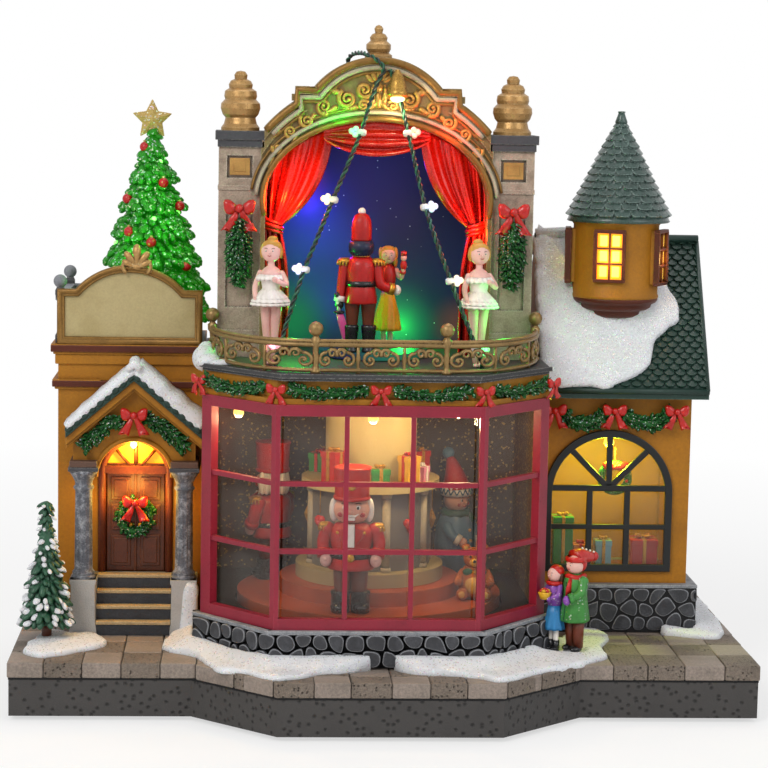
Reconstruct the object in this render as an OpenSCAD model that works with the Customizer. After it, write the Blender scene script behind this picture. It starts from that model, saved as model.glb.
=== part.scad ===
// Musical toy theatre: a lighted resin street scene with a turning stage and carousel.
// Millimetres. Origin: middle of the base on the floor. +X right, -Y to the viewer, +Z up.

/* [Base] */
// Width of the base
base_w = 320; // [310:1:360]
// Depth of the base, from the forward edge to the back
base_d = 204; // [198:1:230]
// How far the middle of the front edge stands forward of its sides
bump_out = 32; // [10:1:40]
// Width of the forward edge
bump_w = 94; // [84:1:110]
// Width across the slanted ends of the forward edge
bump_foot_w = 166; // [150:1:190]
// Height of the paving course
paving_t = 6.7; // [5:0.1:9]
// How far the paving stands proud of the wall under it
paving_lip = 0.8; // [0.2:0.1:2]
// Wall of the base casting
base_wall = 4; // [3:0.5:6]
// Deck under the buildings
deck_t = 4; // [3:0.5:8]
// Thickness of the bottom cover
cover_t = 3.2; // [3:0.1:5]
// Height of the rubber feet
foot_t = 2; // [1:0.1:4]
// Radius of the rubber feet
foot_r = 6; // [4:0.5:9]
// Radius of the screw shanks
screw_r = 1.3; // [1:0.1:1.6]
// Radius of the screw heads
screw_head_r = 2.8; // [2.4:0.1:3.4]

/* [Mechanism] */
// Radius of the main shaft
shaft_r = 2.5; // [2:0.1:3.5]
// Tooth size of the gears
gear_module = 0.8; // [0.6:0.05:0.9]
// Teeth of the driven gear
gear_teeth = 60; // [40:4:60]
// Teeth of the motor pinion
pinion_teeth = 12; // [10:1:16]
// Thickness of the gears
gear_t = 4; // [3:0.5:4.5]
// Height of the gearbox
gearbox_h = 7.2; // [6:0.2:7.6]
// Diameter of the battery cells
cell_d = 14.5; // [14.5:0.1:17]
// Length of the battery cells with their springs
cell_len = 56; // [54:0.5:60]
// Number of battery cells
cells = 3; // [2:1:3]
// Wall of the battery tray
tray_wall = 1; // [0.8:0.1:1.6]
// Radius of the speaker
speaker_r = 20; // [14:0.5:24]
// Thickness of the battery door
door_t = 1.6; // [1.2:0.1:1.8]
// Width of the door's sliding edges
door_tongue = 1.4; // [1:0.1:2]
// How far the battery door slides out
door_travel = 62; // [40:1:70]
// Radius of the adapter plug
plug_r = 1.75; // [1.5:0.05:2.75]
// Depth of the adapter socket
plug_len = 14; // [9:0.5:16]
// Travel of the mode switch
switch_travel = 8; // [4:0.5:10]
// Radius of the volume wheel
volume_r = 9; // [7:0.5:10]

/* [Middle house] */
// Shaft place to the right of the base's middle
stage_x = -5; // [-10:0.5:0]
// Shaft place behind the base's middle
stage_y = -4; // [-8:0.5:2]
// Width of the bay window's front
bay_front_w = 86.8; // [80:0.5:96]
// Width of the bay window at the house wall
bay_back_w = 149.2; // [142:0.2:150]
// Front of the bay window, ahead of the shaft
bay_front = 69.5; // [68:0.5:78]
// Back edge of the bay window, ahead of the shaft
bay_side = 34.8; // [28:0.2:40]
// Back of the house, behind the shaft
house_back = 68; // [64:0.5:80]
// Height of the stone plinth
plinth_h = 16.25; // [14:0.25:20]
// How far the stone plinth stands out
plinth_out = 2.5; // [1:0.1:4]
// Height of the bay window frame
bay_h = 95; // [85:0.5:110]
// Depth of the window frame's bars
frame_t = 4; // [3:0.2:6]
// Width of the frame's outer bars
frame_bar = 4.7; // [3:0.1:6]
// Width of the frame's glazing bars
muntin = 1.7; // [1.2:0.1:2.6]
// Thickness of the clear panes
pane_t = 1; // [0.6:0.1:1.6]
// Height of the frieze over the window
frieze_h = 9.8; // [8:0.2:16]
// Wall of the house castings
house_wall = 3; // [2:0.2:4]
// Thickness of the balcony slab
slab_t = 3; // [2:0.2:6]
// Overhang of the slab in front of the window
slab_out = 3.5; // [1:0.1:6]
// Width of the slab's front edge
slab_front_w = 83.4; // [76:0.2:90]
// How far the balcony slab stands past the house on each side
slab_side_out = 1.4; // [0.9:0.1:3.4]

/* [Stage] */
// Height of the railing
rail_h = 13; // [9:0.5:18]
// Width of the rails
rail_w = 1.8; // [1.2:0.1:2.4]
// Radius of the railing balls
rail_ball_r = 3.1; // [2:0.1:4]
// Middle of each column from the shaft
column_x = 59.8; // [59:0.1:62]
// Width of the column shafts
column_w = 18.4; // [14:0.2:19]
// Depth of the column shafts
column_d = 19; // [14:0.5:22]
// Height of the columns up to their dark caps
column_h = 91.5; // [84:0.5:104]
// Height of the dark caps
cap_h = 7; // [5:0.2:10]
// Height of the gold finials on the columns
finial_h = 26; // [18:0.5:34]
// Height of the arch over the balcony
arch_h = 131.5; // [124:0.5:146]
// Radius of the arch's crown
crown_r = 35.6; // [28:0.2:40]
// Radius of the arch's shoulders
shoulder_r = 65.4; // [60:0.2:80]
// Height of the shoulders' feet over the balcony
arch_foot = 99; // [95:0.5:104]
// Depth of the arch
arch_t = 14; // [8:0.5:18]
// Width of the stage opening
opening_w = 97.2; // [88:0.2:98]
// Height of the opening's straight sides
opening_spring = 69; // [60:0.5:74]
// Rise of the opening's curve
opening_rise = 34.4; // [26:0.2:38]
// Height of the finial on the arch
arch_finial_h = 14.5; // [10:0.5:20]
// Depth of the stage house behind the shaft
stage_depth = 64; // [58:0.5:70]
// Width of the stage house
stage_w = 128; // [124:0.5:132]
// Starry backdrop behind the shaft
backdrop_y = 38; // [34:0.5:48]
// Radius of the turning stage disc
stage_disc_r = 24; // [20:0.5:26]
// Height of the dancing soldier
soldier_h = 62; // [50:0.5:66]
// Height of the two ballet dancers
dancer_h = 54; // [44:0.5:60]

/* [Carousel] */
// Radius of the lowest carousel tier
tier_r = 59; // [55:0.5:62]
// Radius of the second tier
tier2_r = 40.3; // [36:0.1:42]
// Radius of the third tier
tier3_r = 33; // [30:0.1:35]
// Radius of the carousel's drum
drum_r = 27; // [22:0.2:29]
// Radius of the gift shelf
shelf_r = 30.8; // [29:0.2:36]
// Radius of the post above the shelf
post_r = 20.3; // [14:0.1:21]
// Height of each tier
tier_h = 6.4; // [4:0.1:8]
// Height of the drum under the shelf
drum_h = 35; // [28:0.5:40]
// Height of the bay's toy soldiers
toy_h = 63; // [50:0.5:70]

/* [Left house] */
// Joint between the houses
house_gap = 0.2; // [0.1:0.1:1]
// Width of the left house
left_w = 64.4; // [62:0.2:66]
// Height of its walls over the paving
left_h = 124; // [112:0.5:136]
// Depth of the left house
left_d = 64; // [56:0.5:74]
// Height of the porch floor over the paving
porch_floor = 25; // [20:0.5:32]
// Depth of the porch
porch_d = 19; // [16:0.5:22]
// Middle of the porch from the left house's right end
porch_in = 29.9; // [29.8:0.1:32]
// Width across the stone pedestals
porch_w = 55.6; // [52:0.2:56]
// Width of the pedestals
pedestal_w = 11.4; // [9:0.2:12]
// Height of the porch columns
porch_column_h = 46.5; // [42:0.5:50]
// Radius of the porch columns
porch_column_r = 3.6; // [2.5:0.1:4.5]
// Height of the gable over its beam
gable_h = 45.6; // [40:0.2:46]
// Half width of the gable roof
gable_half = 29.3; // [29:0.1:29.4]
// Width of the door
door_w = 26; // [22:0.5:29]
// Height of the door
door_h = 45; // [40:0.5:48]
// Width of the sign board
sign_w = 64; // [50:0.5:66]
// Height of the sign board's sides
sign_h = 24.5; // [18:0.5:30]
// Rise of the sign board's curved top
sign_rise = 10.8; // [6:0.2:14]
// Thickness of the sign board
sign_t = 4; // [3:0.2:5]
// Tree place behind the left house's front wall
tree_y = 30; // [28:0.5:34]
// Height of the roof tree
tree_h = 94; // [80:0.5:110]
// Radius of the roof tree
tree_r = 27.4; // [22:0.2:28]
// Outer radius of the star
star_r = 9; // [7:0.2:12]
// Height of the snowy fir
fir_h = 61; // [50:0.5:70]
// Radius of the snowy fir
fir_r = 12; // [9:0.2:13]

/* [Right house] */
// Width of the right house
right_w = 69.2; // [66:0.1:72]
// Front wall ahead of the base's middle
right_front = 3; // [0:0.5:8]
// Depth of the right house
right_d = 62; // [56:0.5:72]
// Height of its stone plinth
right_plinth_h = 21.5; // [16:0.5:26]
// Ridge of its roof over the paving
ridge_h = 176; // [166:0.5:186]
// Eave of its roof over the paving
eave_h = 112.4; // [106:0.5:118]
// Overhang of the eaves
eave_out = 9; // [6:0.5:12]
// Thickness of the roof
roof_t = 3; // [2:0.2:5]
// Rows of shingles on each slope
shingle_rows = 13; // [8:1:18]
// Thickness of the shingles
shingle_t = 1.2; // [0.6:0.1:1.6]
// Outer width of the arched window
window_w = 57.8; // [50:0.2:60]
// Outer height of the arched window
window_h = 64.4; // [58:0.2:68]
// Height of the window's sill over the paving
window_sill = 27.4; // [24:0.2:30]
// Width of the window's frame
window_bar = 3.8; // [2.5:0.1:5]
// Radius of the turret
turret_r = 19.3; // [16:0.1:21]
// Height of the turret's walls
turret_h = 36; // [28:0.5:44]
// Foot of the turret's walls over the paving
turret_z = 150.8; // [144:0.2:158]
// Radius of the turret's roof
cone_r = 24.3; // [22:0.1:27]
// Height of the turret's roof
cone_h = 47; // [38:0.5:56]
// Shingle rows on the turret's roof
cone_rows = 12; // [8:1:16]

/* [Snow] */
// Radius of the larger lobes of the snow
snow_r = 9; // [7:0.1:10]

/* [Light strings] */
// Diameter of the twisted wire
wire_d = 2.2; // [1.8:0.1:2.4]
// Radius of the lamps on the strings
lamp_r = 2.6; // [2:0.1:3]

/* [Hidden] */
$fn = 48;

// Clearances
fix_gap = 0.02;
run_gap = 0.06;
slide_gap = 0.3;
rise_gap = 0.5;

// Levels, from the floor up
cover_top = foot_t + cover_t;
tray_h = cell_d + tray_wall;
deck_z = cover_top + tray_h + slide_gap + deck_t;
room_top = deck_z - deck_t;
sill_z = deck_z + plinth_h;
bay_top = sill_z + bay_h;
slab_z = bay_top + frieze_h;
floor_z = slab_z + slab_t;
gear_z = cover_top + gearbox_h + 0.8;

// Plan of the base
slab_back_w = bay_back_w + 2 * slab_side_out;
front_y = -base_d / 2;
back_y = base_d / 2;
side_y = front_y + bump_out;

// Slanted bay outline moved inward by i
function slant(fh, fy, bh, by, i) =
    let (dx = bh - fh, dy = by - fy, s = norm([dx, dy]))
    [[-(bh - i * s / dy), by], [-(fh - i * (s - dx) / dy), fy + i],
     [fh - i * (s - dx) / dy, fy + i], [bh - i * s / dy, by]];
function bay_line(i) = slant(bay_front_w / 2, -bay_front, bay_back_w / 2, -bay_side, i);
function slab_line(i) = slant(slab_front_w / 2, -bay_front - slab_out, slab_back_w / 2, -bay_side, i);
function turned(list) = [for (i = [len(list) - 1:-1:0]) list[i]];
function base_line(i) =
    let (fh = bump_w / 2, bh = bump_foot_w / 2, dx = bh - fh, s = norm([dx, bump_out]),
         k = i * (s - dx) / bump_out, w = base_w / 2 - i)
    [[-w, side_y + i], [-bh + k, side_y + i], [-fh + k, front_y + i], [fh - k, front_y + i],
     [bh - k, side_y + i], [w, side_y + i], [w, back_y - i], [-w, back_y - i]];

// Places in the base
tray_w = cells * (cell_d + 0.3) + 2 * tray_wall;
tray_x = 56;
tray_y = 24;
tray_len = cell_len + 2 * tray_wall;
door_w0 = tray_w + 6;
door_x = tray_x + tray_w / 2;
door_len = back_y - tray_y + 2;
screw_spots = [[-base_w / 2 + 36, back_y - 13], [base_w / 2 - 36, back_y - 13],
    [-base_w / 2 + 36, side_y + 12], [base_w / 2 - 36, side_y + 12],
    [-bump_w / 2 + 8, front_y + 14], [bump_w / 2 - 8, front_y + 14]];
foot_spots = [[-base_w / 2 + 16, back_y - 14], [base_w / 2 - 16, back_y - 14],
    [-base_w / 2 + 16, side_y + 14], [base_w / 2 - 16, side_y + 14],
    [-bump_w / 2 + 27, front_y + 14], [bump_w / 2 - 27, front_y + 14]];
speaker_spot = [-95, 40];
socket_x = 22;
switch_x = -20;
switch_z = cover_top + 7;
volume_x = -52;
volume_z = cover_top + 8;
volume_y = back_y - volume_r - 0.4;
gear_r = gear_module * gear_teeth / 2;
pinion_r = gear_module * pinion_teeth / 2;
pinion_x = stage_x + gear_r + pinion_r;
bush_r = shaft_r + 2;

// Plan of the buildings
left_x1 = stage_x - bay_back_w / 2 - house_gap;
left_x0 = left_x1 - left_w;
left_top = deck_z + left_h;
cornice_out = 3;
cornice_h = 3.4;
left_roof = left_top + cornice_h;
porch_x = left_x1 - porch_in;
porch_z = deck_z + porch_floor;
beam_z = porch_z + porch_column_h + 1.4;
beam_h = 4.5;
gable_z = beam_z + beam_h;
gable_slope = 0.85;
gable_top = beam_z + gable_h;
right_x0 = stage_x + bay_back_w / 2 + house_gap;
right_x1 = right_x0 + right_w;
right_back = right_d - right_front;
ridge_y = right_d / 2 - right_front;
ridge_z = deck_z + ridge_h;
eave_z = deck_z + eave_h;
eave_y = -right_front - eave_out;
roof_slope = (ridge_z - eave_z) / (ridge_y - eave_y);
roof_drop = roof_t * norm([1, roof_slope]);
window_x = right_x0 + right_w / 2 - 2;
window_z = deck_z + window_sill;
turret_x = right_x1 - 34.5;
turret_y = ridge_y - 18;
turret_foot = deck_z + turret_z;
tree_x = (left_x0 + left_x1) / 2 + 8;
tree_z = left_roof;
fir_x = left_x0 - 2.4;
fir_y = side_y + 40;
fir_foot = 7.5;
snow_t = 1.6;
fir_z = deck_z;

// Stage outline centres
crown_z = floor_z + arch_h - crown_r;
arch_half = column_x - column_w / 2 - 0.05;
cap_out = 1.3;
neck_half = arch_half - cap_out;
shoulder_z = floor_z + arch_foot - sqrt(pow(shoulder_r, 2) - pow(arch_half, 2));
arch_front = -10;
column_y = arch_front + 1;
column_top = floor_z + column_h;
cap_top = column_top + cap_h;

// Route of each light string, round points chosen by hand
string_left_route = [[-18, 7, 273.5], [-18, 5, 279], [-16, 1, 283], [-13.5, -6, 284], [-10.5, -13.5, 282.5],
    [-6, -18.3, 280], [-3.2, -19.5, 275], [-6, -20.5, 269], [-9.5, -23, 259], [-13, -28, 248],
    [-19, -34, 233.5], [-25, -40, 219.5], [-31, -46, 205], [-37, -51.5, 190.5], [-42.5, -56.5, 174],
    [-47, -60, 159], [-48.5, -61, 153], [-48.5, -61, 149]];
string_right_route = [[-0.6, -19.5, 275], [1.5, -19, 270], [4, -20.5, 262], [7.5, -26, 248],
    [11, -33, 232], [14.5, -40, 217], [19.5, -46.5, 201.5], [25, -52.5, 186.5], [30.5, -57.5, 172],
    [36, -61, 158], [38, -62, 153], [38, -62, 149]];
string_left_lamps = [[-13, -28, 248], [-25, -40, 219.5], [-37, -51.5, 190.5], [-47, -60, 159]];
string_right_lamps = [[7.5, -26, 248], [14.5, -40, 217], [25, -52.5, 186.5], [36, -61, 158]];
spot_place = [2.6, -24.6, 263];

// Helpers

module block(lo, hi) { translate(lo) cube(hi - lo); }
module ball(p, r) { translate(p) sphere(r = r, $fn = 32); }
module disc(p, r, h) { translate(p) cylinder(r = r, h = h); }
module at_stage() { translate([stage_x, stage_y, 0]) children(); }
// A plate whose outline is drawn in X and Z, between two depths
module plate_xz(y0, y1) { translate([0, y1, 0]) rotate([90, 0, 0]) linear_extrude(y1 - y0) children(); }
// A plate whose outline is drawn in Y and Z, between two widths
module plate_yz(x0, x1) { translate([x0, 0, 0]) rotate([90, 0, 90]) linear_extrude(x1 - x0) children(); }
// A tapered round bar between two points
module rod(a, b, ra, rb) {
    d = b - a;
    translate(a)
        rotate([0, acos(d[2] / norm(d)), atan2(d[1], d[0])])
            cylinder(r1 = ra, r2 = rb, h = norm(d), $fn = 24);
}
module limb(a, b, ra, rb) {
    rod(a, b, ra, rb);
    ball(b, rb * 1.02);
}
module turned_part(profile) { rotate_extrude() polygon(profile); }
// A garland hanging between two points of one height
module swag(p, q, sag, r) {
    c = norm(q - p);
    bend_r = (c * c / 4 + sag * sag) / (2 * sag);
    a = 2 * asin(c / 2 / bend_r);
    translate((p + q) / 2)
        rotate([0, 0, atan2(q[1] - p[1], q[0] - p[0])])
            rotate([90, 0, 0])
                translate([0, bend_r - sag, 0])
                    rotate([0, 0, -90 - a / 2])
                        rotate_extrude(angle = a) translate([bend_r, 0]) circle(r = r, $fn = 24);
}
// A tied ribbon bow facing the viewer, w wide
module bow(p, w, turn = 0) {
    s = w / 12;
    translate(p) rotate([0, 0, turn]) {
        plate_xz(-1.3 * s, 1.3 * s) for (m = [-1, 1]) {
            difference() {
                translate([2.8 * m * s, 0.6 * s]) circle(r = 3.2 * s);
                translate([3.4 * m * s, 0.7 * s]) circle(r = 1.3 * s);
            }
            polygon([[-0.4 * m * s, -0.4 * s], [2.6 * m * s, -7.4 * s], [5.6 * m * s, -6.4 * s], [1.4 * m * s, 0.6 * s]]);
        }
        rod([0, -2.3 * s, 0.2 * s], [0, 0.6 * s, 0.2 * s], 1.7 * s, 1.9 * s);
    }
}
// A wrapped gift with its ribbon and bow
module gift(p, w, h, turn = 0) {
    translate(p) rotate([0, 0, turn]) {
        translate([-w / 2, -w / 2, 0]) cube([w, w, h]);
        translate([-w / 2 - 0.3, -0.8, 0]) cube([w + 0.6, 1.6, h + 0.3]);
        translate([-0.8, -w / 2 - 0.3, 0]) cube([1.6, w + 0.6, h + 0.3]);
        translate([0, 0, h]) cylinder(r1 = w * 0.3, r2 = w * 0.2, h = w * 0.22);
    }
}
// An involute gear blank, teeth only, thinned by the backlash
function involute(rb, a) = rb * [cos(a) + a * PI / 180 * sin(a), sin(a) - a * PI / 180 * cos(a)];
function spin(p, a) = [p[0] * cos(a) - p[1] * sin(a), p[0] * sin(a) + p[1] * cos(a)];
module gear_outline(m, n, lash) {
    rp = m * n / 2;
    rb = rp * cos(20);
    ro = rp + m;
    rr = rp - 1.25 * m;
    top = sqrt(pow(ro / rb, 2) - 1) * 180 / PI;
    pitch = sqrt(pow(rp / rb, 2) - 1) * 180 / PI;
    start = rr > rb ? sqrt(pow(rr / rb, 2) - 1) * 180 / PI : 0;
    half = 90 / n + atan2(involute(rb, pitch)[1], involute(rb, pitch)[0]) - lash / rp * 90 / PI;
    flank = [for (k = [0:4]) spin(involute(rb, start + (top - start) * k / 4), -half)];
    polygon([for (t = [0:n - 1])
        each concat(
            [spin([rr, 0], t * 360 / n - 180 / n * 0.95), spin([rr, 0], t * 360 / n - half)],
            [for (p = flank) spin(p, t * 360 / n)],
            turned([for (p = flank) spin([p[0], -p[1]], t * 360 / n)]),
            [spin([rr, 0], t * 360 / n + half)])]);
}
// A round wire swept along a smooth route
function between(p, i, t) =
    let (a = p[max(i - 1, 0)], b = p[i], c = p[i + 1], d = p[min(i + 2, len(p) - 1)])
    0.5 * (2 * b + (c - a) * t + (2 * a - 5 * b + 4 * c - d) * t * t + (3 * b - a - 3 * c + d) * t * t * t);
function smooth_route(p, step) =
    concat([for (i = [0:len(p) - 2]) let (n = ceil(norm(p[i + 1] - p[i]) / step)) for (k = [0:n - 1]) between(p, i, k / n)],
        [p[len(p) - 1]]);
function unit(v) = v / norm(v);
module wire(route, r) {
    sides = 8;
    n = len(route);
    rings = [for (i = [0:n - 1])
        let (t = unit(route[min(i + 1, n - 1)] - route[max(i - 1, 0)]), u = unit(cross(t, [1, 0, 0])),
             v = cross(t, u))
        for (k = [0:sides - 1]) route[i] + r * (u * cos(k * 360 / sides) + v * sin(k * 360 / sides))];
    walls = [for (i = [0:n - 2]) for (k = [0:sides - 1])
        let (a = i * sides + k, b = i * sides + (k + 1) % sides)
        each [[a, b, a + sides], [b, b + sides, a + sides]]];
    ends = [for (k = [1:sides - 2]) each [[0, k + 1, k], [(n - 1) * sides, (n - 1) * sides + k, (n - 1) * sides + k + 1]]];
    polyhedron(rings, concat(walls, ends));
}

// Base and what is inside it

module base_casting() color("dimgray") difference() {
    union() {
        translate([0, 0, foot_t]) linear_extrude(deck_z - paving_t - foot_t) polygon(base_line(paving_lip));
        translate([0, 0, deck_z - paving_t]) linear_extrude(paving_t) polygon(base_line(0));
    }
    difference() {
        translate([0, 0, foot_t - 1]) linear_extrude(room_top - foot_t + 1)
            polygon(base_line(paving_lip + base_wall));
        for (s = screw_spots) disc([s[0], s[1], cover_top], screw_r + 2.2, room_top);
    }
    for (s = screw_spots) disc([s[0], s[1], foot_t], screw_r + fix_gap, room_top - foot_t - 2);
    disc([stage_x, stage_y, room_top - 1], bush_r + fix_gap, deck_t + 2);
    translate([socket_x, back_y + 1, cover_top + 6.5]) rotate([90, 0, 0])
        cylinder(r = plug_r + 2.2 + fix_gap, h = base_wall + 4);
    block([switch_x - switch_travel / 2 - 3.3, back_y - 8, switch_z - 2.3],
          [switch_x + switch_travel / 2 + 3.3, back_y + 1, switch_z + 2.3]);
    block([volume_x - volume_r - 2, back_y - 9, volume_z - 1.9], [volume_x + volume_r + 2, back_y + 1, volume_z + 1.9]);
    door_channel(back_y + 1);
}
// The T-shaped way in which the battery door slides
module door_channel(end_y) {
    g = slide_gap;
    block([door_x - door_w0 / 2 - g, tray_y - 2 - g, foot_t - 1], [door_x + door_w0 / 2 + g, end_y, foot_t + door_t + g]);
    block([door_x - door_w0 / 2 - door_tongue - g, tray_y - 2 - g, foot_t + door_t / 2 - g],
          [door_x + door_w0 / 2 + door_tongue + g, end_y, foot_t + door_t + g]);
}
module bottom_cover() color([0.16, 0.16, 0.17]) difference() {
    translate([0, 0, foot_t]) linear_extrude(cover_t) polygon(base_line(paving_lip + base_wall + slide_gap));
    door_channel(back_y);
    block([tray_x + tray_wall, tray_y + tray_wall, foot_t], [tray_x + tray_w - tray_wall, tray_y + tray_len - tray_wall, cover_top + 1]);
    for (s = screw_spots) {
        disc([s[0], s[1], foot_t - 1], screw_r + 0.3, cover_t + 2);
        disc([s[0], s[1], foot_t - 1], screw_head_r + 0.2, 2.4);
    }
    for (a = [0:60:300]) disc([speaker_spot[0] + speaker_r * 0.3 * cos(a), speaker_spot[1] + speaker_r * 0.3 * sin(a), 0], 1.3, cover_top + 1);
    for (a = [0:30:330]) disc([speaker_spot[0] + speaker_r * 0.62 * cos(a), speaker_spot[1] + speaker_r * 0.62 * sin(a), 0], 1.3, cover_top + 1);
    disc([speaker_spot[0], speaker_spot[1], 0], 1.3, cover_top + 1);
}
module rubber_feet() color([0.1, 0.1, 0.1])
    for (s = foot_spots) translate([s[0], s[1], 0]) cylinder(r1 = foot_r - 0.4, r2 = foot_r, h = foot_t);
module screws() color("silver") {
    for (s = screw_spots) {
        disc([s[0], s[1], foot_t + 0.1], screw_head_r, 1.3);
        disc([s[0], s[1], foot_t + 1.4], screw_r, room_top - foot_t - 5.4);
    }
    at_stage() for (x = [-1, 1], z = cover_screws)
        translate([x * boss_x, stage_depth - cover_seat + 1.3, floor_z + z]) rotate([90, 0, 0]) {
            cylinder(r = screw_head_r, h = 1.3);
            cylinder(r = screw_r, h = 12);
        }
}
module battery_tray() color([0.13, 0.13, 0.14]) difference() {
    block([tray_x, tray_y, cover_top], [tray_x + tray_w, tray_y + tray_len, cover_top + tray_h]);
    for (i = [0:cells - 1])
        block([tray_x + tray_wall + i * (cell_d + 0.3), tray_y + tray_wall, cover_top - 1],
              [tray_x + tray_wall + (i + 1) * (cell_d + 0.3) - (i < cells - 1 ? 0.8 : 0), tray_y + tray_len - tray_wall, cover_top + cell_d]);
}
module battery_contacts() color("lightgray")
    for (i = [0:cells - 1]) translate([tray_x + tray_wall + (i + 0.5) * (cell_d + 0.3) - 0.4, 0, cover_top + cell_d / 2]) {
        block([-4.5, tray_y + tray_wall, -4.5], [4.5, tray_y + tray_wall + 0.4, 4.5]);
        translate([0, tray_y + tray_wall + 3.4, 0]) rotate([90, 0, 0]) cylinder(r1 = 2, r2 = 3.6, h = 3);
        block([-4.5, tray_y + tray_len - tray_wall - 0.4, -4.5], [4.5, tray_y + tray_len - tray_wall, 4.5]);
    }
module battery_door() color([0.16, 0.16, 0.17]) {
    w = door_w0 / 2;
    block([door_x - w, tray_y - 2, foot_t], [door_x + w, back_y, foot_t + door_t]);
    block([door_x - w - door_tongue, tray_y - 2, foot_t + door_t / 2], [door_x + w + door_tongue, back_y, foot_t + door_t]);
    for (i = [0:3]) block([door_x - 9, back_y - 12 + 3 * i, foot_t - 0.5], [door_x + 9, back_y - 11 + 3 * i, foot_t]);
}
module speaker() color([0.2, 0.2, 0.22]) translate([speaker_spot[0], speaker_spot[1], cover_top]) {
    turned_part([[0, 1.6], [speaker_r * 0.3, 1.8], [speaker_r - 2.5, 0.4], [speaker_r - 2.5, 0], [speaker_r, 0],
        [speaker_r, 2], [speaker_r * 0.5, 7], [speaker_r * 0.5, 10], [0, 10]]);
}
module circuit_board() color("darkgreen") {
    z = cover_top + 3;
    lo = [volume_x - 12, back_y - 34, z];
    hi = [socket_x - 12, back_y - 21, z + 1.6];
    block(lo, hi);
    for (x = [lo[0] + 4, hi[0] - 4]) disc([x, lo[1] + 4, cover_top], 2, 3);
    block([lo[0] + 14, lo[1] + 3, z + 1.6], [lo[0] + 24, lo[1] + 10, z + 3.6]);
    for (i = [0:3]) disc([lo[0] + 30 + 5 * i, lo[1] + 6, z + 1.6], 1.8, 4);
    block([volume_x - 4, back_y - 22, z], [volume_x + 4, volume_y + 3, z + 1.6]);
    disc([volume_x, volume_y, z + 1.6], 1.5, volume_z + 1.5 - z - 1.6);
}
module gear_motor() color("silver") {
    translate([pinion_x, stage_y, cover_top]) {
        block([-8, -10, 0], [34, 10, gearbox_h]);
        translate([34, 0, 6]) rotate([0, 90, 0]) cylinder(r = 6, h = 16);
        disc([0, 0, gearbox_h], 1, gear_t + 1.2);
    }
}
module motor_pinion() color("white") translate([pinion_x, stage_y, gear_z])
    difference() {
        linear_extrude(gear_t) rotate([0, 0, 180 - 180 / pinion_teeth]) gear_outline(gear_module, pinion_teeth, 0.12);
        translate([0, 0, -1]) cylinder(r = 1 + run_gap, h = gear_t + 2);
    }
module main_gear() color("white") translate([stage_x, stage_y, gear_z]) difference() {
    union() {
        linear_extrude(gear_t) gear_outline(gear_module, gear_teeth, 0.12);
        cylinder(r = bush_r + 1.5, h = room_top - gear_z - 0.4);
    }
    translate([0, 0, -1]) cylinder(r = shaft_r + fix_gap, h = deck_z);
    for (a = [0:60:300]) rotate([0, 0, a]) translate([(gear_r + bush_r) / 2, 0, -1]) cylinder(r = gear_r * 0.17, h = gear_t + 2);
}
module main_shaft() color("lightgray") disc([stage_x, stage_y, cover_top + 1 + run_gap], shaft_r, floor_z + 2.4 - cover_top - 1);
module shaft_bushes() color("goldenrod") at_stage() {
    difference() {
        disc([0, 0, cover_top], bush_r + 1, 4);
        disc([0, 0, cover_top + 1], shaft_r + run_gap, 4);
    }
    difference() {
        union() {
            disc([0, 0, room_top], bush_r, deck_t);
            disc([0, 0, deck_z], bush_r + 2, 1);
        }
        disc([0, 0, room_top - 1], shaft_r + run_gap, deck_t + 4);
    }
    difference() {
        disc([0, 0, slab_z], bush_r, slab_t);
        disc([0, 0, slab_z - 1], shaft_r + run_gap, slab_t + 2);
    }
}
module adapter_socket() color([0.08, 0.08, 0.08]) translate([socket_x, back_y, cover_top + 6.5]) rotate([90, 0, 0])
    difference() {
        union() {
            cylinder(r = plug_r + 2.2, h = plug_len + 2);
            translate([-plug_r - 3, -plug_r - 3, base_wall + 1]) cube([2 * plug_r + 6, 2 * plug_r + 6, plug_len + 1 - base_wall]);
        }
        translate([0, 0, -1]) cylinder(r = plug_r + 0.05, h = plug_len + 1);
    }
module mode_switch() color([0.1, 0.1, 0.1]) {
    x = switch_x - switch_travel / 2;
    block([x - 2.5, back_y - 6, switch_z - 1.8], [x + 2.5, back_y - 0.4, switch_z + 1.8]);
    block([x - 3, back_y - 8, switch_z - 2], [x + 3, back_y - 6, switch_z + 2]);
}
module volume_wheel() color([0.12, 0.12, 0.12]) translate([volume_x, volume_y, volume_z - 1.5]) difference() {
    linear_extrude(3) difference() {
        circle(r = volume_r);
        for (a = [0:15:345]) rotate([0, 0, a]) translate([volume_r + 0.3, 0]) circle(r = 0.7, $fn = 16);
    }
    translate([0, 0, -1]) cylinder(r = 1.5 + run_gap, h = 5);
}

// Middle house

module bay_band(i0, i1, h) { linear_extrude(h) polygon(concat(bay_line(i0), turned(bay_line(i1)))); }
module bay_plinth() color("slategray") at_stage() {
    translate([0, 0, deck_z]) bay_band(-plinth_out, frame_t, plinth_h);
    x = bay_back_w / 2 - house_wall - fix_gap;
    translate([0, 0, sill_z - 4]) linear_extrude(2.5) difference() {
        polygon(concat(bay_line(frame_t), [[x - 2, -bay_side], [x, -bay_side + 0.01], [x, house_back - house_wall - fix_gap],
            [-x, house_back - house_wall - fix_gap], [-x, -bay_side + 0.01], [-x + 2, -bay_side]]));
        circle(r = tier_r + 1, $fn = 96);
    }
}
module middle_house() color("goldenrod") at_stage() {
    w = bay_back_w / 2;
    for (m = [-1, 1])
        block([m > 0 ? w - house_wall : -w, -bay_side, deck_z], [m > 0 ? w : -w + house_wall, house_back, slab_z]);
    block([-w, house_back - house_wall, deck_z], [w, house_back, slab_z]);
    translate([0, 0, bay_top]) bay_band(1, frame_t, frieze_h);
    translate([0, 0, bay_top]) bay_band(-1.2, 1, 2.2);
}
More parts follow.
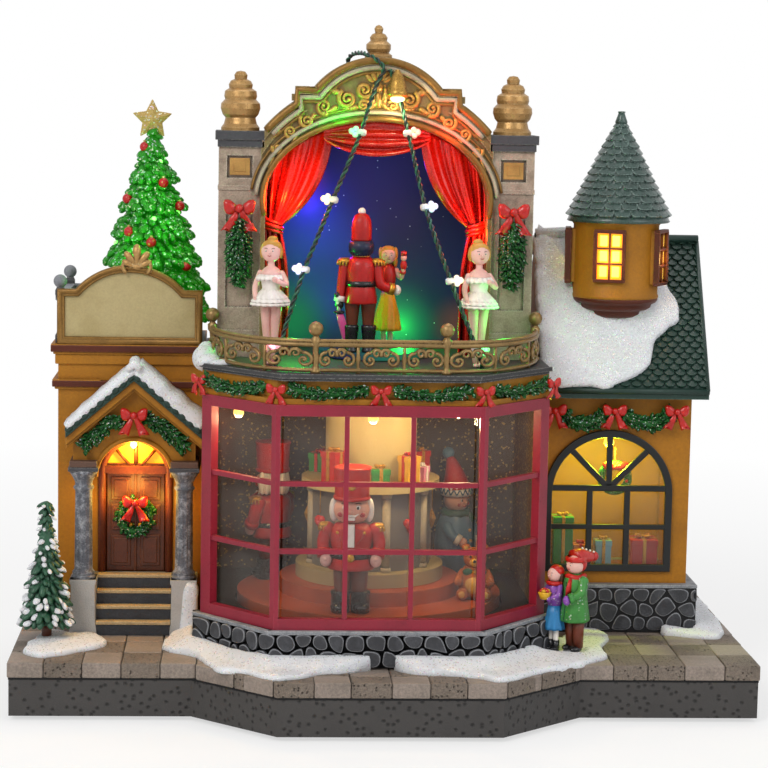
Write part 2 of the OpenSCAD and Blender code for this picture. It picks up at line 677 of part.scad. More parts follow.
module bay_frame() color([0.5, 0.07, 0.16]) at_stage() {
    fh = bay_front_w / 2;
    bh = bay_back_w / 2;
    row = (bay_h - 2 * frame_bar) / 3;
    col = (bay_front_w - 2 * frame_bar) / 3;
    for (z = [sill_z, bay_top - frame_bar]) translate([0, 0, z]) bay_band(0, frame_t, frame_bar);
    for (k = [1, 2]) translate([0, 0, sill_z + frame_bar + k * row - muntin / 2]) bay_band(0.8, frame_t - 0.6, muntin);
    for (m = [-1, 1]) {
        intersection() {
            translate([0, 0, sill_z]) bay_band(0, frame_t, bay_h);
            union() {
                translate([m * fh - 3.5, -bay_front - 1, sill_z]) cube([7, frame_t + 4, bay_h]);
                translate([m * (bh - 4) - 6, -bay_side - 3.5, sill_z]) cube([12, 4, bay_h]);
            }
        }
        translate([m * col / 2 - muntin / 2, -bay_front + 0.8, sill_z + 1]) cube([muntin, frame_t - 1.4, bay_h - 2]);
    }
}
module window_panes() color("lightcyan", 0.4) {
    at_stage() difference() {
        translate([0, 0, sill_z + 1]) bay_band(frame_t, frame_t + pane_t, bay_h - 2);
        for (m = [-1, 1]) translate([m * (bay_front_w / 2 - 3) - 0.4, -bay_front, sill_z]) cube([0.8, 12, bay_h]);
    }
    translate([window_x, 0, 0]) plate_xz(-right_front + fix_gap, -right_front + fix_gap + pane_t)
        arch_outline(window_w - 2.2, window_h - 2.2, window_z + 1.1);
}
module garlands() color("forestgreen") {
    at_stage() {
        z = bay_top + frieze_h * 0.7;
        y = -bay_front - 1.2;
        fx = bay_front_w / 2 - 1;
        bx = bay_back_w / 2 + 1;
        for (m = [-1, 1]) {
            swag([m * 5, y, z], [m * (fx - 4), y, z], 2.6, 2.1);
            swag([m * (fx + 5), y + 5, z], [m * (bx - 2), -bay_side - 5, z], 2.6, 2.1);
        }
        for (m = [-1, 1]) translate([m * column_x, column_y - 3.5, floor_z + 36])
            turned_part([[0, 0], [3.6, 5], [5, 12], [4.6, 18], [2.4, 24], [0, 25]]);
    }
    for (m = [0, 1]) swag([window_x - 23 + m * 28, -right_front - 3.6, deck_z + 100.5], [window_x - 2 + m * 29, -right_front - 3.6, deck_z + 100.5], 5.4, 3);
    translate([porch_x, -porch_d + 2.6, gable_z + 20]) for (m = [-1, 1])
        limb_chain([for (k = [1:5]) [m * (2.5 + 4.2 * k), 0, -0.9 * pow(k, 1.7)]], 2.7);
    translate([porch_x, -1, porch_z + 25]) rotate([90, 0, 0]) rotate_extrude() translate([6.6, 0]) circle(r = 2, $fn = 24);
}
module limb_chain(points, r) { for (i = [0:len(points) - 2]) limb(points[i], points[i + 1], r, r); }
module ribbon_bows() color("crimson") {
    at_stage() {
        z = bay_top + frieze_h * 0.62;
        y = -bay_front - 2.2;
        bow([0, y, z], 8.4);
        for (m = [-1, 1]) {
            bow([m * bay_front_w / 2, y + 0.6, z], 8.4, m * 24);
            bow([m * (bay_back_w / 2 + 1.2), -bay_side - 3.4, z], 8.4, m * 48);
            bow([m * column_x, column_y - 3.6, floor_z + 64.6], 13.4);
        }
    }
    for (x = [window_x - 26, window_x + 1, window_x + 29]) bow([x, -right_front - 4, deck_z + 101], 10.5);
    bow([porch_x, -porch_d + 1.6, gable_z + 20.5], 11.5);
    bow([porch_x, -2.8, porch_z + 31], 11);
}
module balcony_slab() color("dimgray") at_stage() difference() {
    w = bay_back_w / 2;
    union() {
        translate([0, 0, slab_z]) linear_extrude(slab_t * 0.4)
            polygon(concat(slab_line(1), [[w, -bay_side], [w, house_back], [-w, house_back], [-w, -bay_side]]));
        translate([0, 0, slab_z + slab_t * 0.4]) linear_extrude(slab_t * 0.6)
            polygon(concat(slab_line(0), [[w, -bay_side], [w, house_back + 1], [-w, house_back + 1], [-w, -bay_side]]));
    }
    disc([0, 0, slab_z - 1], bush_r + fix_gap, slab_t + 2);
}
rail_front = bay_front + slab_out - 4.6;
rail_half = slab_front_w / 2 - 14.4;
rail_end = slab_back_w / 2 - 5;
rail_back = -arch_front - 2;
// A point of the railing's plan, t from -1 at the left end over 0 in the middle to 1
function rail_point(t) =
    let (s = abs(t), side = t < 0 ? -1 : 1, a = 90 * (s - 0.34) / 0.66)
    s < 0.34 ? [side * rail_half * s / 0.34, -rail_front]
        : [side * (rail_half + (rail_end - rail_half) * sin(a)), -rail_back - (rail_front - rail_back) * cos(a)];
function rail_normal(t) =
    let (d = unit(rail_point(min(t + 0.01, 1)) - rail_point(max(t - 0.01, -1))))
    [d[1], -d[0]];
module rail_bar(z, h) {
    steps = [for (k = [-24:24]) k / 24];
    translate([0, 0, z]) linear_extrude(h)
        polygon(concat([for (t = steps) rail_point(t) + rail_normal(t) * rail_w / 2],
            turned([for (t = steps) rail_point(t) - rail_normal(t) * rail_w / 2])));
}
module balcony_railing() color("darkgoldenrod") at_stage() {
    rail_bar(floor_z + 1, 1.4);
    rail_bar(floor_z + rail_h - 1.6, 1.6);
    for (t = [-0.98, -0.34, 0.34, 0.98]) translate(rail_point(t)) {
        disc([0, 0, floor_z], 1.5, rail_h + 3);
        ball([0, 0, floor_z + rail_h + 4 + rail_ball_r / 2], rail_ball_r);
    }
    for (t = [-0.77, -0.55, -0.12, 0.12, 0.55, 0.77]) translate(rail_point(t)) disc([0, 0, floor_z], 0.8, rail_h - 0.5);
    for (t = [-0.875, -0.66, -0.445, -0.23, 0, 0.23, 0.445, 0.66, 0.875]) {
        n = rail_normal(t);
        translate(rail_point(t)) rotate([0, 0, atan2(n[1], n[0]) + 90]) plate_xz(-0.6, 0.6) scroll_panel();
    }
}
// Two open curls joined by a slanting bar
module scroll_panel() {
    c = rail_h / 2 - 2;
    for (m = [-1, 1]) translate([m * 3.4, floor_z + 1 + rail_h / 2 + m * 1.1]) difference() {
        circle(r = c - 0.6);
        circle(r = c - 1.6);
    }
    polygon([[-4.6, floor_z + 1.6], [-3.2, floor_z + 1.6], [4.6, floor_z + rail_h - 1], [3.2, floor_z + rail_h - 1]]);
}

// Stage

module stage_outline(i) {
    w = stage_w / 2 - i;
    translate([-w, floor_z]) square([2 * w, 83 - i]);
    intersection() {
        translate([0, shoulder_z]) circle(r = shoulder_r - 4 - i, $fn = 96);
        translate([-w, shoulder_z]) square([2 * w, 90]);
    }
    translate([0, crown_z]) circle(r = crown_r - 4 - i, $fn = 96);
}
module arch_outline(w, h, z) {
    translate([-w / 2, z]) square([w, h - w / 2]);
    translate([0, z + h - w / 2]) circle(r = w / 2, $fn = 96);
}
module stage_house() color("goldenrod") at_stage() difference() {
    union() {
        plate_xz(column_y + column_d, stage_depth) stage_outline(0);
        plate_xz(arch_front + arch_t, column_y + column_d) intersection() {
            stage_outline(0);
            translate([-neck_half, floor_z]) square([2 * neck_half, arch_h]);
        }
    }
    difference() {
        plate_xz(arch_front, stage_depth + 1) stage_outline(house_wall);
        for (x = [-1, 1], z = cover_screws) block([min(x * (boss_x - 4), x * (stage_w / 2)), stage_depth - 14, floor_z + z - 4],
            [max(x * (boss_x - 4), x * (stage_w / 2)), stage_depth - cover_seat - 2, floor_z + z + 4]);
    }
    for (x = [-1, 1], z = cover_screws) translate([x * boss_x, stage_depth, floor_z + z]) rotate([90, 0, 0])
        cylinder(r = screw_r + fix_gap, h = 13);
}
cover_screws = [12, 62];
cover_seat = 0.6;
boss_x = stage_w / 2 - house_wall - 6;
module rear_cover() color([0.35, 0.25, 0.12]) at_stage() difference() {
    plate_xz(stage_depth - cover_seat - 2, stage_depth - cover_seat) stage_outline(house_wall + 0.2);
    for (x = [-1, 1], z = cover_screws) translate([x * boss_x, stage_depth, floor_z + z]) rotate([90, 0, 0])
        cylinder(r = screw_r + 0.2, h = 5);
    for (k = [-3:3]) block([-14, stage_depth - 4, floor_z + 34 + 5 * k], [14, stage_depth, floor_z + 36 + 5 * k]);
}
module stage_columns() color("gray") at_stage() for (m = [-1, 1]) translate([m * column_x, column_y, 0]) {
    w = column_w / 2;
    difference() {
        union() {
            block([-w, 0, floor_z], [w, column_d, column_top]);
            block([-w, -0.8, floor_z], [w, column_d, floor_z + 11.7]);
            block([-w, -0.5, column_top - 17], [w, column_d, column_top]);
        }
        block([-w + 3.4, -1, floor_z + 21.7], [w - 3.4, 1.2, column_top - 26]);
        block([-w + 3.6, -1, column_top - 13.4], [w - 3.6, 1, column_top - 3.6]);
    }
    block([-w - 0.3, -1.6, column_top], [w + 0.3, column_d, column_top + cap_h / 2]);
    block([-w - cap_out, -2.4, column_top + cap_h / 2], [w + cap_out, column_d, cap_top]);
}
module gold_finials() color("darkgoldenrod") at_stage() {
    s = finial_h / 26;
    for (m = [-1, 1]) translate([m * column_x, column_y + column_d / 2, cap_top])
        turned_part([[0, 0], [8.4, 0], [8.4, 1.4 * s], [7.2, 3 * s], [6.6, 5.6 * s], [7.8, 7 * s], [8.7, 9.6 * s], [8.5, 11.8 * s],
            [6.8, 13.6 * s], [7.2, 15 * s], [6.9, 17.2 * s], [5, 18.4 * s], [5.3, 20 * s], [4.4, 21.6 * s], [2.7, 22.4 * s],
            [2.9, 24.2 * s], [1.9, 25.6 * s], [0, 26 * s]]);
    a = arch_finial_h / 14.5;
    translate([0, arch_front + arch_t / 2, floor_z + arch_h - 0.6])
        turned_part([[0, 0], [6, 0], [6, 1.4 * a], [4.6, 2.4 * a], [5.4, 4 * a], [5.4, 6 * a], [3.6, 7.6 * a], [3.9, 9 * a],
            [2.9, 10.4 * a], [1.6, 11 * a], [2, 12.8 * a], [1.2, 14 * a], [0, 14.5 * a]]);
}
function opening_points(i) = concat([[-opening_w / 2 - i, floor_z], [opening_w / 2 + i, floor_z]],
    [for (a = [0:7.5:180]) [(opening_w / 2 + i) * cos(a), floor_z + opening_spring + (opening_rise + i) * sin(a)]]);
module arch_shape(i) {
    intersection() {
        union() {
            translate([0, shoulder_z]) circle(r = shoulder_r - i, $fn = 96);
            translate([0, crown_z]) circle(r = crown_r - i, $fn = 96);
            for (m = [-1, 1]) translate([m * 33 - 3 - i / 2, crown_z + 12]) square([6 + i, 10.4 - i]);
        }
        union() {
            translate([-arch_half, floor_z + arch_foot - 36]) square([2 * arch_half, column_h - arch_foot + 36 - 0.05]);
            translate([-neck_half, floor_z + column_h - 1]) square([2 * neck_half, arch_h]);
        }
    }
}
module proscenium_arch() color("darkgoldenrod") at_stage() difference() {
    union() {
        plate_xz(arch_front, arch_front + arch_t) union() {
            arch_shape(0);
            translate([-arch_half, floor_z]) square([2 * arch_half, arch_foot - 20]);
        }
        plate_xz(arch_front - 2.4, arch_front) difference() {
            arch_shape(0);
            arch_shape(3.4);
        }
        plate_xz(arch_front - 1.2, arch_front) difference() {
            arch_shape(3.4);
            arch_shape(6.4);
        }
        intersection() {
            plate_xz(arch_front - 1.6, arch_front) polygon(opening_points(2.4));
            block([-arch_half, arch_front - 2, floor_z], [arch_half, 0, crown_z]);
        }
    }
    plate_xz(arch_front - 3, arch_front + arch_t + 1) polygon(opening_points(0));
    disc([0, arch_front + arch_t / 2, floor_z + arch_h - 0.6], 6.05, 5);
}
// Cloth from rows of points on its front, closed by a flat back
module cloth(rows, back) {
    n = len(rows);
    m = len(rows[0]);
    t = n * m;
    points = concat([for (r = rows) each r], [for (r = rows) for (p = r) [p[0], back, p[2]]]);
    faces = concat(
        [for (i = [0:n - 2]) for (j = [0:m - 2]) let (a = i * m + j)
            each [[a, a + 1, a + m + 1], [a, a + m + 1, a + m], [t + a, t + a + m + 1, t + a + 1], [t + a, t + a + m, t + a + m + 1]]],
        [for (j = [0:m - 2]) let (b = (n - 1) * m + j)
            each [[j + 1, j, t + j], [j + 1, t + j, t + j + 1], [b, b + 1, t + b + 1], [b, t + b + 1, t + b]]],
        [for (i = [0:n - 2]) let (c = i * m, d = c + m - 1)
            each [[c, c + m, t + c + m], [c, t + c + m, t + c], [d + m, d, t + d], [d + m, t + d, t + d + m]]]);
    polyhedron(points, faces);
}
drape_w = opening_w / 2 - fix_gap;
curtain_back = arch_front + arch_t - 0.6;
tie_z = floor_z + 57;
crest_z = floor_z + opening_spring + opening_rise - fix_gap;
// Outer and inner edge of the left drape, row by row from its crest to its hem
drape_edges = concat(
    [for (k = [9:-1:0]) let (a = 180 - 7.5 * k, u = k / 9)
        [[drape_w * cos(a), floor_z + opening_spring + (opening_rise - fix_gap) * sin(a)],
         [-drape_w + 9 + 30 * pow(u, 0.62), tie_z + 3 + (crest_z - 3.4 - tie_z) * (1 - pow(1 - u, 1.6))]]],
    [for (r = [[0, 6], [-4, 6.6], [-16, 8], [-34, 9.4], [0.6 - tie_z + floor_z, 11.5]]) [[-drape_w, tie_z + r[0]], [-drape_w + r[1], tie_z + r[0]]]]);
module drape() cloth([for (i = [0:len(drape_edges) - 1]) let (e = drape_edges[i], tied = 1 - exp(-pow(i - 10.5, 2) / 5))
    [for (j = [0:20]) let (p = e[0] + (e[1] - e[0]) * j / 20)
        [p[0], curtain_back - 3.4 - tied * 1.2 * sin(360 * 4 * j / 20 + 14 * i), p[1]]]], curtain_back);
module valance() cloth([for (i = [0:8])
    [for (j = [0:24]) let (a = 135 - 3.75 * j, top = [drape_w * cos(a), floor_z + opening_spring + (opening_rise - fix_gap) * sin(a) - (j % 2) * 0.1],
        low = top[1] - 5 - 9.6 * pow(cos(90 * (j - 12) / 12), 2))
        [top[0], curtain_back - 8.4 - 1.4 * sin(360 * i / 4 + 90) * (j > 0 && j < 24 ? 1 : 0), top[1] + (low - top[1]) * i / 8]]], curtain_back - 6);
module stage_curtains() color("firebrick") at_stage() {
    drape();
    mirror([1, 0, 0]) drape();
    valance();
}
module stage_backdrop() color("midnightblue") at_stage()
    plate_xz(backdrop_y, backdrop_y + 1.5) stage_outline(house_wall + 0.2);

// People and toys, each standing at the origin and facing the viewer

module soldier(h, arm_l, arm_r) {
    s = h / 62;
    scale(s) {
        color([0.08, 0.08, 0.08]) for (m = [-1, 1]) {
            disc([m * 3.8, 0, 0], 2.9, 11);
            rod([m * 3.8, 0.6, 1.8], [m * 4, -3, 1.8], 1.8, 1.7);
        }
        color("brown") for (m = [-1, 1]) rod([m * 3.8, 0, 10.6], [m * 3, 0, 25], 2.7, 3.3);
        color("red") {
            turned_part([[0, 22], [7.4, 22], [6, 30], [6.6, 36], [6.6, 39], [4.6, 42], [0, 43]]);
            limb([-6.8, 0, 39], arm_l[0], 2.5, 2);
            limb(arm_l[0], arm_l[1], 2, 1.7);
            limb([6.8, 0, 39], arm_r[0], 2.5, 2);
            limb(arm_r[0], arm_r[1], 2, 1.7);
        }
        color("pink") ball([0, 0, 46.6], 4.9);
        color("red") turned_part([[0, 49], [5.1, 49], [5.7, 52], [5.9, 58], [4.6, 60.6], [0, 61]]);
        color("white") ball([0, 0, 60.6], 1.4);
    }
}
module dancer(h, m) {
    s = h / 54;
    scale(s) {
        color("mistyrose") {
            for (k = [-1, 1]) {
                rod([k * 1.8, 0, 0], [k * 2.6, 0, 29], 1.4, 2.7);
            }
            ball([0, 0, 48.6], 4.6);
            rod([0, 0, 40], [0, 0, 46], 2, 1.6);
            limb([-m * 4.8, 0, 40], [-m * 7.6, -1.5, 33], 1.6, 1.3);
            limb([-m * 7.6, -1.5, 33], [-m * 9, -3, 26], 1.3, 1.1);
            limb([m * 4.8, 0, 40], [m * 7.2, -2.5, 33.5], 1.6, 1.3);
            limb([m * 7.2, -2.5, 33.5], [m * 9.4, -6.5, 37.5], 1.3, 1.1);
        }
        color("white") {
            turned_part([[0, 26.4], [8.6, 26], [9, 27.6], [4.4, 30.6], [3.9, 33], [5.4, 38], [5, 40.6], [0, 41]]);
            for (k = [-1, 1]) ball([k * 5.2, 0, 39.7], 2.7);
        }
    }
}
module ballet_dancers() at_stage() for (m = [-1, 1]) translate([m * (opening_w / 2 - 4.3) - 1.6, 29.5 - bay_front, floor_z]) rotate([0, 0, m * -12]) dancer(dancer_h, -m);
module stage_disc() color([0.2, 0.3, 0.5]) difference() {
    disc([stage_x, stage_y, floor_z + rise_gap], stage_disc_r, 2.5);
    disc([stage_x, stage_y, floor_z], shaft_r + fix_gap, 5);
}
module dancing_couple() translate([stage_x, stage_y, floor_z + rise_gap + 2.5]) {
    translate([-6.5, -13.5, 0]) rotate([0, 0, 176]) soldier(soldier_h, [[-9.5, 1, 30], [-13.2, -1.2, 26.5]], [[8.4, 0.5, 30], [9.6, 1.2, 22]]);
    color("hotpink") rod([-16.2, -13.6, 24], [-12.4, -12.6, 4], 1.2, 1.5);
    translate([6.5, 6, 0]) girl();
}
module girl() {
    color("mistyrose") {
        for (k = [-1, 1]) rod([k * 1.6, 0, 0], [k * 1.4, 0, 14], 1.2, 1.4);
        ball([0, 0, 41.4], 3.8);
        limb([-3.6, -1, 34], [-5.4, -5, 29], 1.2, 1);
        limb([3.6, 0, 34], [6, -1, 28], 1.2, 1);
    }
    color("khaki") turned_part([[0, 8], [6, 8], [5, 16], [2.8, 26], [0, 26]]);
    color("red") turned_part([[0, 25], [2.9, 25], [3.8, 33], [2.4, 37], [0, 38]]);
}
module passers_by() translate([right_x0 + 12.2, stage_y - bay_side - 11.2, deck_z + snow_t]) {
    color("darkgreen") {
        turned_part([[0, 14], [5.6, 14], [5.2, 22], [5.4, 30], [4.6, 33], [0, 34]]);
        limb([5, 0, 31], [7.4, -1, 24], 2, 1.7);
        limb([-5, 0, 31], [-6.4, -4, 24], 2, 1.7);
        limb([-6.4, -4, 24], [-8.4, -5.6, 27], 1.7, 1.4);
    }
    color("saddlebrown") for (k = [-1, 1]) rod([k * 2.4, 0, 2], [k * 2.2, 0, 15], 1.8, 2.4);
    color([0.08, 0.08, 0.08]) for (k = [-1, 1]) rod([k * 2.4, 1, 1.5], [k * 2.8, -3, 1.5], 1.5, 1.4);
    color("peachpuff") {
        ball([0, 0, 38], 4);
        ball([-8.6, 1.6, 33.4], 3.4);
    }
    color("red") {
        turned_part([[0, 41], [4.1, 39.6], [3.6, 43.6], [1.6, 45.4], [0, 45.6]]);
        translate([0, 0, 32.8]) rotate_extrude() translate([3.4, 0]) circle(r = 1.4, $fn = 24);
    }
    translate([-8.6, 1.6, 0]) {
        color("lightblue") turned_part([[0, 9.6], [4.4, 9.6], [3.4, 16], [2.6, 20], [0, 21]]);
        color("gold") turned_part([[0, 20], [2.9, 20], [3.4, 26], [2.4, 29.6], [0, 30.4]]);
        color("mistyrose") for (k = [-1, 1]) rod([k * 1.5, 0, 0], [k * 1.4, 0, 11], 1.2, 1.4);
    }
}

// Carousel

tier_z = sill_z - 3.8;
drum_z = tier_z + 3 * tier_h;
shelf_z = drum_z + drum_h;
module carousel_tiers() color("sienna") at_stage() difference() {
    union() {
        disc([0, 0, tier_z], tier_r, tier_h);
        disc([0, 0, tier_z], tier2_r, 2 * tier_h);
        disc([0, 0, tier_z], tier3_r, 3 * tier_h);
        disc([0, 0, tier_z], drum_r, 3 * tier_h + drum_h);
        disc([0, 0, shelf_z], shelf_r, 3.4);
        disc([0, 0, shelf_z], post_r, slab_z - 1.6 - shelf_z);
    }
    difference() {
        union() {
            disc([0, 0, tier_z - 1], tier_r - 2.4, tier_h - 1.4);
            disc([0, 0, tier_z - 1], tier2_r - 2.4, 2 * tier_h - 1.4);
            disc([0, 0, tier_z - 1], tier3_r - 2.4, 3 * tier_h - 1.4);
            disc([0, 0, tier_z - 1], drum_r - 2.4, 3 * tier_h + drum_h - 1.4);
            disc([0, 0, tier_z - 1], post_r - 2.4, slab_z - 4.6 - tier_z);
        }
        disc([0, 0, tier_z - 2], shaft_r + 2.4, slab_z);
    }
    disc([0, 0, tier_z - 3], shaft_r + fix_gap, slab_z);
}
module bear() color("chocolate") {
    turned_part([[0, 0], [5.4, 0], [7.6, 3], [8, 7], [6.8, 12], [4.6, 15.4], [0, 16]]);
    ball([0, -1.2, 19], 5.6);
    for (m = [-1, 1]) {
        ball([m * 4.3, -0.8, 24], 2);
        rod([m * 4.4, -3, 3], [m * 5.4, -9, 3.2], 2.6, 2.9);
        rod([m * 5, -1, 12.4], [m * 7.6, -5.4, 8.6], 2.3, 2);
    }
}
module jester() {
    color([0.35, 0.42, 0.55]) turned_part([[0, 0], [7.4, 0], [9.6, 7], [10.4, 17], [9.4, 27], [6, 33], [0, 34]]);
    color("peachpuff") {
        ball([0, 0, 39], 6.6);
        limb([-8, -3, 24], [-6, -9, 20], 2.6, 2.2);
    }
    color("red") turned_part([[0, 42], [9, 42], [8.4, 45], [4.6, 54], [1, 62], [0, 62]]);
    color("steelblue") ball([0, 0, 63.6], 3.2);
}
// Angle and distance of each toy on the lowest tier
toy_ring = (tier_r + tier2_r) / 2;
module toy_figures() at_stage() translate([0, 0, tier_z + tier_h]) {
    rotate([0, 0, -102]) translate([toy_ring, 0, 0]) rotate([0, 0, 98])
        soldier(toy_h, [[-9, 0, 31], [-8.6, -1, 24]], [[9, 0, 31], [8.6, -1, 24]]);
    rotate([0, 0, 151]) translate([toy_ring, 0, 0]) rotate([0, 0, -140])
        soldier(toy_h, [[-9, 0, 31], [-8.6, -1, 24]], [[9, 0, 31], [8.6, -1, 24]]);
    rotate([0, 0, -22]) translate([toy_ring, 0, 0]) rotate([0, 0, 14]) scale(0.95) bear();
    rotate([0, 0, 34]) translate([toy_ring, 0, 0]) rotate([0, 0, -50]) scale(0.93) jester();
}
module shelf_gifts() color("red") at_stage() translate([0, 0, shelf_z + 3.4]) {
    r = (shelf_r + post_r) / 2;
    for (g = [[-132, 8.4, 17], [-111, 6.6, 9], [-84, 8.4, 9], [-52, 7.4, 15], [-32, 5.4, 8], [30, 8, 12], [90, 8, 15], [150, 8, 10]])
        rotate([0, 0, g[0]]) gift([r + 0.2, 0, 0], g[1], g[2], 4);
}
module house_bulbs() color("lightyellow") {
    at_stage() for (p = [[15.6 - bay_back_w / 2, -bay_side - 2.2], [-2, 17.5 - bay_front], [bay_front_w / 2 - 7.4, 2.8 - bay_side]]) {
        disc([p[0], p[1], slab_z - 14], 1.5, 14);
        disc([p[0], p[1], slab_z - 16], 2.2, 3);
        ball([p[0], p[1], slab_z - 18], 2.3);
    }
    translate([window_x + 2, 12, deck_z + 84]) {
        ball([0, 0, 0], 2.4);
        disc([0, 0, 0], 1.6, 12);
    }
}

// Left house

module left_house() color("goldenrod") difference() {
    union() {
        block([left_x0, 0, deck_z], [left_x1, left_d, left_top]);
        for (c = [[left_h - 15.6, 2.4, 3.2], [left_h, cornice_out, cornice_h]])
            block([left_x0 - c[1], -c[1], deck_z + c[0]], [left_x1, left_d + c[1], deck_z + c[0] + c[2]]);
    }
    block([left_x0 + house_wall, house_wall, deck_z - 1], [left_x1 - house_wall, left_d - house_wall, left_top - 2]);
    translate([porch_x, 0, 0]) {
        plate_xz(-1, house_wall + 1) arch_outline(door_w + 4, porch_floor + door_h + door_w / 2 + 2.1, deck_z);
        plate_xz(-9, -fix_gap) polygon([[-gable_half, gable_top - gable_half * gable_slope - 9], [-gable_half, gable_top - gable_half * gable_slope + 5.4],
            [-2, gable_top + 5.4], [2, gable_top + 5.4], [gable_half, gable_top - gable_half * gable_slope + 5.4],
            [gable_half, gable_top - gable_half * gable_slope - 9], [0, gable_top - 9]]);
    }
}
module porch() translate([porch_x, 0, 0]) {
    s = gable_slope;
    color("goldenrod") plate_xz(-porch_d + 5, 0) difference() {
        polygon([[-porch_w / 2 + 1, beam_z + beam_h], [porch_w / 2 - 1, beam_z + beam_h], [porch_w / 2 - 1, gable_top - porch_w / 2 * s + s - 5],
            [0, gable_top - 5], [-porch_w / 2 + 1, gable_top - porch_w / 2 * s + s - 5]]);
        translate([0, porch_z + door_h + 0.1]) circle(r = door_w / 2 + 2.8, $fn = 96);
    }
    color("slategray") for (m = [-1, 1]) {
        x = m * (porch_w - pedestal_w) / 2;
        block([x - pedestal_w / 2, -porch_d + 1, beam_z], [x + pedestal_w / 2, 0, beam_z + beam_h]);
        disc([x, -porch_d + 5.4, porch_z], porch_column_r + 1, 1.4);
        translate([x, -porch_d + 5.4, porch_z + 1.4]) cylinder(r1 = porch_column_r, r2 = porch_column_r - 0.4, h = porch_column_h);
    }
    color("darkgreen") plate_xz(-porch_d - 2, 0) difference() {
        polygon([[-gable_half, gable_top - gable_half * s], [0, gable_top], [gable_half, gable_top - gable_half * s],
            [gable_half, gable_top - gable_half * s - 5], [-gable_half, gable_top - gable_half * s - 5]]);
        polygon([[-gable_half - 1, gable_top - gable_half * s - s - 5], [0, gable_top - 5], [gable_half + 1, gable_top - gable_half * s - s - 5]]);
    }
}
module entry_steps() color("gray") translate([porch_x, 0, 0]) {
    w = porch_w / 2 - pedestal_w;
    for (m = [-1, 1]) {
        x = m * (porch_w - pedestal_w) / 2;
        block([x - pedestal_w / 2 + 0.4, -porch_d + 0.4, deck_z], [x + pedestal_w / 2 - 0.4, 0, porch_z - 1.8]);
        block([x - pedestal_w / 2, -porch_d, deck_z], [x + pedestal_w / 2, 0, deck_z + 3.4]);
        block([x - pedestal_w / 2, -porch_d, porch_z - 1.8], [x + pedestal_w / 2, 0, porch_z]);
    }
    for (k = [0:3]) block([-w - 0.4, -porch_d + 0.6 + 4 * k, deck_z], [w + 0.4, 0, deck_z + porch_floor * (k + 1) / 4]);
}
module double_door() color([0.35, 0.17, 0.08]) translate([porch_x, 0, 0]) difference() {
    block([-door_w / 2, 1, porch_z], [door_w / 2, house_wall, porch_z + door_h]);
    block([-0.3, 0.4, porch_z], [0.3, 1.6, porch_z + door_h]);
    for (m = [-1, 1], z = [[3, 17], [19, 30], [32, 42]])
        block([m * door_w / 4 - 4, 0, porch_z + z[0]], [m * door_w / 4 + 4, 1.5, porch_z + z[1]]);
}
module fanlight() translate([porch_x, 0, 0]) {
    z = porch_z + door_h;
    r = door_w / 2 + 1.9;
    color("saddlebrown") plate_xz(0, house_wall) difference() {
        union() {
            translate([-r, porch_z]) square([2 * r, door_h]);
            translate([0, z + 0.1]) circle(r = r, $fn = 96);
        }
        translate([-door_w / 2 - 0.05, porch_z - 1]) square([door_w + 0.1, door_h + 1.05]);
        difference() {
            translate([0, z + 1.6]) circle(r = r - 2.4, $fn = 96);
            for (a = [-52, -26, 0, 26, 52]) translate([0, z]) rotate([0, 0, a]) translate([-0.5, 0]) square([1, r]);
            translate([-r, z - r]) square([2 * r, r + 1.6]);
        }
    }
    color("lightyellow") plate_xz(house_wall - 0.8, house_wall) difference() {
        translate([0, z + 1.6]) circle(r = r - 3, $fn = 96);
        translate([-r, z - r]) square([2 * r, r + 0.05]);
    }
}
module sign_outline(i) {
    h = sign_w / 2;
    c = h - 8;
    rr = (c * c + sign_rise * sign_rise) / (2 * sign_rise);
    translate([-h + i, left_roof + i]) square([sign_w - 2 * i, sign_h - 2 * i]);
    intersection() {
        translate([0, left_roof + sign_h + sign_rise - rr]) circle(r = rr - i, $fn = 128);
        translate([-c, left_roof + 4]) square([2 * c, 60]);
    }
}
module sign_board() translate([left_x0 + sign_w / 2 - 0.4, 0, 0]) {
    y = -cornice_out + 0.2;
    color("saddlebrown") plate_xz(y, y + sign_t) difference() {
        sign_outline(0);
        sign_outline(3);
    }
    color("wheat") plate_xz(y + 1, y + sign_t) sign_outline(3);
    color("darkgoldenrod") plate_xz(y, y + 3) {
        z = left_roof + sign_h + sign_rise - 0.6;
        for (a = [-60, -30, 0, 30, 60]) translate([0, z]) rotate([0, 0, a]) translate([-1.3, 0]) square([2.6, 10 - abs(a) / 15]);
        translate([0, z + 1]) circle(r = 3.4);
    }
}
module roof_balustrade() color("dimgray") {
    x = left_x0 + 0.6;
    for (y = [3.4, left_d - 3]) {
        block([x - 2, y - 2, left_roof], [x + 2, y + 2, left_roof + 26]);
        ball([x, y, left_roof + 27.4], 2.9);
    }
    block([x - 1.4, 5, left_roof], [x + 1.4, left_d - 4, left_roof + 19]);
    block([x - 2.2, 5.4, left_roof + 19], [x + 2.2, left_d - 5, left_roof + 21.6]);
    block([x + 2, left_d - 4.6, left_roof], [left_x1 - 2, left_d - 2, left_roof + 19]);
    block([x + 2, left_d - 5.2, left_roof + 19], [left_x1 - 2, left_d - 1, left_roof + 21.6]);
}
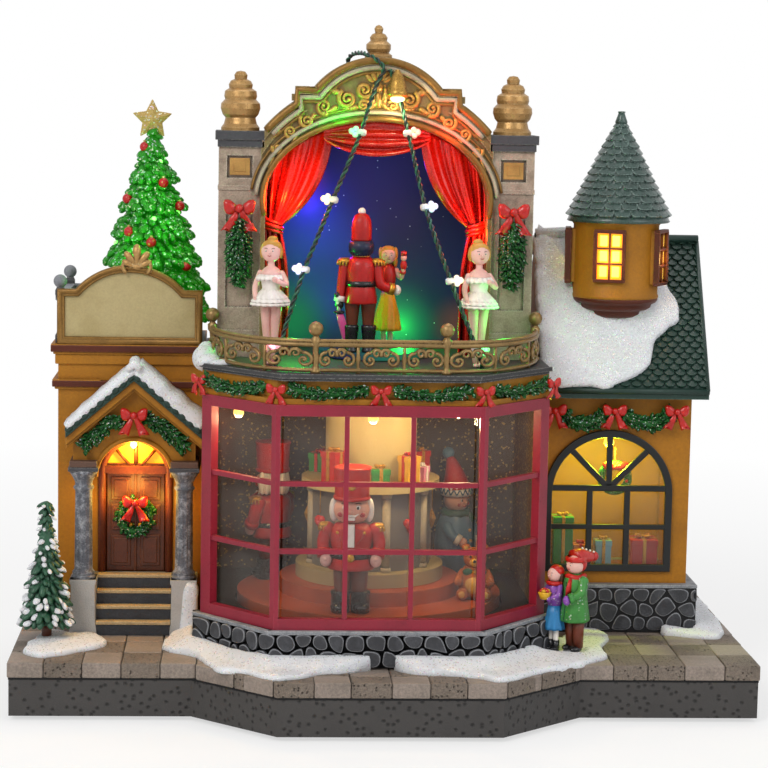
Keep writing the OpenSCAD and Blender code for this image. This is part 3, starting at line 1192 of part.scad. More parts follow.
// Drooping tiers of a tree, one turned shape with a lobed skirt left to its dressing
function tree_profile(h, r, n, trunk) = concat([[0, 0], [r * 0.22, 0], [r * 0.22, trunk]],
    [for (k = [0:n - 1]) let (a = k / n, b = (k + 1) / n, z0 = trunk + (h - trunk) * a, z1 = trunk + (h - trunk) * b)
        each [[r * (1 - a) * 0.99 + 1, z0], [r * (1 - a) + 1, z0 + 1.2], [max(r * (1 - b) * 0.72, 0.6), z1]]], [[0, h]]);
module roof_tree() color("green") translate([tree_x, tree_y, tree_z]) turned_part(tree_profile(tree_h, tree_r, 7, 9));
module tree_star() color("gold") translate([tree_x - 0.6, tree_y, tree_z + tree_h + star_r * 0.62]) {
    plate_xz(-1.6, 1.6) polygon([for (k = [0:9]) let (r = k % 2 == 0 ? star_r : star_r * 0.42) [r * sin(k * 36), r * cos(k * 36)]]);
    translate([0, 0, -star_r * 0.62]) cylinder(r = 1.2, h = star_r * 0.3);
}
module snowy_fir() color("darkgreen") translate([fir_x, fir_y, fir_z]) turned_part(tree_profile(fir_h, fir_r - 1, 6, fir_foot));

// Right house

function gable_profile(i) = [[-right_front + i, deck_z], [right_back - i, deck_z],
    [right_back - i, ridge_z - roof_drop - (right_d / 2 - i) * roof_slope], [ridge_y, ridge_z - roof_drop - i],
    [-right_front + i, ridge_z - roof_drop - (right_d / 2 - i) * roof_slope]];
module right_house() difference() {
    union() {
        color("goldenrod") plate_yz(right_x0, right_x1) polygon(gable_profile(0));
        color("slategray") block([right_x0, -right_front - 4, deck_z], [right_x1 + 4, right_back + 3, deck_z + right_plinth_h]);
    }
    plate_yz(right_x0 + house_wall, right_x1 - house_wall) polygon(gable_profile(house_wall));
    translate([window_x, 0, 0]) plate_xz(-right_front - 1, -right_front + house_wall + 1)
        arch_outline(window_w - 2, window_h - 2, window_z + 1);
}
module arched_window() color([0.07, 0.09, 0.08]) translate([window_x, 0, 0]) plate_xz(-right_front - 2, -right_front) {
    difference() {
        arch_outline(window_w, window_h, window_z);
        arch_outline(window_w - 2 * window_bar, window_h - 2 * window_bar, window_z + window_bar);
    }
    w = window_w / 2 - 1;
    hub = window_z + window_h - window_w / 2 + 2;
    translate([-w, hub - muntin]) square([2 * w, 2 * muntin]);
    translate([-w, window_z + 21]) square([2 * w, muntin]);
    for (m = [-1, 1]) translate([m * 8.5 - muntin / 2, window_z]) square([muntin, hub - window_z]);
    for (a = [-45, 0, 45]) translate([0, hub]) rotate([0, 0, a]) translate([-muntin / 2, 0]) square([muntin, w - 1]);
}
module window_gifts() {
    z = deck_z + right_plinth_h;
    color("saddlebrown") block([right_x0 + house_wall, 3, z], [right_x1 - house_wall, 22, z + 6]);
    color("limegreen") gift([window_x - 22, 11, z + 6], 12, 15, 6);
    color("orange") gift([window_x - 6, 11, z + 6], 10, 12, -8);
    color("red") gift([window_x + 12, 11, z + 6], 12, 12, 5);
}
function slope_point(side, u, out) =
    let (run = ridge_y - eave_y)
    [ridge_y + side * run * (1 - u), ridge_z - (1 - u) * run * roof_slope] + [side * roof_slope, 1] / norm([roof_slope, 1]) * out;
function shingle_line(side) = concat([slope_point(side, 0, 0)],
    [for (k = [1:shingle_rows - 1]) each [slope_point(side, k / shingle_rows, -shingle_t), slope_point(side, k / shingle_rows, 0)]]);
module right_roof() color([0.1, 0.24, 0.2])
    plate_yz(right_x0, right_x1 + 6) polygon(concat(
        shingle_line(-1), [[ridge_y, ridge_z]], turned(shingle_line(1)),
        [[ridge_y + ridge_y - eave_y, eave_z - roof_drop], [ridge_y, ridge_z - roof_drop], [eave_y, eave_z - roof_drop]]));
module roof_prism(lift) {
    plate_yz(right_x0 - 60, right_x1 + 60) polygon([[eave_y - 5, deck_z], [ridge_y * 2 - eave_y + 5, deck_z],
        [ridge_y * 2 - eave_y + 5, eave_z + lift - 5 * roof_slope], [ridge_y, ridge_z + lift], [eave_y - 5, eave_z + lift - 5 * roof_slope]]);
}
module turret() color("goldenrod") difference() {
    translate([turret_x, turret_y, turret_foot]) union() {
        cylinder(r = turret_r, h = turret_h);
        for (k = [0:3]) translate([0, 0, -2.9 * (k + 1)]) cylinder(r = turret_r - 1.6 - k * 3.6, h = 2.9);
        difference() {
            block([-12.5, -turret_r - 1, 7.6], [1.5, 0, 31]);
            block([-11, -turret_r - 2, 9], [0, -turret_r + 0.4, 29.6]);
        }
        block([-6, -turret_r - 0.8, 8], [-5, -turret_r + 2, 30.6]);
        for (z = [15.4, 22.4]) block([-12, -turret_r - 0.8, z], [1, -turret_r + 4, z + 1]);
        rotate([0, 0, 62]) difference() {
            block([-6.5, -turret_r - 3.6, 6], [6.5, -turret_r + 4, 31]);
            block([-4.6, -turret_r - 5, 8.4], [4.6, -turret_r - 2.4, 28.8]);
        }
    }
    roof_prism(0.02);
}
module turret_roof() color([0.1, 0.24, 0.2]) translate([turret_x + 0.8, turret_y, turret_foot + turret_h])
    turned_part(concat([[0, 0], [turret_r, 0], [cone_r, -2.6]],
        [for (k = [0:cone_rows - 1]) let (a = k / cone_rows, b = (k + 1) / cone_rows)
            each [[cone_r * (1 - a) + 0.5, cone_h * a - 1.4], [cone_r * (1 - b) + 0.05, cone_h * b - 1.6]]], [[0, cone_h]]));
// Snow, with a lobe at each place, its radius third as a share of snow_r
module snow_blobs(at, list) { for (b = list) translate([at[0] + b[0], at[1] + b[1], 0]) cylinder(r = b[2] * snow_r / 9, h = snow_t); }
function by_bay(list) = [for (b = list) [b[0] * bay_back_w, -b[1] * bay_front, b[2]]];
module snow_patches() color("white") {
    translate([0, 0, deck_z]) difference() {
        union() {
            snow_blobs([left_x0, side_y], [[-5.8, 26, 7], [4.2, 20, 8], [16.2, 22, 8], [24.2, 30, 6], [-7.8, 50, 5.5], [8.2, 30, 9], [-1.8, 36, 9]]);
            snow_blobs([stage_x, stage_y], by_bay([[-0.583, 0.417, 6], [-0.536, 0.547, 8], [-0.476, 0.69, 9], [-0.409, 0.863, 9], [-0.342, 1.036, 9],
                [-0.275, 1.18, 9], [-0.181, 1.237, 8], [-0.074, 1.209, 6], [0.087, 1.18, 6], [0.168, 1.223, 7.5], [0.261, 1.209, 9],
                [0.349, 1.122, 10], [0.422, 0.978, 10], [0.503, 0.835, 11], [0.583, 0.72, 11], [0.657, 0.662, 6]]));
            snow_blobs([right_x1, -right_front], [[10, -3, 6], [14, 9, 5.6], [12, 23, 6], [11, 39, 5], [12, 55, 5.6], [11, 69, 4]]);
        }
        translate([fir_x, fir_y, -1]) cylinder(r = (fir_r - 1) * 0.22 + fix_gap, h = 9);
        at_stage() translate([0, 0, -1]) linear_extrude(9) polygon(concat(bay_line(-plinth_out - 0.3), [[80, 60], [-80, 60]]));
        block([right_x0 - 9, -right_front - 4.3, -1], [right_x1 + 4.3, right_back + 4, 9]);
        block([left_x0 - 9, -porch_d - 0.3, -1], [left_x1, 70, 9]);
    }
    translate([porch_x, 0, 0]) plate_xz(-porch_d - 3.2, 0) difference() {
        polygon([[-gable_half - 0.3, gable_top - gable_half * gable_slope], [-gable_half, gable_top - gable_half * gable_slope + 4.4], [-2, gable_top + 5],
            [2, gable_top + 5], [gable_half, gable_top - gable_half * gable_slope + 4.4], [gable_half + 0.3, gable_top - gable_half * gable_slope]]);
        polygon([[-gable_half - 1, gable_top + 0.02 - (gable_half + 1) * gable_slope], [0, gable_top + 0.02],
            [gable_half + 1, gable_top + 0.02 - (gable_half + 1) * gable_slope]]);
    }
    difference() {
        a = atan(roof_slope);
        translate([0, ridge_y, ridge_z + 0.02]) rotate([a, 0, 0]) translate([right_x0, 0, 0])
            snow_blobs([0, 0], [[6, -8, 7], [16, -6, 7], [28, -8, 8], [10, -22, 10], [26, -24, 12], [12, -42, 12], [30, -44, 14],
                [8, -60, 9], [22, -62, 12], [38, -58, 9], [44, -34, 8], [51, -50, 6], [15, -70, 8], [8, -72, 8]]);
        translate([turret_x, turret_y, turret_foot - 12]) cylinder(r = turret_r + 0.4, h = turret_h + 12);
        translate([turret_x, turret_y, turret_foot - 12]) {
            rotate([0, 0, 62]) block([-7, -turret_r - 4, 0], [7, 0, 52]);
            block([-13, -turret_r - 1.6, 0], [2, 0, 52]);
        }
    }
}

// Light strings

module string_left() color("seagreen") wire(smooth_route(string_left_route, 6.4), wire_d / 2);
module string_right() color("seagreen") wire(smooth_route(string_right_route, 6.4), wire_d / 2);
module lamp(p, side) {
    s = lamp_r / 2.6;
    translate(p) rotate([0, 82 * side, 0])
        turned_part([[0, -2.6 * s], [1.7 * s, -2.1 * s], [2.6 * s, -0.5 * s], [2.5 * s, 0.9 * s], [1.4 * s, 2.3 * s], [1.3 * s, 5.6 * s], [0, 6 * s]]);
}
module string_lamps() {
    color("white") for (p = string_left_lamps) lamp(p, -1);
    color("white") for (p = string_right_lamps) lamp(p, 1);
    color("darkgoldenrod") translate(spot_place)
        turned_part([[0, -2.2], [1.6, -1.8], [2.3, 0], [3.6, 0], [3.2, 5], [2.9, 9], [1.3, 9.6], [1.2, 12], [0, 12.4]]);
}

base_casting();
bottom_cover();
rubber_feet();
screws();
battery_tray();
battery_contacts();
battery_door();
speaker();
circuit_board();
gear_motor();
motor_pinion();
main_gear();
main_shaft();
shaft_bushes();
adapter_socket();
mode_switch();
volume_wheel();
bay_plinth();
middle_house();
bay_frame();
window_panes();
garlands();
ribbon_bows();
balcony_slab();
balcony_railing();
stage_house();
rear_cover();
stage_columns();
gold_finials();
proscenium_arch();
stage_curtains();
stage_backdrop();
ballet_dancers();
string_left();
string_right();
string_lamps();
house_bulbs();
left_house();
porch();
entry_steps();
double_door();
fanlight();
sign_board();
roof_balustrade();
roof_tree();
tree_star();
snowy_fir();
right_house();
arched_window();
window_gifts();
right_roof();
turret();
turret_roof();
snow_patches();
passers_by();
carousel_tiers();
toy_figures();
shelf_gifts();
stage_disc();
dancing_couple();
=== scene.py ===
import bpy
import bmesh
import random
from math import acos, asin, cos, degrees, exp, hypot, pi, radians, sin, sqrt
from mathutils import Matrix, Vector, geometry, noise


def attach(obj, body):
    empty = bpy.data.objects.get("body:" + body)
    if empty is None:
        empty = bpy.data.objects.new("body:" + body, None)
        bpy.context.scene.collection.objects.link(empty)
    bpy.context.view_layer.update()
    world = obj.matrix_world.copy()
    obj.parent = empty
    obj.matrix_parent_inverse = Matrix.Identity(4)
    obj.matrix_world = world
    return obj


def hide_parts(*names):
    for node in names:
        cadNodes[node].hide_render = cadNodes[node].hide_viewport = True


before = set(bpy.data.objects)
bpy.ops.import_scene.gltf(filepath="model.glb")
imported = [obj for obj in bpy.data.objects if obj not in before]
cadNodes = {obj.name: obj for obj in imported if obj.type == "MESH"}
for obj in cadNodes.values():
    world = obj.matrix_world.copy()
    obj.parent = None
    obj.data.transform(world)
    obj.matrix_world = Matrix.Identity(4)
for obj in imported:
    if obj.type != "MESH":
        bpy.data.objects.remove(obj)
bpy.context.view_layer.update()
print("frame loaded:", len(cadNodes), "solids")

mm = 0.001
tiny = 1e-6
stageAt = Vector((-5, -4, 0))  # the shaft, where the carousel and the stage turn


def lerp(a, b, t):
    return a + (b - a) * t


def curvePoint(p, i, t):
    a, b, c, d = p[max(i - 1, 0)], p[i], p[i + 1], p[min(i + 2, len(p) - 1)]
    return 0.5 * (2 * b + (c - a) * t + (2 * a - 5 * b + 4 * c - d) * t * t + (3 * b - a - 3 * c + d) * t ** 3)


def smoothLine(points, n=4):
    # rounder line through the given points
    p = [Vector(q) for q in points]
    out = [curvePoint(p, i, k / n) for i in range(len(p) - 1) for k in range(n)]
    return out + [p[-1].copy()]


class Shape:
    # collects the surfaces of one piece, in millimetres
    def __init__(self, name):
        self.name, self.verts, self.faces, self.mats, self.slots, self.soft = name, [], [], [], [], []
        self.move((0, 0, 0))

    def move(self, at, degrees=0, size=1.0):
        # what is added next stands here, turned about Z
        self.spot, self.turned, self.size = Vector(at), around("Z", degrees), size
        return self

    def add(self, verts, faces, mat, smooth=True):
        if mat not in self.mats:
            self.mats.append(mat)
        base = len(self.verts)
        self.verts += [self.turned @ (Vector(v) * self.size) + self.spot for v in verts]
        self.faces += [[base + i for i in f] for f in faces]
        self.slots += [self.mats.index(mat)] * len(faces)
        self.soft += [smooth] * len(faces)
        return self

    def block(self, lo, hi, mat):
        (x0, y0, z0), (x1, y1, z1) = lo, hi
        verts = [(x, y, z) for z in (z0, z1) for x, y in ((x0, y0), (x1, y0), (x1, y1), (x0, y1))]
        return self.add(verts, [(0, 3, 2, 1), (4, 5, 6, 7), (0, 1, 5, 4), (1, 2, 6, 5), (2, 3, 7, 6), (3, 0, 4, 7)], mat, False)

    def lathe(self, profile, at, mat, steps=32, turn=None, flute=None, smooth=True):
        # profile of (radius, height), flute(angle, height) scales the radius
        verts, rings, faces = [], [], []
        for r, z in profile:
            rings.append(range(len(verts), len(verts) + (steps if r > tiny else 1)))
            for k in range(len(rings[-1])):
                a = 2 * pi * k / steps
                s = r * (flute(a, z) if flute else 1) if r > tiny else 0
                verts.append(Vector((s * cos(a), s * sin(a), z)))
        for a, b in zip(rings, rings[1:]):
            for k in range(steps):
                k1 = (k + 1) % steps
                face = tuple(dict.fromkeys((a[k % len(a)], a[k1 % len(a)], b[k1 % len(b)], b[k % len(b)])))
                if len(face) > 2:
                    faces.append(face)
        m = turn or Matrix.Identity(3)
        return self.add([m @ v + Vector(at) for v in verts], faces, mat, smooth)

    def tube(self, points, radii, mat, steps=10, flat=1.0, up=None):
        # round bar along points; radii a number or a list, flat squeezes it across
        p = [Vector(q) for q in points]
        n = len(p)
        r = list(radii) if hasattr(radii, "__len__") else [radii] * n
        verts, side = [], None
        for i in range(n):
            t = (p[min(i + 1, n - 1)] - p[max(i - 1, 0)]).normalized()
            if side is None:
                guess = Vector(up) if up else (Vector((0, 0, 1)) if abs(t.z) < 0.9 else Vector((1, 0, 0)))
                side = t.cross(guess).normalized()
            side = (side - t * side.dot(t)).normalized()
            other = t.cross(side)
            for k in range(steps):
                a = 2 * pi * k / steps
                verts.append(p[i] + side * (r[i] * cos(a)) + other * (r[i] * flat * sin(a)))
        faces, last = gridFaces(n - 1, steps), (n - 1) * steps
        for k in range(steps):
            k1 = (k + 1) % steps
            faces += [(n * steps, k1, k), (n * steps + 1, last + k, last + k1)]
        return self.add(verts + [p[0], p[-1]], faces, mat)

    def ball(self, at, radii, mat, rings=10, steps=16, turn=None):
        r = Vector(radii if hasattr(radii, "__len__") else (radii, radii, radii))
        verts, faces = [Vector((0, 0, -1))], []
        for i in range(1, rings):
            b = -pi / 2 + pi * i / rings
            verts += [Vector((cos(b) * cos(a), cos(b) * sin(a), sin(b))) for a in (2 * pi * k / steps for k in range(steps))]
        verts.append(Vector((0, 0, 1)))
        last = len(verts) - 1
        for k in range(steps):
            k1 = (k + 1) % steps
            faces += [(0, 1 + k1, 1 + k), (last, last - steps + k, last - steps + k1)]
            faces += [(a + k, a + k1, a + steps + k1, a + steps + k) for a in range(1, 1 + (rings - 2) * steps, steps)]
        m = turn or Matrix.Identity(3)
        return self.add([m @ Vector((v.x * r.x, v.y * r.y, v.z * r.z)) + Vector(at) for v in verts], faces, mat)

    def plate(self, outline, y0, y1, mat, plane="xz", taper=0.0):
        # prism of a flat outline; plane xz runs along Y, yz along X, xy along Z
        n = len(outline)
        cx, cz = sum(p[0] for p in outline) / n, sum(p[1] for p in outline) / n
        place = {"xz": lambda p, d: (p[0], d, p[1]), "yz": lambda p, d: (d, p[0], p[1]), "xy": lambda p, d: (p[0], p[1], d)}[plane]
        front = [(cx + (p[0] - cx) * (1 - taper), cz + (p[1] - cz) * (1 - taper)) for p in outline]
        verts = [place(p, y1) for p in outline] + [place(p, y0) for p in front]
        faces = [tuple(range(n)), tuple(range(2 * n - 1, n - 1, -1))] + [(i, n + i, n + (i + 1) % n, (i + 1) % n) for i in range(n)]
        return self.add(verts, faces, mat, False)

    def build(self, body="base", slot=None, replaces=(), bevel=0, segments=2, angle=35, outward=True):
        mesh = bpy.data.meshes.new(self.name)
        mesh.from_pydata([v * mm for v in self.verts], [], self.faces)
        for m in self.mats:
            mesh.materials.append(m)
        mesh.polygons.foreach_set("material_index", self.slots)
        mesh.polygons.foreach_set("use_smooth", self.soft)
        cleanMesh(mesh, outward)
        mesh.update()
        obj = newObject(self.name, mesh)
        if bevel:
            b = obj.modifiers.new("edge", "BEVEL")
            b.width, b.segments, b.limit_method, b.angle_limit = bevel * mm, segments, "ANGLE", radians(angle)
            b.harden_normals = False
        return dress(obj, body, replaces)


def cleanMesh(mesh, outward=True):
    bm = bmesh.new()
    bm.from_mesh(mesh)
    bmesh.ops.remove_doubles(bm, verts=bm.verts, dist=1e-7)
    if outward:
        bmesh.ops.recalc_face_normals(bm, faces=bm.faces)
    bm.to_mesh(mesh)
    bm.free()


def newObject(name, data):
    obj = bpy.data.objects.new(name, data)
    bpy.context.scene.collection.objects.link(obj)
    return obj


def dress(obj, body, replaces):
    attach(obj, body)
    if replaces:
        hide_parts(*replaces)
    return obj


def gridFaces(rows, n, closed=True, total=0):
    # faces between rows of n points each; total joins the last row to the first
    total = total or rows + 1
    return [(i * n + j, i * n + (j + 1) % n, (i + 1) % total * n + (j + 1) % n, (i + 1) % total * n + j)
            for i in range(rows) for j in range(n if closed else n - 1)]


def flatten(rows):
    return [v for row in rows for v in row]


def around(axis, degrees):
    return Matrix.Rotation(radians(degrees), 3, axis)


def arcLine(cx, cz, r, a0, a1, n):
    # points of an arc, angles in degrees from +X towards +Z
    return [(cx + r * cos(radians(lerp(a0, a1, k / n))), cz + r * sin(radians(lerp(a0, a1, k / n)))) for k in range(n + 1)]


def put(tree, kind, inputs=None, **settings):
    # one node of a tree; an input takes a value, another node or one of its outputs
    node = tree.nodes.new(kind)
    for key, value in settings.items():
        setattr(node, key, value)
    for key, value in (inputs or {}).items():
        fill(tree, node.inputs[key], value)
    return node


def fill(tree, socket, value):
    value = value.outputs[0] if hasattr(value, "outputs") else value
    if hasattr(value, "links"):
        tree.links.new(value, socket)
    else:
        socket.default_value = value


def calc(tree, operation, *values):
    return put(tree, "ShaderNodeMath", dict(enumerate(values)), operation=operation).outputs[0]


def remap(tree, value, low, high, to=(0, 1), **settings):
    return put(tree, "ShaderNodeMapRange", {0: value, 1: low, 2: high, 3: to[0], 4: to[1]}, **settings).outputs[0]


def mixColor(tree, share, a, b):
    a, b = ((*v, 1) if isinstance(v, tuple) else v for v in (a, b))
    return put(tree, "ShaderNodeMix", {0: share, 6: a, 7: b}, data_type="RGBA").outputs[2]


def objectPoint(tree):
    return put(tree, "ShaderNodeTexCoord").outputs["Object"]


def newGroup(name, inputs, outputs):
    t = bpy.data.node_groups.new(name, "ShaderNodeTree")
    for key, value in inputs.items():
        kind = "NodeSocketColor" if isinstance(value, tuple) else "NodeSocketFloat"
        t.interface.new_socket(key, in_out="INPUT", socket_type=kind).default_value = value
    for key in outputs:
        t.interface.new_socket(key, in_out="OUTPUT", socket_type="NodeSocketColor" if key == "Color" else "NodeSocketFloat")
    return t, t.nodes.new("NodeGroupInput").outputs, t.nodes.new("NodeGroupOutput").inputs


def newMaterial(name):
    m = bpy.data.materials.new(name)
    m.use_nodes = True
    return m, m.node_tree, m.node_tree.nodes["Principled BSDF"].inputs


def makeBrushedPaint():
    # tone drift, dark wash in soft patches and fine brush grain, all over a painted casting
    t, given, result = newGroup("brushedPaint", {"Color": (0.5, 0.5, 0.5, 1), "Wash": (0.1, 0.08, 0.05, 1), "Wash amount": 0.4,
        "Drift": 0.15, "Patch size": 0.012, "Grain size": 0.0009}, ("Color", "Height", "Grain"))
    pos = objectPoint(t)

    def noiseAt(size, detail, rough=0.55):
        scale = calc(t, "DIVIDE", 1, given[size])
        return put(t, "ShaderNodeTexNoise", {"Vector": pos, "Scale": scale, "Detail": detail, "Roughness": rough}).outputs["Fac"]
    patch, grain = noiseAt("Patch size", 4), noiseAt("Grain size", 3, 0.7)
    amount = calc(t, "MULTIPLY", remap(t, patch, 0.46, 0.78), given["Wash amount"])
    wash = mixColor(t, amount, given["Color"], given["Wash"])
    tone = remap(t, grain, 0.3, 0.7, (-1, 1))
    shift = calc(t, "ADD", calc(t, "MULTIPLY", tone, given["Drift"]), 1)
    fill(t, result["Color"], put(t, "ShaderNodeVectorMath", {0: wash, "Scale": shift}, operation="SCALE"))
    fill(t, result["Height"], grain)
    fill(t, result["Grain"], tone)
    return t


def makeGlitter():
    # flakes of glitter: a mask, a pastel colour and a bump that catches the light
    t, given, result = newGroup("glitter", {"Flake size": 0.0006, "Share": 0.3}, ("Mask", "Color", "Height"))
    scale = calc(t, "DIVIDE", 1, given["Flake size"])
    cells = put(t, "ShaderNodeTexVoronoi", {"Randomness": 1, "Scale": scale, "Vector": objectPoint(t)}).outputs
    parts = put(t, "ShaderNodeSeparateColor", {0: cells["Color"]}).outputs
    fill(t, result["Mask"], calc(t, "LESS_THAN", parts[0], given["Share"]))
    fill(t, result["Color"], put(t, "ShaderNodeCombineColor", {0: parts[1], 1: 0.28, 2: 1}, mode="HSV"))
    fill(t, result["Height"], calc(t, "MULTIPLY", parts[2], cells["Distance"]))
    return t


brushedPaint = makeBrushedPaint()
glitterGroup = makeGlitter()


def painted(name, color, wash=((0.06, 0.04, 0.03), 0.35), drift=0.1, patch=0.014, grain=0.0009, rough=0.5, metal=0.0, bump=0.1, recess=None,
        edge=None, coat=0.0, coatRough=0.2, glow=None, glitter=None, speck=0.0, upright=False, subsurface=0.0):
    # hand-painted cast resin: wash is thin dark paint; recess darkens hollows found by ambient occlusion, painted shade
    # together with paint settled there;
    # edge lightens corners found by the bevel node, light paint brushed over them and on glossy finishes such as the
    # roof tiles a painted highlight;
    # each with its colour, amount and size in metres; glow has colour and strength, glitter has share and size
    m, t, b = newMaterial(name)
    g = put(t, "ShaderNodeGroup", {"Color": (*tint(color), 1), "Wash": (*tint(wash[0]), 1), "Wash amount": wash[1], "Drift": drift,
        "Patch size": patch, "Grain size": grain}, node_tree=brushedPaint).outputs
    out, height = g["Color"], g["Height"]
    if recess:
        # painted shade: the colour darkens in hollows by ambient occlusion, together with paint settled there
        hollow = put(t, "ShaderNodeAmbientOcclusion", {"Distance": recess[2]}, samples=6, only_local=True).outputs["AO"]
        out = mixColor(t, remap(t, hollow, 0.85, 0.35, (0, recess[1])), out, tint(recess[0]))
    if edge:
        # lighter corners by the bevel node: brushed-on light paint, and on glossy finishes a painted highlight
        bevel, flat = put(t, "ShaderNodeBevel", {"Radius": edge[2]}, samples=4), put(t, "ShaderNodeNewGeometry").outputs["Normal"]
        bend = put(t, "ShaderNodeVectorMath", {0: bevel, 1: flat}, operation="DOT_PRODUCT").outputs["Value"]
        edgePaintAndHighlight = calc(t, "MULTIPLY", remap(t, bend, 0.985, 0.86, (0, edge[1])), remap(t, g["Grain"], -0.6, 0.5))
        out = mixColor(t, edgePaintAndHighlight, out, tint(edge[0]))
    if speck:
        # small pits, as in poured stone; on upright walls across is |x| + 0.9 y and up is z
        pos = objectPoint(t)
        if upright:
            xyz = put(t, "ShaderNodeSeparateXYZ", {0: pos}).outputs
            across = calc(t, "MULTIPLY_ADD", xyz["Y"], 0.9, calc(t, "ABSOLUTE", xyz["X"]))
            pos = put(t, "ShaderNodeCombineXYZ", {0: across, 1: xyz["Z"]})
        cells = put(t, "ShaderNodeTexVoronoi", {"Scale": 1 / speck, "Randomness": 1, "Vector": pos},
            voronoi_dimensions="2D" if upright else "3D").outputs
        few = calc(t, "LESS_THAN", put(t, "ShaderNodeSeparateColor", {0: cells["Color"]}), 0.62)
        pits = calc(t, "MULTIPLY", calc(t, "SUBTRACT", 1, remap(t, cells["Distance"], 0, 0.32)), few)
        out = mixColor(t, pits, out, tuple(c * 0.25 for c in tint(color)))
        height = calc(t, "MULTIPLY_ADD", pits, -3, height)
    if glitter:
        f = put(t, "ShaderNodeGroup", {"Flake size": glitter[1], "Share": glitter[0]}, node_tree=glitterGroup).outputs
        out = mixColor(t, f["Mask"], out, mixColor(t, 0.55, out, f["Color"]))
        height = calc(t, "MULTIPLY_ADD", f["Height"], 1.2, height)
        fill(t, b["Metallic"], calc(t, "MULTIPLY", f["Mask"], 0.3))
        fill(t, b["Roughness"], remap(t, f["Mask"], 0, 1, (rough, 0.22)))
    else:
        fill(t, b["Metallic"], metal)
        fill(t, b["Roughness"], remap(t, g["Grain"], -1, 1, (max(rough - 0.08, 0.03), min(rough + 0.1, 1))))
    fill(t, b["Base Color"], out)
    if bump:
        fill(t, b["Normal"], put(t, "ShaderNodeBump", {"Strength": 1, "Distance": bump * 0.0006, "Height": height}))
    more = {"Specular IOR Level": 0.32, "Coat Weight": coat, "Coat Roughness": coatRough}
    if subsurface:
        more.update({"Subsurface Weight": subsurface, "Subsurface Radius": (0.004, 0.002, 0.001), "Subsurface Scale": 1})
    if glow:
        more.update({"Emission Color": (*tint(glow[0]), 1), "Emission Strength": glow[1]})
    for key, value in more.items():
        fill(t, b[key], value)
    return m


def tint(code):
    # a hex colour as the linear numbers that Blender wants
    if not isinstance(code, str):
        return code
    c = [int(code[i:i + 2], 16) / 255 for i in (0, 2, 4)]
    return tuple(x / 12.92 if x <= 0.04045 else ((x + 0.055) / 1.055) ** 2.4 for x in c)


cameraView = {"place": (-59.82, -1038.59, 263.34), "focal": 2345.26, "pitch": 6.980, "yaw": -3.324, "roll": -1.065}


def makeCamera():
    v = cameraView
    data = bpy.data.cameras.new("camera")
    data.sensor_fit, data.sensor_width, data.lens = "HORIZONTAL", 36, 36 * v["focal"] / 768
    data.clip_start, data.clip_end = 0.05, 30
    p, y, r = (radians(v[k]) for k in ("pitch", "yaw", "roll"))
    forward = Vector((-sin(y) * cos(p), cos(y) * cos(p), -sin(p)))
    right = forward.cross(Vector((0, 0, 1))).normalized()
    down = forward.cross(right)
    right, down = right * cos(r) + down * sin(r), right * -sin(r) + down * cos(r)
    m = Matrix((right, -down, -forward)).transposed().to_4x4()
    m.translation = Vector(v["place"]) * mm
    cam = newObject("camera", data)
    cam.matrix_world = m
    bpy.context.scene.camera = cam


studio = {"key": 11.0, "fill": 5.0, "top": 5.5, "world": 0.42}


def areaLamp(name, place, aim, size, power, color=(1, 1, 1)):
    data = bpy.data.lights.new(name, "AREA")
    data.shape, data.size, data.energy, data.color = "DISK", size, power, color
    lamp = newObject(name, data)
    lamp.location = place
    lamp.rotation_mode = "QUATERNION"
    lamp.rotation_quaternion = (Vector(aim) - Vector(place)).to_track_quat("-Z", "Y")


def pointLamp(name, place, power, color, size=2.0):
    data = bpy.data.lights.new(name, "POINT")
    data.energy, data.color, data.shadow_soft_size = power, color, size * mm
    newObject(name, data).location = Vector(place) * mm


def makeStudio():
    areaLamp("keyLamp", (-0.75, -1.05, 1.05), (0, 0, 0.12), 0.7, studio["key"], (1.0, 0.98, 0.95))
    areaLamp("fillLamp", (1.0, -0.95, 0.75), (0, 0, 0.12), 0.9, studio["fill"], (0.95, 0.97, 1.0))
    areaLamp("topLamp", (0.1, 0.35, 1.5), (0, 0, 0.1), 0.9, studio["top"])
    world = bpy.data.worlds.new("studio")
    bpy.context.scene.world = world
    world.use_nodes = True
    t = world.node_tree
    ray, back = put(t, "ShaderNodeLightPath").outputs, t.nodes["Background"].inputs
    seen = calc(t, "MAXIMUM", ray["Is Camera Ray"], ray["Is Transmission Ray"])
    both = calc(t, "MAXIMUM", seen, calc(t, "MULTIPLY", ray["Is Glossy Ray"], 0.75))
    fill(t, back["Strength"], remap(t, both, 0, 1, (studio["world"], 1)))
    fill(t, back["Color"], (1, 1, 1, 1))
    mesh = bpy.data.meshes.new("floor")
    mesh.from_pydata([(-6, -6, 0), (6, -6, 0), (6, 6, 0), (-6, 6, 0)], [], [(0, 1, 2, 3)])
    pale, t, b = newMaterial("paleFloor")
    fill(t, b["Base Color"], (0.9, 0.9, 0.9, 1))
    fill(t, b["Roughness"], 0.9)
    far = put(t, "ShaderNodeVectorMath", {0: objectPoint(t)}, operation="LENGTH").outputs["Value"]
    lift = calc(t, "MULTIPLY", put(t, "ShaderNodeLightPath").outputs["Is Camera Ray"], remap(t, far, 0.24, 0.75, (0.62, 1)))
    mix = put(t, "ShaderNodeMixShader", {0: lift, 1: t.nodes["Principled BSDF"], 2: put(t, "ShaderNodeEmission")})
    fill(t, t.nodes["Material Output"].inputs["Surface"], mix)
    mesh.materials.append(pale)
    newObject("floor", mesh)
    bpy.context.scene.view_settings.view_transform = "Standard"


makeCamera()
makeStudio()
print("camera and studio made")


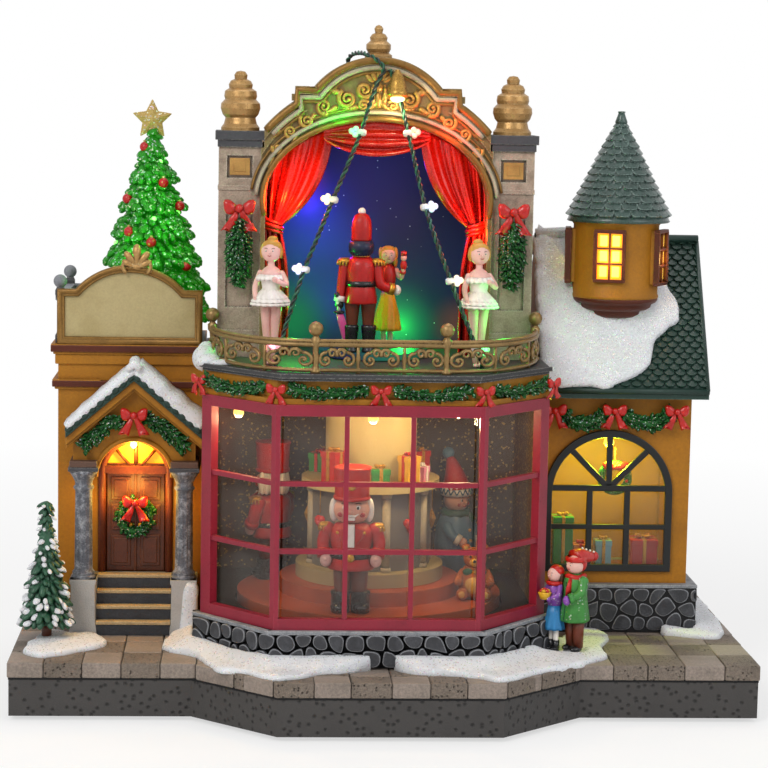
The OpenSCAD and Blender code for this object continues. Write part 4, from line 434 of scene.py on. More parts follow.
lightStrings = {
    "wire": 0.55, "pitch": 6.4,
    "left": [(-18, 7, 273.5), (-18, 5.4, 278.2), (-16.6, 2, 281.2), (-13.8, -5, 282.2), (-10.6, -12.8, 281.6), (-6.2, -18, 279.2),
        (-3.2, -19.5, 275), (-6, -20.5, 269), (-9.5, -23, 259), (-13, -28, 248), (-19, -34, 233.5), (-25, -40, 219.5), (-31, -46, 205),
        (-37, -51.5, 190.5), (-42.5, -56.5, 174), (-47, -60, 159), (-48.5, -61, 153), (-48.5, -61, 149)],
    "right": [(-0.6, -19.5, 275), (1.5, -19, 270), (4, -20.5, 262), (7.5, -26, 248), (11, -33, 232), (14.5, -40, 217), (19.5, -46.5, 201.5),
        (25, -52.5, 186.5), (30.5, -57.5, 172), (36, -61, 158), (38, -62, 153), (38, -62, 149)],
    "leftLamps": [((-13, -28, 248), "3ae06a"), ((-25, -40, 219.5), "ffdf9a"), ((-37, -51.5, 190.5), "d8c8ff"), ((-47, -60, 159), "ff9ab0")],
    "rightLamps": [((7.5, -26, 248), "ff7a50"), ((14.5, -40, 217), "c4d0ff"), ((25, -52.5, 186.5), "ffe6b0"), ((36, -61, 158), "58e070")],
    # pools of colour that the lamps throw on what is near: place, power, colour
    "pools": [((-21.5, -22.5, 253.6), 0.013, "10ff30"), ((24.5, -22.5, 245.5), 0.018, "ff3010"), ((-40, -14, 172), 0.05, "10ff40"),
        ((10, 22, 158), 0.05, "20ff40"), ((-43, -13, 218), 0.05, "ff5a18"), ((-33, 24, 214), 0.03, "5a30ff"),
        ((41, -14, 205), 0.03, "ff5020"), ((50, -52, 170), 0.012, "30ff50")],
}


def makeString(side, node):
    d = lightStrings
    line = smoothLine(d[side], 6)
    piece = Shape("wires" + side.capitalize())
    walked = [0]
    for a, b in zip(line, line[1:]):
        walked.append(walked[-1] + (b - a).length)
    frames, across = [], None
    for i, p in enumerate(line):
        t = (line[min(i + 1, len(line) - 1)] - line[max(i - 1, 0)]).normalized()
        across = t.cross(Vector((0, 1, 0.2))).normalized() if across is None else (across - t * across.dot(t)).normalized()
        frames.append((p, t, across))
    steps = int(walked[-1] / 0.75)
    rows, j = [], 0
    for k in range(steps + 1):
        s = walked[-1] * k / steps
        while j < len(line) - 2 and walked[j + 1] < s:
            j += 1
        f = (s - walked[j]) / max(walked[j + 1] - walked[j], 1e-9)
        p = frames[j][0].lerp(frames[j + 1][0], f)
        t = frames[j][1].lerp(frames[j + 1][1], f).normalized()
        a = frames[j][2].lerp(frames[j + 1][2], f).normalized()
        rows.append((p, a, t.cross(a), 2 * pi * s / d["pitch"]))
    for turn, mat in ((0, wireGreen), (pi, wireDark)):
        piece.tube([p + a * (d["wire"] * cos(w + turn)) + b * (d["wire"] * sin(w + turn)) for p, a, b, w in rows], d["wire"], mat, steps=7)
    obj = piece.build(replaces=(node,))


def makeLamps():
    shell, cups = Shape("lampShells"), Shape("lampCollars")
    for side, group in ((-1, "leftLamps"), (1, "rightLamps")):
        for place, color in lightStrings[group]:
            p, bulb = Vector(place), lampGlass(color)
            out = Vector((0.95 * side, -0.25, 0.12)).normalized()
            across = out.cross(Vector((0, 1, 0))).normalized()
            for k in range(3):
                a = 2 * pi * k / 3 + 0.5
                q = p + out * 2.7 + across * (1.5 * cos(a)) + out.cross(across) * (1.5 * sin(a))
                shell.ball(q, 1.25, bulb, rings=8, steps=12)
            shell.ball(p + out * 4.1, 1.45, bulb, rings=8, steps=12)
            turn = out.to_track_quat("Z", "Y").to_matrix()
            cups.lathe([(0, -2.2), (1.2, -2.1), (1.6, -1.2), (1.5, 0.6), (1.15, 1.6), (1.3, 2.5), (0, 2.7)], p, lampWhite, 14, turn)
            pointLamp("stringGlow", p + out * 3.2 + Vector((0, -3.4, 0)), 0.0016, tint(color), 1.5)
    for place, power, color in lightStrings["pools"]:
        pointLamp("stringPool", place, power, tint(color), 2.5)
    shell.build(slot="lamp")
    spot = Vector((2.6, -24.6, 263))
    tilt = around("X", -14)
    cups.lathe([(0, 0), (4.2, 0.2), (4.4, 1.6), (3.9, 2.6), (3.6, 5.4), (2.8, 8.6), (2.2, 10.4), (1.3, 11.4), (1.2, 12.2), (0, 12.4)], spot,
        spotBrass, 28, tilt)
    cups.ball(spot + Vector((0, 0, -0.4)), (3.2, 3.2, 1.4), spotGlow)
    cups.build(replaces=("string_lamps",))
    pointLamp("spotGlow", spot + Vector((0, -1, -5)), 0.016, (1.0, 0.82, 0.5), 3)


def lampGlass(code):
    shade = tuple(0.45 + 0.4 * c for c in tint(code))
    m = painted("lamp_" + code, shade, wash=(tuple(0.7 * c for c in shade), 0.3), rough=0.25, drift=0.05, bump=0.05)
    b = m.node_tree.nodes["Principled BSDF"]
    b.inputs["Emission Color"].default_value = (*tuple(0.12 + 0.88 * c for c in tint(code)), 1)
    b.inputs["Emission Strength"].default_value = 0.42
    b.inputs["Subsurface Weight"].default_value = 0.2
    return m


wireGreen = painted("wireGreen", "16523a", rough=0.35, drift=0.12, bump=0.05, coat=0.3)
wireDark = painted("wireDark", "0c1c18", rough=0.35, drift=0.12, bump=0.05, coat=0.3)
lampWhite = painted("lampWhite", "cfcfca", wash=("9c9c94", 0.3), rough=0.3, drift=0.05, bump=0.05)
spotBrass = painted("spotBrass", "b98f45", wash=("4a2f12", 0.4), rough=0.28, metal=0.75, drift=0.1, bump=0.1)
spotGlow = painted("spotGlow", "fff0c0", rough=0.3, drift=0.02, glow=("ffe2a0", 2.2))

makeString("left", "string_left")
makeString("right", "string_right")
makeLamps()
print("light strings made")


mustardPaint = painted("mustardPaint", "a56c14", wash=("734a10", 0.5), drift=0.12, patch=0.02, grain=0.0012, rough=0.55,
    recess=("43280a", 0.6, 0.002), edge=("cf9c40", 0.4, 0.0007), bump=0.2)
brownTrim = painted("brownTrim", "5d4438", wash=("33231c", 0.5), drift=0.15, rough=0.5, edge=("a48b78", 0.6, 0.0006), bump=0.15)
crimsonPaint = painted("crimsonPaint", "8d1a31", wash=("5c0f20", 0.4), drift=0.1, rough=0.34, recess=("3a0812", 0.7, 0.0015),
    edge=("c2566a", 0.45, 0.0005), bump=0.1, coat=0.25, coatRough=0.3)
charcoalStone = painted("charcoalStone", "3b3c40", wash=("606268", 0.6), drift=0.2, patch=0.006, grain=0.0008, rough=0.6,
    edge=("b4b3ae", 0.85, 0.0009), bump=0.5)
mortarBlack = painted("mortarBlack", "18181a", wash=("0c0c0d", 0.4), drift=0.2, rough=0.8, bump=0.4)
greyStone = painted("greyStone", "7c7c79", wash=("3a3a3a", 0.6), drift=0.18, patch=0.007, grain=0.0008, rough=0.58,
    recess=("1c1c1c", 0.8, 0.0018), edge=("c9c7c0", 0.8, 0.0007), bump=0.35)
slabStone = painted("slabStone", "3c3c3e", wash=("232325", 0.5), drift=0.2, patch=0.006, rough=0.6, edge=("a3a29c", 0.8, 0.0008), bump=0.4)
oldGold = painted("oldGold", "86632f", wash=("482c10", 0.55), drift=0.14, patch=0.008, grain=0.0008, rough=0.36, metal=0.45,
    recess=("3d230b", 0.85, 0.0016), edge=("dcc080", 0.75, 0.0006), bump=0.25)
finialGold = painted("finialGold", "b08a56", wash=("6d481e", 0.45), drift=0.12, patch=0.008, rough=0.32, metal=0.5,
    recess=("4a2c10", 0.8, 0.0016), edge=("f2dfae", 0.6, 0.0006), bump=0.2)
railGold = painted("railGold", "8f7449", wash=("443018", 0.5), drift=0.14, patch=0.006, rough=0.34, metal=0.5,
    recess=("301c0a", 0.8, 0.0012), edge=("ecd3a0", 0.6, 0.0005), bump=0.2)
archFace = painted("archFace", "7c6a42", wash=("5c4018", 0.8), drift=0.18, patch=0.007, grain=0.0007, rough=0.46, metal=0.12,
    recess=("33210c", 0.9, 0.0035), edge=("dcc79a", 0.7, 0.0007), bump=0.3)
washedCream = painted("washedCream", "b3a78d", wash=("6a6252", 0.65), drift=0.2, patch=0.008, grain=0.0007, rough=0.55,
    recess=("35302a", 0.9, 0.002), edge=("e9e2d0", 0.75, 0.0007), bump=0.35)
columnStone = painted("columnStone", "a69483", wash=("6b5a4c", 0.75), drift=0.24, patch=0.005, grain=0.0006, rough=0.6,
    recess=("2c2822", 0.95, 0.0024), edge=("e4ddcb", 0.7, 0.0008), bump=0.45)
slateCap = painted("slateCap", "444448", wash=("28282b", 0.5), drift=0.18, rough=0.5, edge=("a09c92", 0.7, 0.0006), bump=0.25)
insetGold = painted("insetGold", "b98d4e", wash=("6f4a20", 0.8), drift=0.12, rough=0.4, metal=0.25, bump=0.2)
glossRed = painted("glossRed", "b01608", wash=("780806", 0.4), drift=0.08, patch=0.01, rough=0.26, recess=("420206", 0.85, 0.003),
    edge=("f0402c", 0.35, 0.0006), bump=0.08, coat=0.5, coatRough=0.22)
leafGreen = painted("leafGreen", "1b6124", wash=("0c3a16", 0.5), drift=0.3, patch=0.003, grain=0.0005, rough=0.4,
    recess=("04180a", 0.9, 0.0014), edge=("4fa350", 0.4, 0.0004), bump=0.3, glitter=(0.08, 0.0005))
ribbonRed = painted("ribbonRed", "bd1812", wash=("7a0b0b", 0.4), drift=0.1, patch=0.004, rough=0.32, recess=("3f0406", 0.8, 0.0012),
    edge=("ee5a40", 0.5, 0.0005), bump=0.1, coat=0.4)
# on both tile finishes the pale edge is a painted highlight, the shine of glossy tiles
shingleGreen = painted("shingleGreen", "17322a", wash=("0e221c", 0.5), drift=0.2, patch=0.008, grain=0.0007, rough=0.38,
    recess=("040a08", 0.9, 0.0014), edge=("547a6c", 0.5, 0.0005), bump=0.25, coat=0.15)
coneGreen = painted("coneGreen", "2c463f", wash=("142621", 0.7), drift=0.3, patch=0.005, grain=0.0007, rough=0.28,
    recess=("030807", 1.0, 0.002), edge=("a6bdb6", 0.8, 0.0006), bump=0.35, coat=0.6, coatRough=0.16)
windowGreen = painted("windowGreen", "0d0f10", wash=("060808", 0.4), drift=0.15, rough=0.4, edge=("4a554f", 0.4, 0.0005), bump=0.15,
    coat=0.2)
snowWhite = painted("snowWhite", "e8eaee", wash=("d3d9e2", 0.4), drift=0.04, patch=0.008, grain=0.0006, rough=0.6, glitter=(0.11, 0.0006),
    bump=0.5)
# the faint green glow is painted light on the foliage
treeGreenGlowing = painted("treeGreenGlowing", "1f7a12", wash=("0b420a", 0.5), drift=0.25, patch=0.005, rough=0.42, recess=("031c04", 0.85, 0.003),
    edge=("74dc50", 0.4, 0.0008), glitter=(0.12, 0.0007), bump=0.6, glow=("18d010", 0.1))
firGreen = painted("firGreen", "24523a", wash=("0e2a1c", 0.5), drift=0.25, patch=0.004, rough=0.42, recess=("04120b", 0.85, 0.002),
    edge=("6da080", 0.45, 0.0005), bump=0.35, coat=0.25)
ballRed = painted("ballRed", "b8121a", wash=("7a0a10", 0.4), drift=0.08, rough=0.3, bump=0.08, coat=0.3)
starGold = painted("starGold", "b89a58", wash=("7c6230", 0.4), drift=0.14, rough=0.4, metal=0.4, edge=("efdfae", 0.6, 0.0005), bump=0.3,
    glitter=(0.12, 0.0006))
skinPaint = painted("skinPaint", "e2a994", wash=("c8796a", 0.35), drift=0.05, patch=0.004, rough=0.42, bump=0.05, subsurface=0.08)
paleSkin = painted("paleSkin", "e8b9ae", wash=("d9938c", 0.35), drift=0.05, patch=0.004, rough=0.4, bump=0.05, subsurface=0.08)
blackBoot = painted("blackBoot", "17171a", wash=("0a0a0c", 0.3), drift=0.1, rough=0.28, bump=0.08, coat=0.4, edge=("55565c", 0.4, 0.0004))
whitePaint = painted("whitePaint", "ece6de", wash=("c9bdb2", 0.4), drift=0.06, patch=0.004, rough=0.4, recess=("8d7d78", 0.6, 0.001),
    bump=0.12)
darkWood = painted("darkWood", "54260f", wash=("2c1206", 0.6), drift=0.25, patch=0.006, grain=0.0007, rough=0.42,
    recess=("140702", 0.9, 0.0014), edge=("a05f30", 0.55, 0.0005), bump=0.3, coat=0.15)
reddishWood = painted("reddishWood", "6e3421", wash=("3c180c", 0.5), drift=0.2, patch=0.006, rough=0.42, recess=("1c0a04", 0.8, 0.0015),
    edge=("b5714a", 0.5, 0.0005), bump=0.25)
signCream = painted("signCream", "b0a074", wash=("8f7c46", 0.5), drift=0.08, patch=0.02, rough=0.5, recess=("6c5730", 0.6, 0.003),
    bump=0.12)
blackPlastic = painted("blackPlastic", "1b1b1d", wash=("121213", 0.2), drift=0.06, grain=0.0004, rough=0.55, bump=0.25,
    edge=("3c3c40", 0.3, 0.0003))
rubberBlack = painted("rubberBlack", "141414", wash=("1e1e1e", 0.4), drift=0.1, grain=0.0005, rough=0.85, bump=0.3)
steelBright = painted("steelBright", "b9bbbe", wash=("8c8f94", 0.3), drift=0.08, grain=0.0003, rough=0.28, metal=1.0, bump=0.1)
brassTurned = painted("brassTurned", "c59c4c", wash=("94702c", 0.3), drift=0.08, rough=0.3, metal=1.0, bump=0.1)
boardGreen = painted("boardGreen", "0e5a2c", wash=("0a3f20", 0.4), drift=0.1, grain=0.0008, rough=0.4, bump=0.15)
nylonWhite = painted("nylonWhite", "dcdad2", wash=("c4c1b6", 0.3), drift=0.05, rough=0.45, bump=0.08)
warmBulb = painted("warmBulb", "ffe9b0", rough=0.3, drift=0.02, glow=("ffc850", 1.5))


# painted pools of coloured light on the backdrop: x, z, size, colour
backdropGlowPools = [(-0.028, 0.2, 0.034, (0.035, 0.09, 0.62)), (-0.004, 0.228, 0.04, (0.022, 0.014, 0.15)),
    (-0.024, 0.172, 0.024, (0.02, 0.07, 0.42)), (-0.04, 0.16, 0.022, (0.01, 0.34, 0.1)), (0.004, 0.158, 0.026, (0.02, 0.4, 0.12)),
    (0.036, 0.16, 0.016, (0.2, 0.06, 0.02)), (-0.036, 0.226, 0.014, (0.26, 0.02, 0.3))]


def makeNightSky():
    # printed sheet: deep blue with stars; the sheet glows as painted light, the stars brightest, with painted pools of
    # coloured light low down
    m = painted("nightSky", "161c4e", wash=("22164e", 0.8), drift=0.1, patch=0.03, rough=0.5, bump=0.02)
    t = m.node_tree
    b, pos = t.nodes["Principled BSDF"].inputs, objectPoint(t)
    cells = put(t, "ShaderNodeTexVoronoi", {"Scale": 330, "Vector": pos}).outputs
    few = calc(t, "LESS_THAN", put(t, "ShaderNodeSeparateColor", {0: cells["Color"]}), 0.3)
    star = calc(t, "MULTIPLY", remap(t, cells["Distance"], 0.1, 0.04), few)
    fill(t, b["Base Color"], mixColor(t, star, b["Base Color"].links[0].from_socket, (0.75, 0.85, 1.0)))
    xyz, glow = put(t, "ShaderNodeSeparateXYZ", {0: pos}).outputs, (0.006, 0.006, 0.035)
    # painted light: each pool glows in its colour, fading outward
    for x, z, size, shade in backdropGlowPools:
        flat = put(t, "ShaderNodeCombineXYZ", {0: calc(t, "SUBTRACT", xyz["X"], x), 1: calc(t, "SUBTRACT", xyz["Z"], z)})
        far = put(t, "ShaderNodeVectorMath", {0: flat}, operation="LENGTH").outputs["Value"]
        glow = mixColor(t, remap(t, far, size, 0, interpolation_type="SMOOTHSTEP"), glow, shade)
    fill(t, b["Emission Color"], mixColor(t, star, glow, (0.45, 0.5, 0.8)))
    fill(t, b["Emission Strength"], 0.42)
    return m


def makeClearPane():
    m, t, b = newMaterial("clearPane")
    cloud = put(t, "ShaderNodeTexNoise", {"Scale": 60, "Vector": objectPoint(t)}).outputs["Fac"]
    fill(t, b["Roughness"], remap(t, cloud, 0, 1, (0.02, 0.12)))
    fill(t, b["Alpha"], remap(t, cloud, 0, 1, (0.1, 0.17)))
    fill(t, b["Base Color"], (0.26, 0.24, 0.22, 1))
    return m


def makeRoomWalls():
    # mustard outside, speckled gold brown inside the lit room
    m = painted("roomWalls", "ab741c", wash=("734a10", 0.5), drift=0.12, patch=0.02, rough=0.5, bump=0.2)
    t = m.node_tree
    color = t.nodes["Principled BSDF"].inputs["Base Color"]
    flakes = put(t, "ShaderNodeGroup", {"Flake size": 0.0008, "Share": 0.07}, node_tree=glitterGroup).outputs["Mask"]
    inside = mixColor(t, flakes, tint("5c4a38"), tint("c9a45a"))
    xyz = put(t, "ShaderNodeSeparateXYZ", {0: objectPoint(t)}).outputs
    near = calc(t, "LESS_THAN", calc(t, "ABSOLUTE", calc(t, "ADD", xyz["X"], 0.005)), 0.0735)
    room = calc(t, "MULTIPLY", near, calc(t, "LESS_THAN", xyz["Y"], 0.0612))
    room = calc(t, "MULTIPLY", room, calc(t, "GREATER_THAN", xyz["Y"], -0.0386))
    fill(t, color, mixColor(t, room, color.links[0].from_socket, inside))
    return m


def makeCarouselPaint():
    # terracotta rings below, pale cream top ring, grey drum, cream shelf and post
    m = painted("carouselPaint", "ad4d26", wash=("742f12", 0.5), drift=0.14, patch=0.01, rough=0.42, edge=("cf8a5c", 0.5, 0.0008), bump=0.2)
    t = m.node_tree
    b = t.nodes["Principled BSDF"].inputs
    color, up = b["Base Color"].links[0].from_socket, put(t, "ShaderNodeSeparateXYZ", {0: objectPoint(t)}).outputs["Z"]
    for z, shade in ((0.0506, "a8976c"), (0.0568, "6f6b66"), (0.0915, "c2b07c")):
        color = mixColor(t, calc(t, "GREATER_THAN", up, z), color, tint(shade))
    fill(t, b["Base Color"], color)
    return m


nightSky = makeNightSky()
carouselPaint = makeCarouselPaint()
clearPane = makeClearPane()
roomWalls = makeRoomWalls()

nodeFinish = {
    "bottom_cover": blackPlastic, "rubber_feet": rubberBlack, "screws": steelBright, "battery_tray": blackPlastic,
        "battery_contacts": steelBright,
    "battery_door": blackPlastic, "speaker": blackPlastic, "circuit_board": boardGreen, "gear_motor": steelBright,
        "motor_pinion": nylonWhite,
    "main_gear": nylonWhite, "main_shaft": steelBright, "shaft_bushes": brassTurned, "adapter_socket": blackPlastic,
        "mode_switch": blackPlastic,
    "volume_wheel": blackPlastic, "bay_plinth": mortarBlack, "middle_house": roomWalls, "bay_frame": crimsonPaint,
        "window_panes": clearPane,
    "garlands": leafGreen, "ribbon_bows": ribbonRed, "balcony_slab": slabStone, "balcony_railing": railGold, "stage_house": mustardPaint,
    "rear_cover": blackPlastic, "stage_columns": columnStone, "gold_finials": finialGold, "proscenium_arch": archFace,
        "stage_curtains": glossRed,
    "stage_backdrop": nightSky, "ballet_dancers": whitePaint, "house_bulbs": warmBulb, "left_house": mustardPaint, "porch": mustardPaint,
    "entry_steps": greyStone, "double_door": darkWood, "fanlight": reddishWood, "sign_board": signCream, "roof_balustrade": greyStone,
    "roof_tree": treeGreenGlowing, "tree_star": starGold, "snowy_fir": firGreen, "right_house": mustardPaint, "arched_window": windowGreen,
    "window_gifts": ribbonRed, "right_roof": shingleGreen, "turret": mustardPaint, "turret_roof": shingleGreen, "snow_patches": snowWhite,
    "passers_by": leafGreen, "carousel_tiers": carouselPaint, "toy_figures": glossRed, "shelf_gifts": ribbonRed, "stage_disc": nightSky,
    "dancing_couple": glossRed, "base_casting": slabStone,
}
for name, finish in nodeFinish.items():
    mesh = cadNodes[name].data
    mesh.materials.clear()
    mesh.materials.append(finish)
    mesh.polygons.foreach_set("material_index", [0] * len(mesh.polygons))
print("finishes set on", len(nodeFinish), "nodes")


houseLights = {"bayBulbs": [(-64, -41, 125), (-7, -56, 125), (31, -36, 125)], "bay": 0.075, "rightBulb": (104.4, 10, 104), "right": 0.23}
for place in houseLights["bayBulbs"]:
    pointLamp("bayBulb", place, houseLights["bay"], (1.0, 0.72, 0.36), 3)
pointLamp("rightBulb", houseLights["rightBulb"], houseLights["right"], (0.74, 0.98, 0.02), 3)


def makeRepeatTree():
    # puts one part at every point of a carrier, turned by its "turn" and sized by its "size" attribute
    t = bpy.data.node_groups.new("repeatPart", "GeometryNodeTree")
    for name, kind in (("Geometry", "Geometry"), ("Part", "Object"), ("Turn change", "Float"), ("Seed", "Int"), ("Material", "Material")):
        t.interface.new_socket(name, in_out="INPUT", socket_type="NodeSocket" + kind)
    t.interface.new_socket("Geometry", in_out="OUTPUT", socket_type="NodeSocketGeometry")
    given, result = t.nodes.new("NodeGroupInput").outputs, t.nodes.new("NodeGroupOutput").inputs
    turn, size = (put(t, "GeometryNodeInputNamedAttribute", {"Name": key}, data_type="FLOAT_VECTOR").outputs["Attribute"]
        for key in ("turn", "size"))
    shake = put(t, "FunctionNodeRandomValue", {"Min": calc(t, "MULTIPLY", given["Turn change"], -1), "Max": given["Turn change"],
        "Seed": given["Seed"]}, data_type="FLOAT_VECTOR").outputs["Value"]
    turned = put(t, "FunctionNodeRotateRotation", {k: put(t, "FunctionNodeEulerToRotation", {0: v}) for k, v in enumerate((turn, shake))},
        rotation_space="LOCAL")
    part = put(t, "GeometryNodeObjectInfo", {"Object": given["Part"]}).outputs["Geometry"]
    spread = put(t, "GeometryNodeInstanceOnPoints", {"Points": given["Geometry"], "Instance": part, "Rotation": turned, "Scale": size})
    solid = put(t, "GeometryNodeRealizeInstances", {0: spread})
    fill(t, result[0], put(t, "GeometryNodeSetMaterial", {"Geometry": solid, "Material": given["Material"]}))
    return t


repeatTree = makeRepeatTree()


def repeatPart(name, part, places, mat, turnChange, seed, replaces=(), smooth=True):
    # places: (point, direction of the part's Z, direction of its X or None, size); part is a Shape in millimetres
    model = bpy.data.meshes.new(name + "Part")
    model.from_pydata([v * mm for v in part.verts], [], part.faces)
    model.polygons.foreach_set("use_smooth", [smooth] * len(model.polygons))
    cleanMesh(model)
    partObj = newObject(name + "Part", model)
    carrier = bpy.data.meshes.new(name)
    carrier.from_pydata([Vector(p) * mm for p, *_ in places], [], [])
    turns, sizes = [], []
    for p, up, side, size in places:
        z = Vector(up).normalized()
        x = Vector(side) if side else z.cross(Vector((0.31, 0.17, 0.94)))
        x = (x - z * x.dot(z)).normalized()
        turns += list(Matrix((x, z.cross(x), z)).transposed().to_euler())
        sizes += list(size) if hasattr(size, "__len__") else [size] * 3
    for key, values in (("turn", turns), ("size", sizes)):
        carrier.attributes.new(key, "FLOAT_VECTOR", "POINT").data.foreach_set("vector", values)
    obj = newObject(name, carrier)
    mod = obj.modifiers.new("repeat", "NODES")
    mod.node_group = repeatTree
    keys = {s.name: s.identifier for s in repeatTree.interface.items_tree if s.in_out == "INPUT"}
    for key, value in (("Part", partObj), ("Turn change", turnChange), ("Seed", seed), ("Material", mat)):
        mod[keys[key]] = value
    bpy.context.view_layer.update()
    mesh = bpy.data.meshes.new_from_object(obj.evaluated_get(bpy.context.evaluated_depsgraph_get()))
    mesh.name = name
    obj.modifiers.clear()
    obj.data = mesh
    bpy.data.objects.remove(partObj)
    return dress(obj, "base", replaces)


railing = {"front": 68.4, "half": 27.3, "end": 71.0, "back": 8.0, "floor": 149.0, "height": 13.0, "ball": 3.1}


def railPoint(t):
    d, s, side = railing, abs(t), (-1 if t < 0 else 1)
    if s < 0.34:
        x, y = side * d["half"] * s / 0.34, -d["front"]
    else:
        a = radians(90 * (s - 0.34) / 0.66)
        x, y = side * (d["half"] + (d["end"] - d["half"]) * sin(a)), -d["back"] - (d["front"] - d["back"]) * cos(a)
    return Vector((x, y, 0)) + stageAt


def spiral(r0, r1, turns, start, direction, n):
    # flat spiral about its own middle, from radius r0 in to r1
    rays = [(lerp(r0, r1, (k / n) ** 0.85), start + direction * 2 * pi * turns * k / n) for k in range(n + 1)]
    return [(r * cos(a), r * sin(a)) for r, a in rays]


def makeRailing():
    d = railing
    z0, top = d["floor"], d["floor"] + d["height"]
    s = Shape("railing")
    ts = [k / 40 for k in range(-40, 41)]
    for z, r, f in ((z0 + 1.3, 1.15, 0.75), (top - 1.0, 1.5, 0.7), (top + 0.5, 0.85, 1.0)):
        s.tube([railPoint(t) + Vector((0, 0, z)) for t in ts], r, railGold, steps=10, flat=f, up=(0, 0, 1))
    post = [(0, 0), (2.1, 0), (2.2, 1.2), (1.5, 1.8), (1.2, 3.2), (1.6, 5.2), (1.7, 6.4), (1.1, 8.6), (1.3, 11), (2.0, 12), (2.1, 14.2),
        (1.2, 15.2), (1.1, 16), (0, 16.2)]
    for t in (-0.98, -0.34, 0.34, 0.98):
        p = railPoint(t)
        s.lathe(post, p + Vector((0, 0, z0)), railGold, 20)
        b = d["ball"]
        s.lathe([(0, -b * 0.98), (b * 0.5, -b * 0.86), (b * 0.87, -b * 0.5), (b, 0), (b * 0.87, b * 0.5), (b * 0.5, b * 0.86), (0, b)],
                p + Vector((0, 0, top + 4 + b / 2)), railGold, 24)
    for t in (-0.77, -0.55, -0.12, 0.12, 0.55, 0.77):
        s.lathe([(0, 0), (1.1, 0), (0.75, 1.4), (0.7, 4), (1.15, 6), (0.7, 8), (0.75, 11.5), (0, 12)], railPoint(t) + Vector((0, 0, z0)),
            railGold, 12)
    mid = (z0 + 1.9 + top - 2.0) / 2
    for t in (-0.875, -0.66, -0.445, -0.23, 0, 0.23, 0.445, 0.66, 0.875):
        p = railPoint(t)
        along = (railPoint(min(t + 0.01, 1)) - railPoint(max(t - 0.01, -1))).normalized()
        wide = max((railPoint(min(t + 0.1, 1)) - railPoint(max(t - 0.1, -1))).length / 2 - 1.1, 6.4) / 7.4
        for m in (-1, 1):
            # one S: a spiral low by the baluster runs up into a smaller one at the middle
            low = [(5.0 + x, -0.9 + z) for x, z in spiral(3.3, 0.6, 1.3, radians(100), -1, 22)][::-1]
            high = [(2.0 + x, 1.9 + z) for x, z in spiral(2.1, 0.5, 1.25, radians(215), -1, 18)]
            for part, r0, r1 in ((low, 0.5, 0.8), (high, 0.75, 0.45)):
                k = len(part) - 1
                s.tube([p + along * (m * x * wide) + Vector((0, 0, mid + z)) for x, z in part], [lerp(r0, r1, i / k) for i in range(k + 1)],
                    railGold, steps=7)
            s.tube([p + along * (m * x * wide) + Vector((0, 0, mid + z)) for x, z in ((4.3, 2.4), (2.6, 3.9), (0.9, 3.7), (0.1, 2.2),
                (0.3, 0.6))], 0.72, railGold, steps=7)
            s.ball(p + along * (m * 5.0 * wide) + Vector((0, 0, mid - 0.9)), 0.85, railGold, rings=6, steps=10)
    s.build(slot="gold", replaces=("balcony_railing",))


makeRailing()
print("railing made")


curtains = {"half": 48.5, "spring": 218.05, "rise": 34.2, "tie": 206.0, "floor": 149.3, "depth": 2.1, "middle": -3.3, "folds": 3.6}


def drapePoint(u, v):
    # u runs from the wall to the inner edge, v from the top (0) over the tie (1) to the hem (2)
    d = curtains
    top = radians(lerp(3, 67, u ** 0.92))
    t = Vector((-d["half"] * cos(top), 0, d["spring"] + d["rise"] * sin(top)))
    k = Vector((-d["half"] + 0.2 + 6.6 * u, 0, d["tie"]))
    waves = sin(2 * pi * d["folds"] * u + 0.8 * sin(2.2 * v) + 1.3 * sin(5.1 * u))
    fold = waves * 0.9 + 0.16 * sin(2 * pi * 11 * u + 2 * v)
    if v <= 1:
        c = Vector((lerp(t.x, k.x, lerp(0.72, 0.08, u)), 0, lerp(t.z, k.z, lerp(0.28, 0.64, u))))
        w = v ** 0.95
        p = t * ((1 - w) ** 2) + c * (2 * w * (1 - w)) + k * (w * w)
        p.z -= 1.6 * sin(pi * w) * (0.5 + 0.5 * fold) * (0.4 + 0.6 * u)
        deep = d["depth"] * (0.75 + 0.4 * sin(pi * v)) * (1 - 0.45 * max(0, (v - 0.75) / 0.25))
    else:
        w = v - 1
        spread = 6.6 + 4.6 * (1 - (1 - w) ** 2) + 0.7 * sin(5 * w)
        p = Vector((-d["half"] + 0.2 + spread * u, 0, lerp(d["tie"], d["floor"] + 0.4 * abs(sin(9 * u)), w)))
        deep = d["depth"] * (0.62 + 0.5 * min(w * 3, 1))
    ripple = noise.noise(Vector((u * 9, v * 3.2, 4.2))) * 0.45
    p.y = d["middle"] - deep * fold * 0.9 - 0.3 + ripple - 0.7 * sin(pi * min(max(u, 0), 1)) * exp(-((v - 1) * 5) ** 2)
    return p


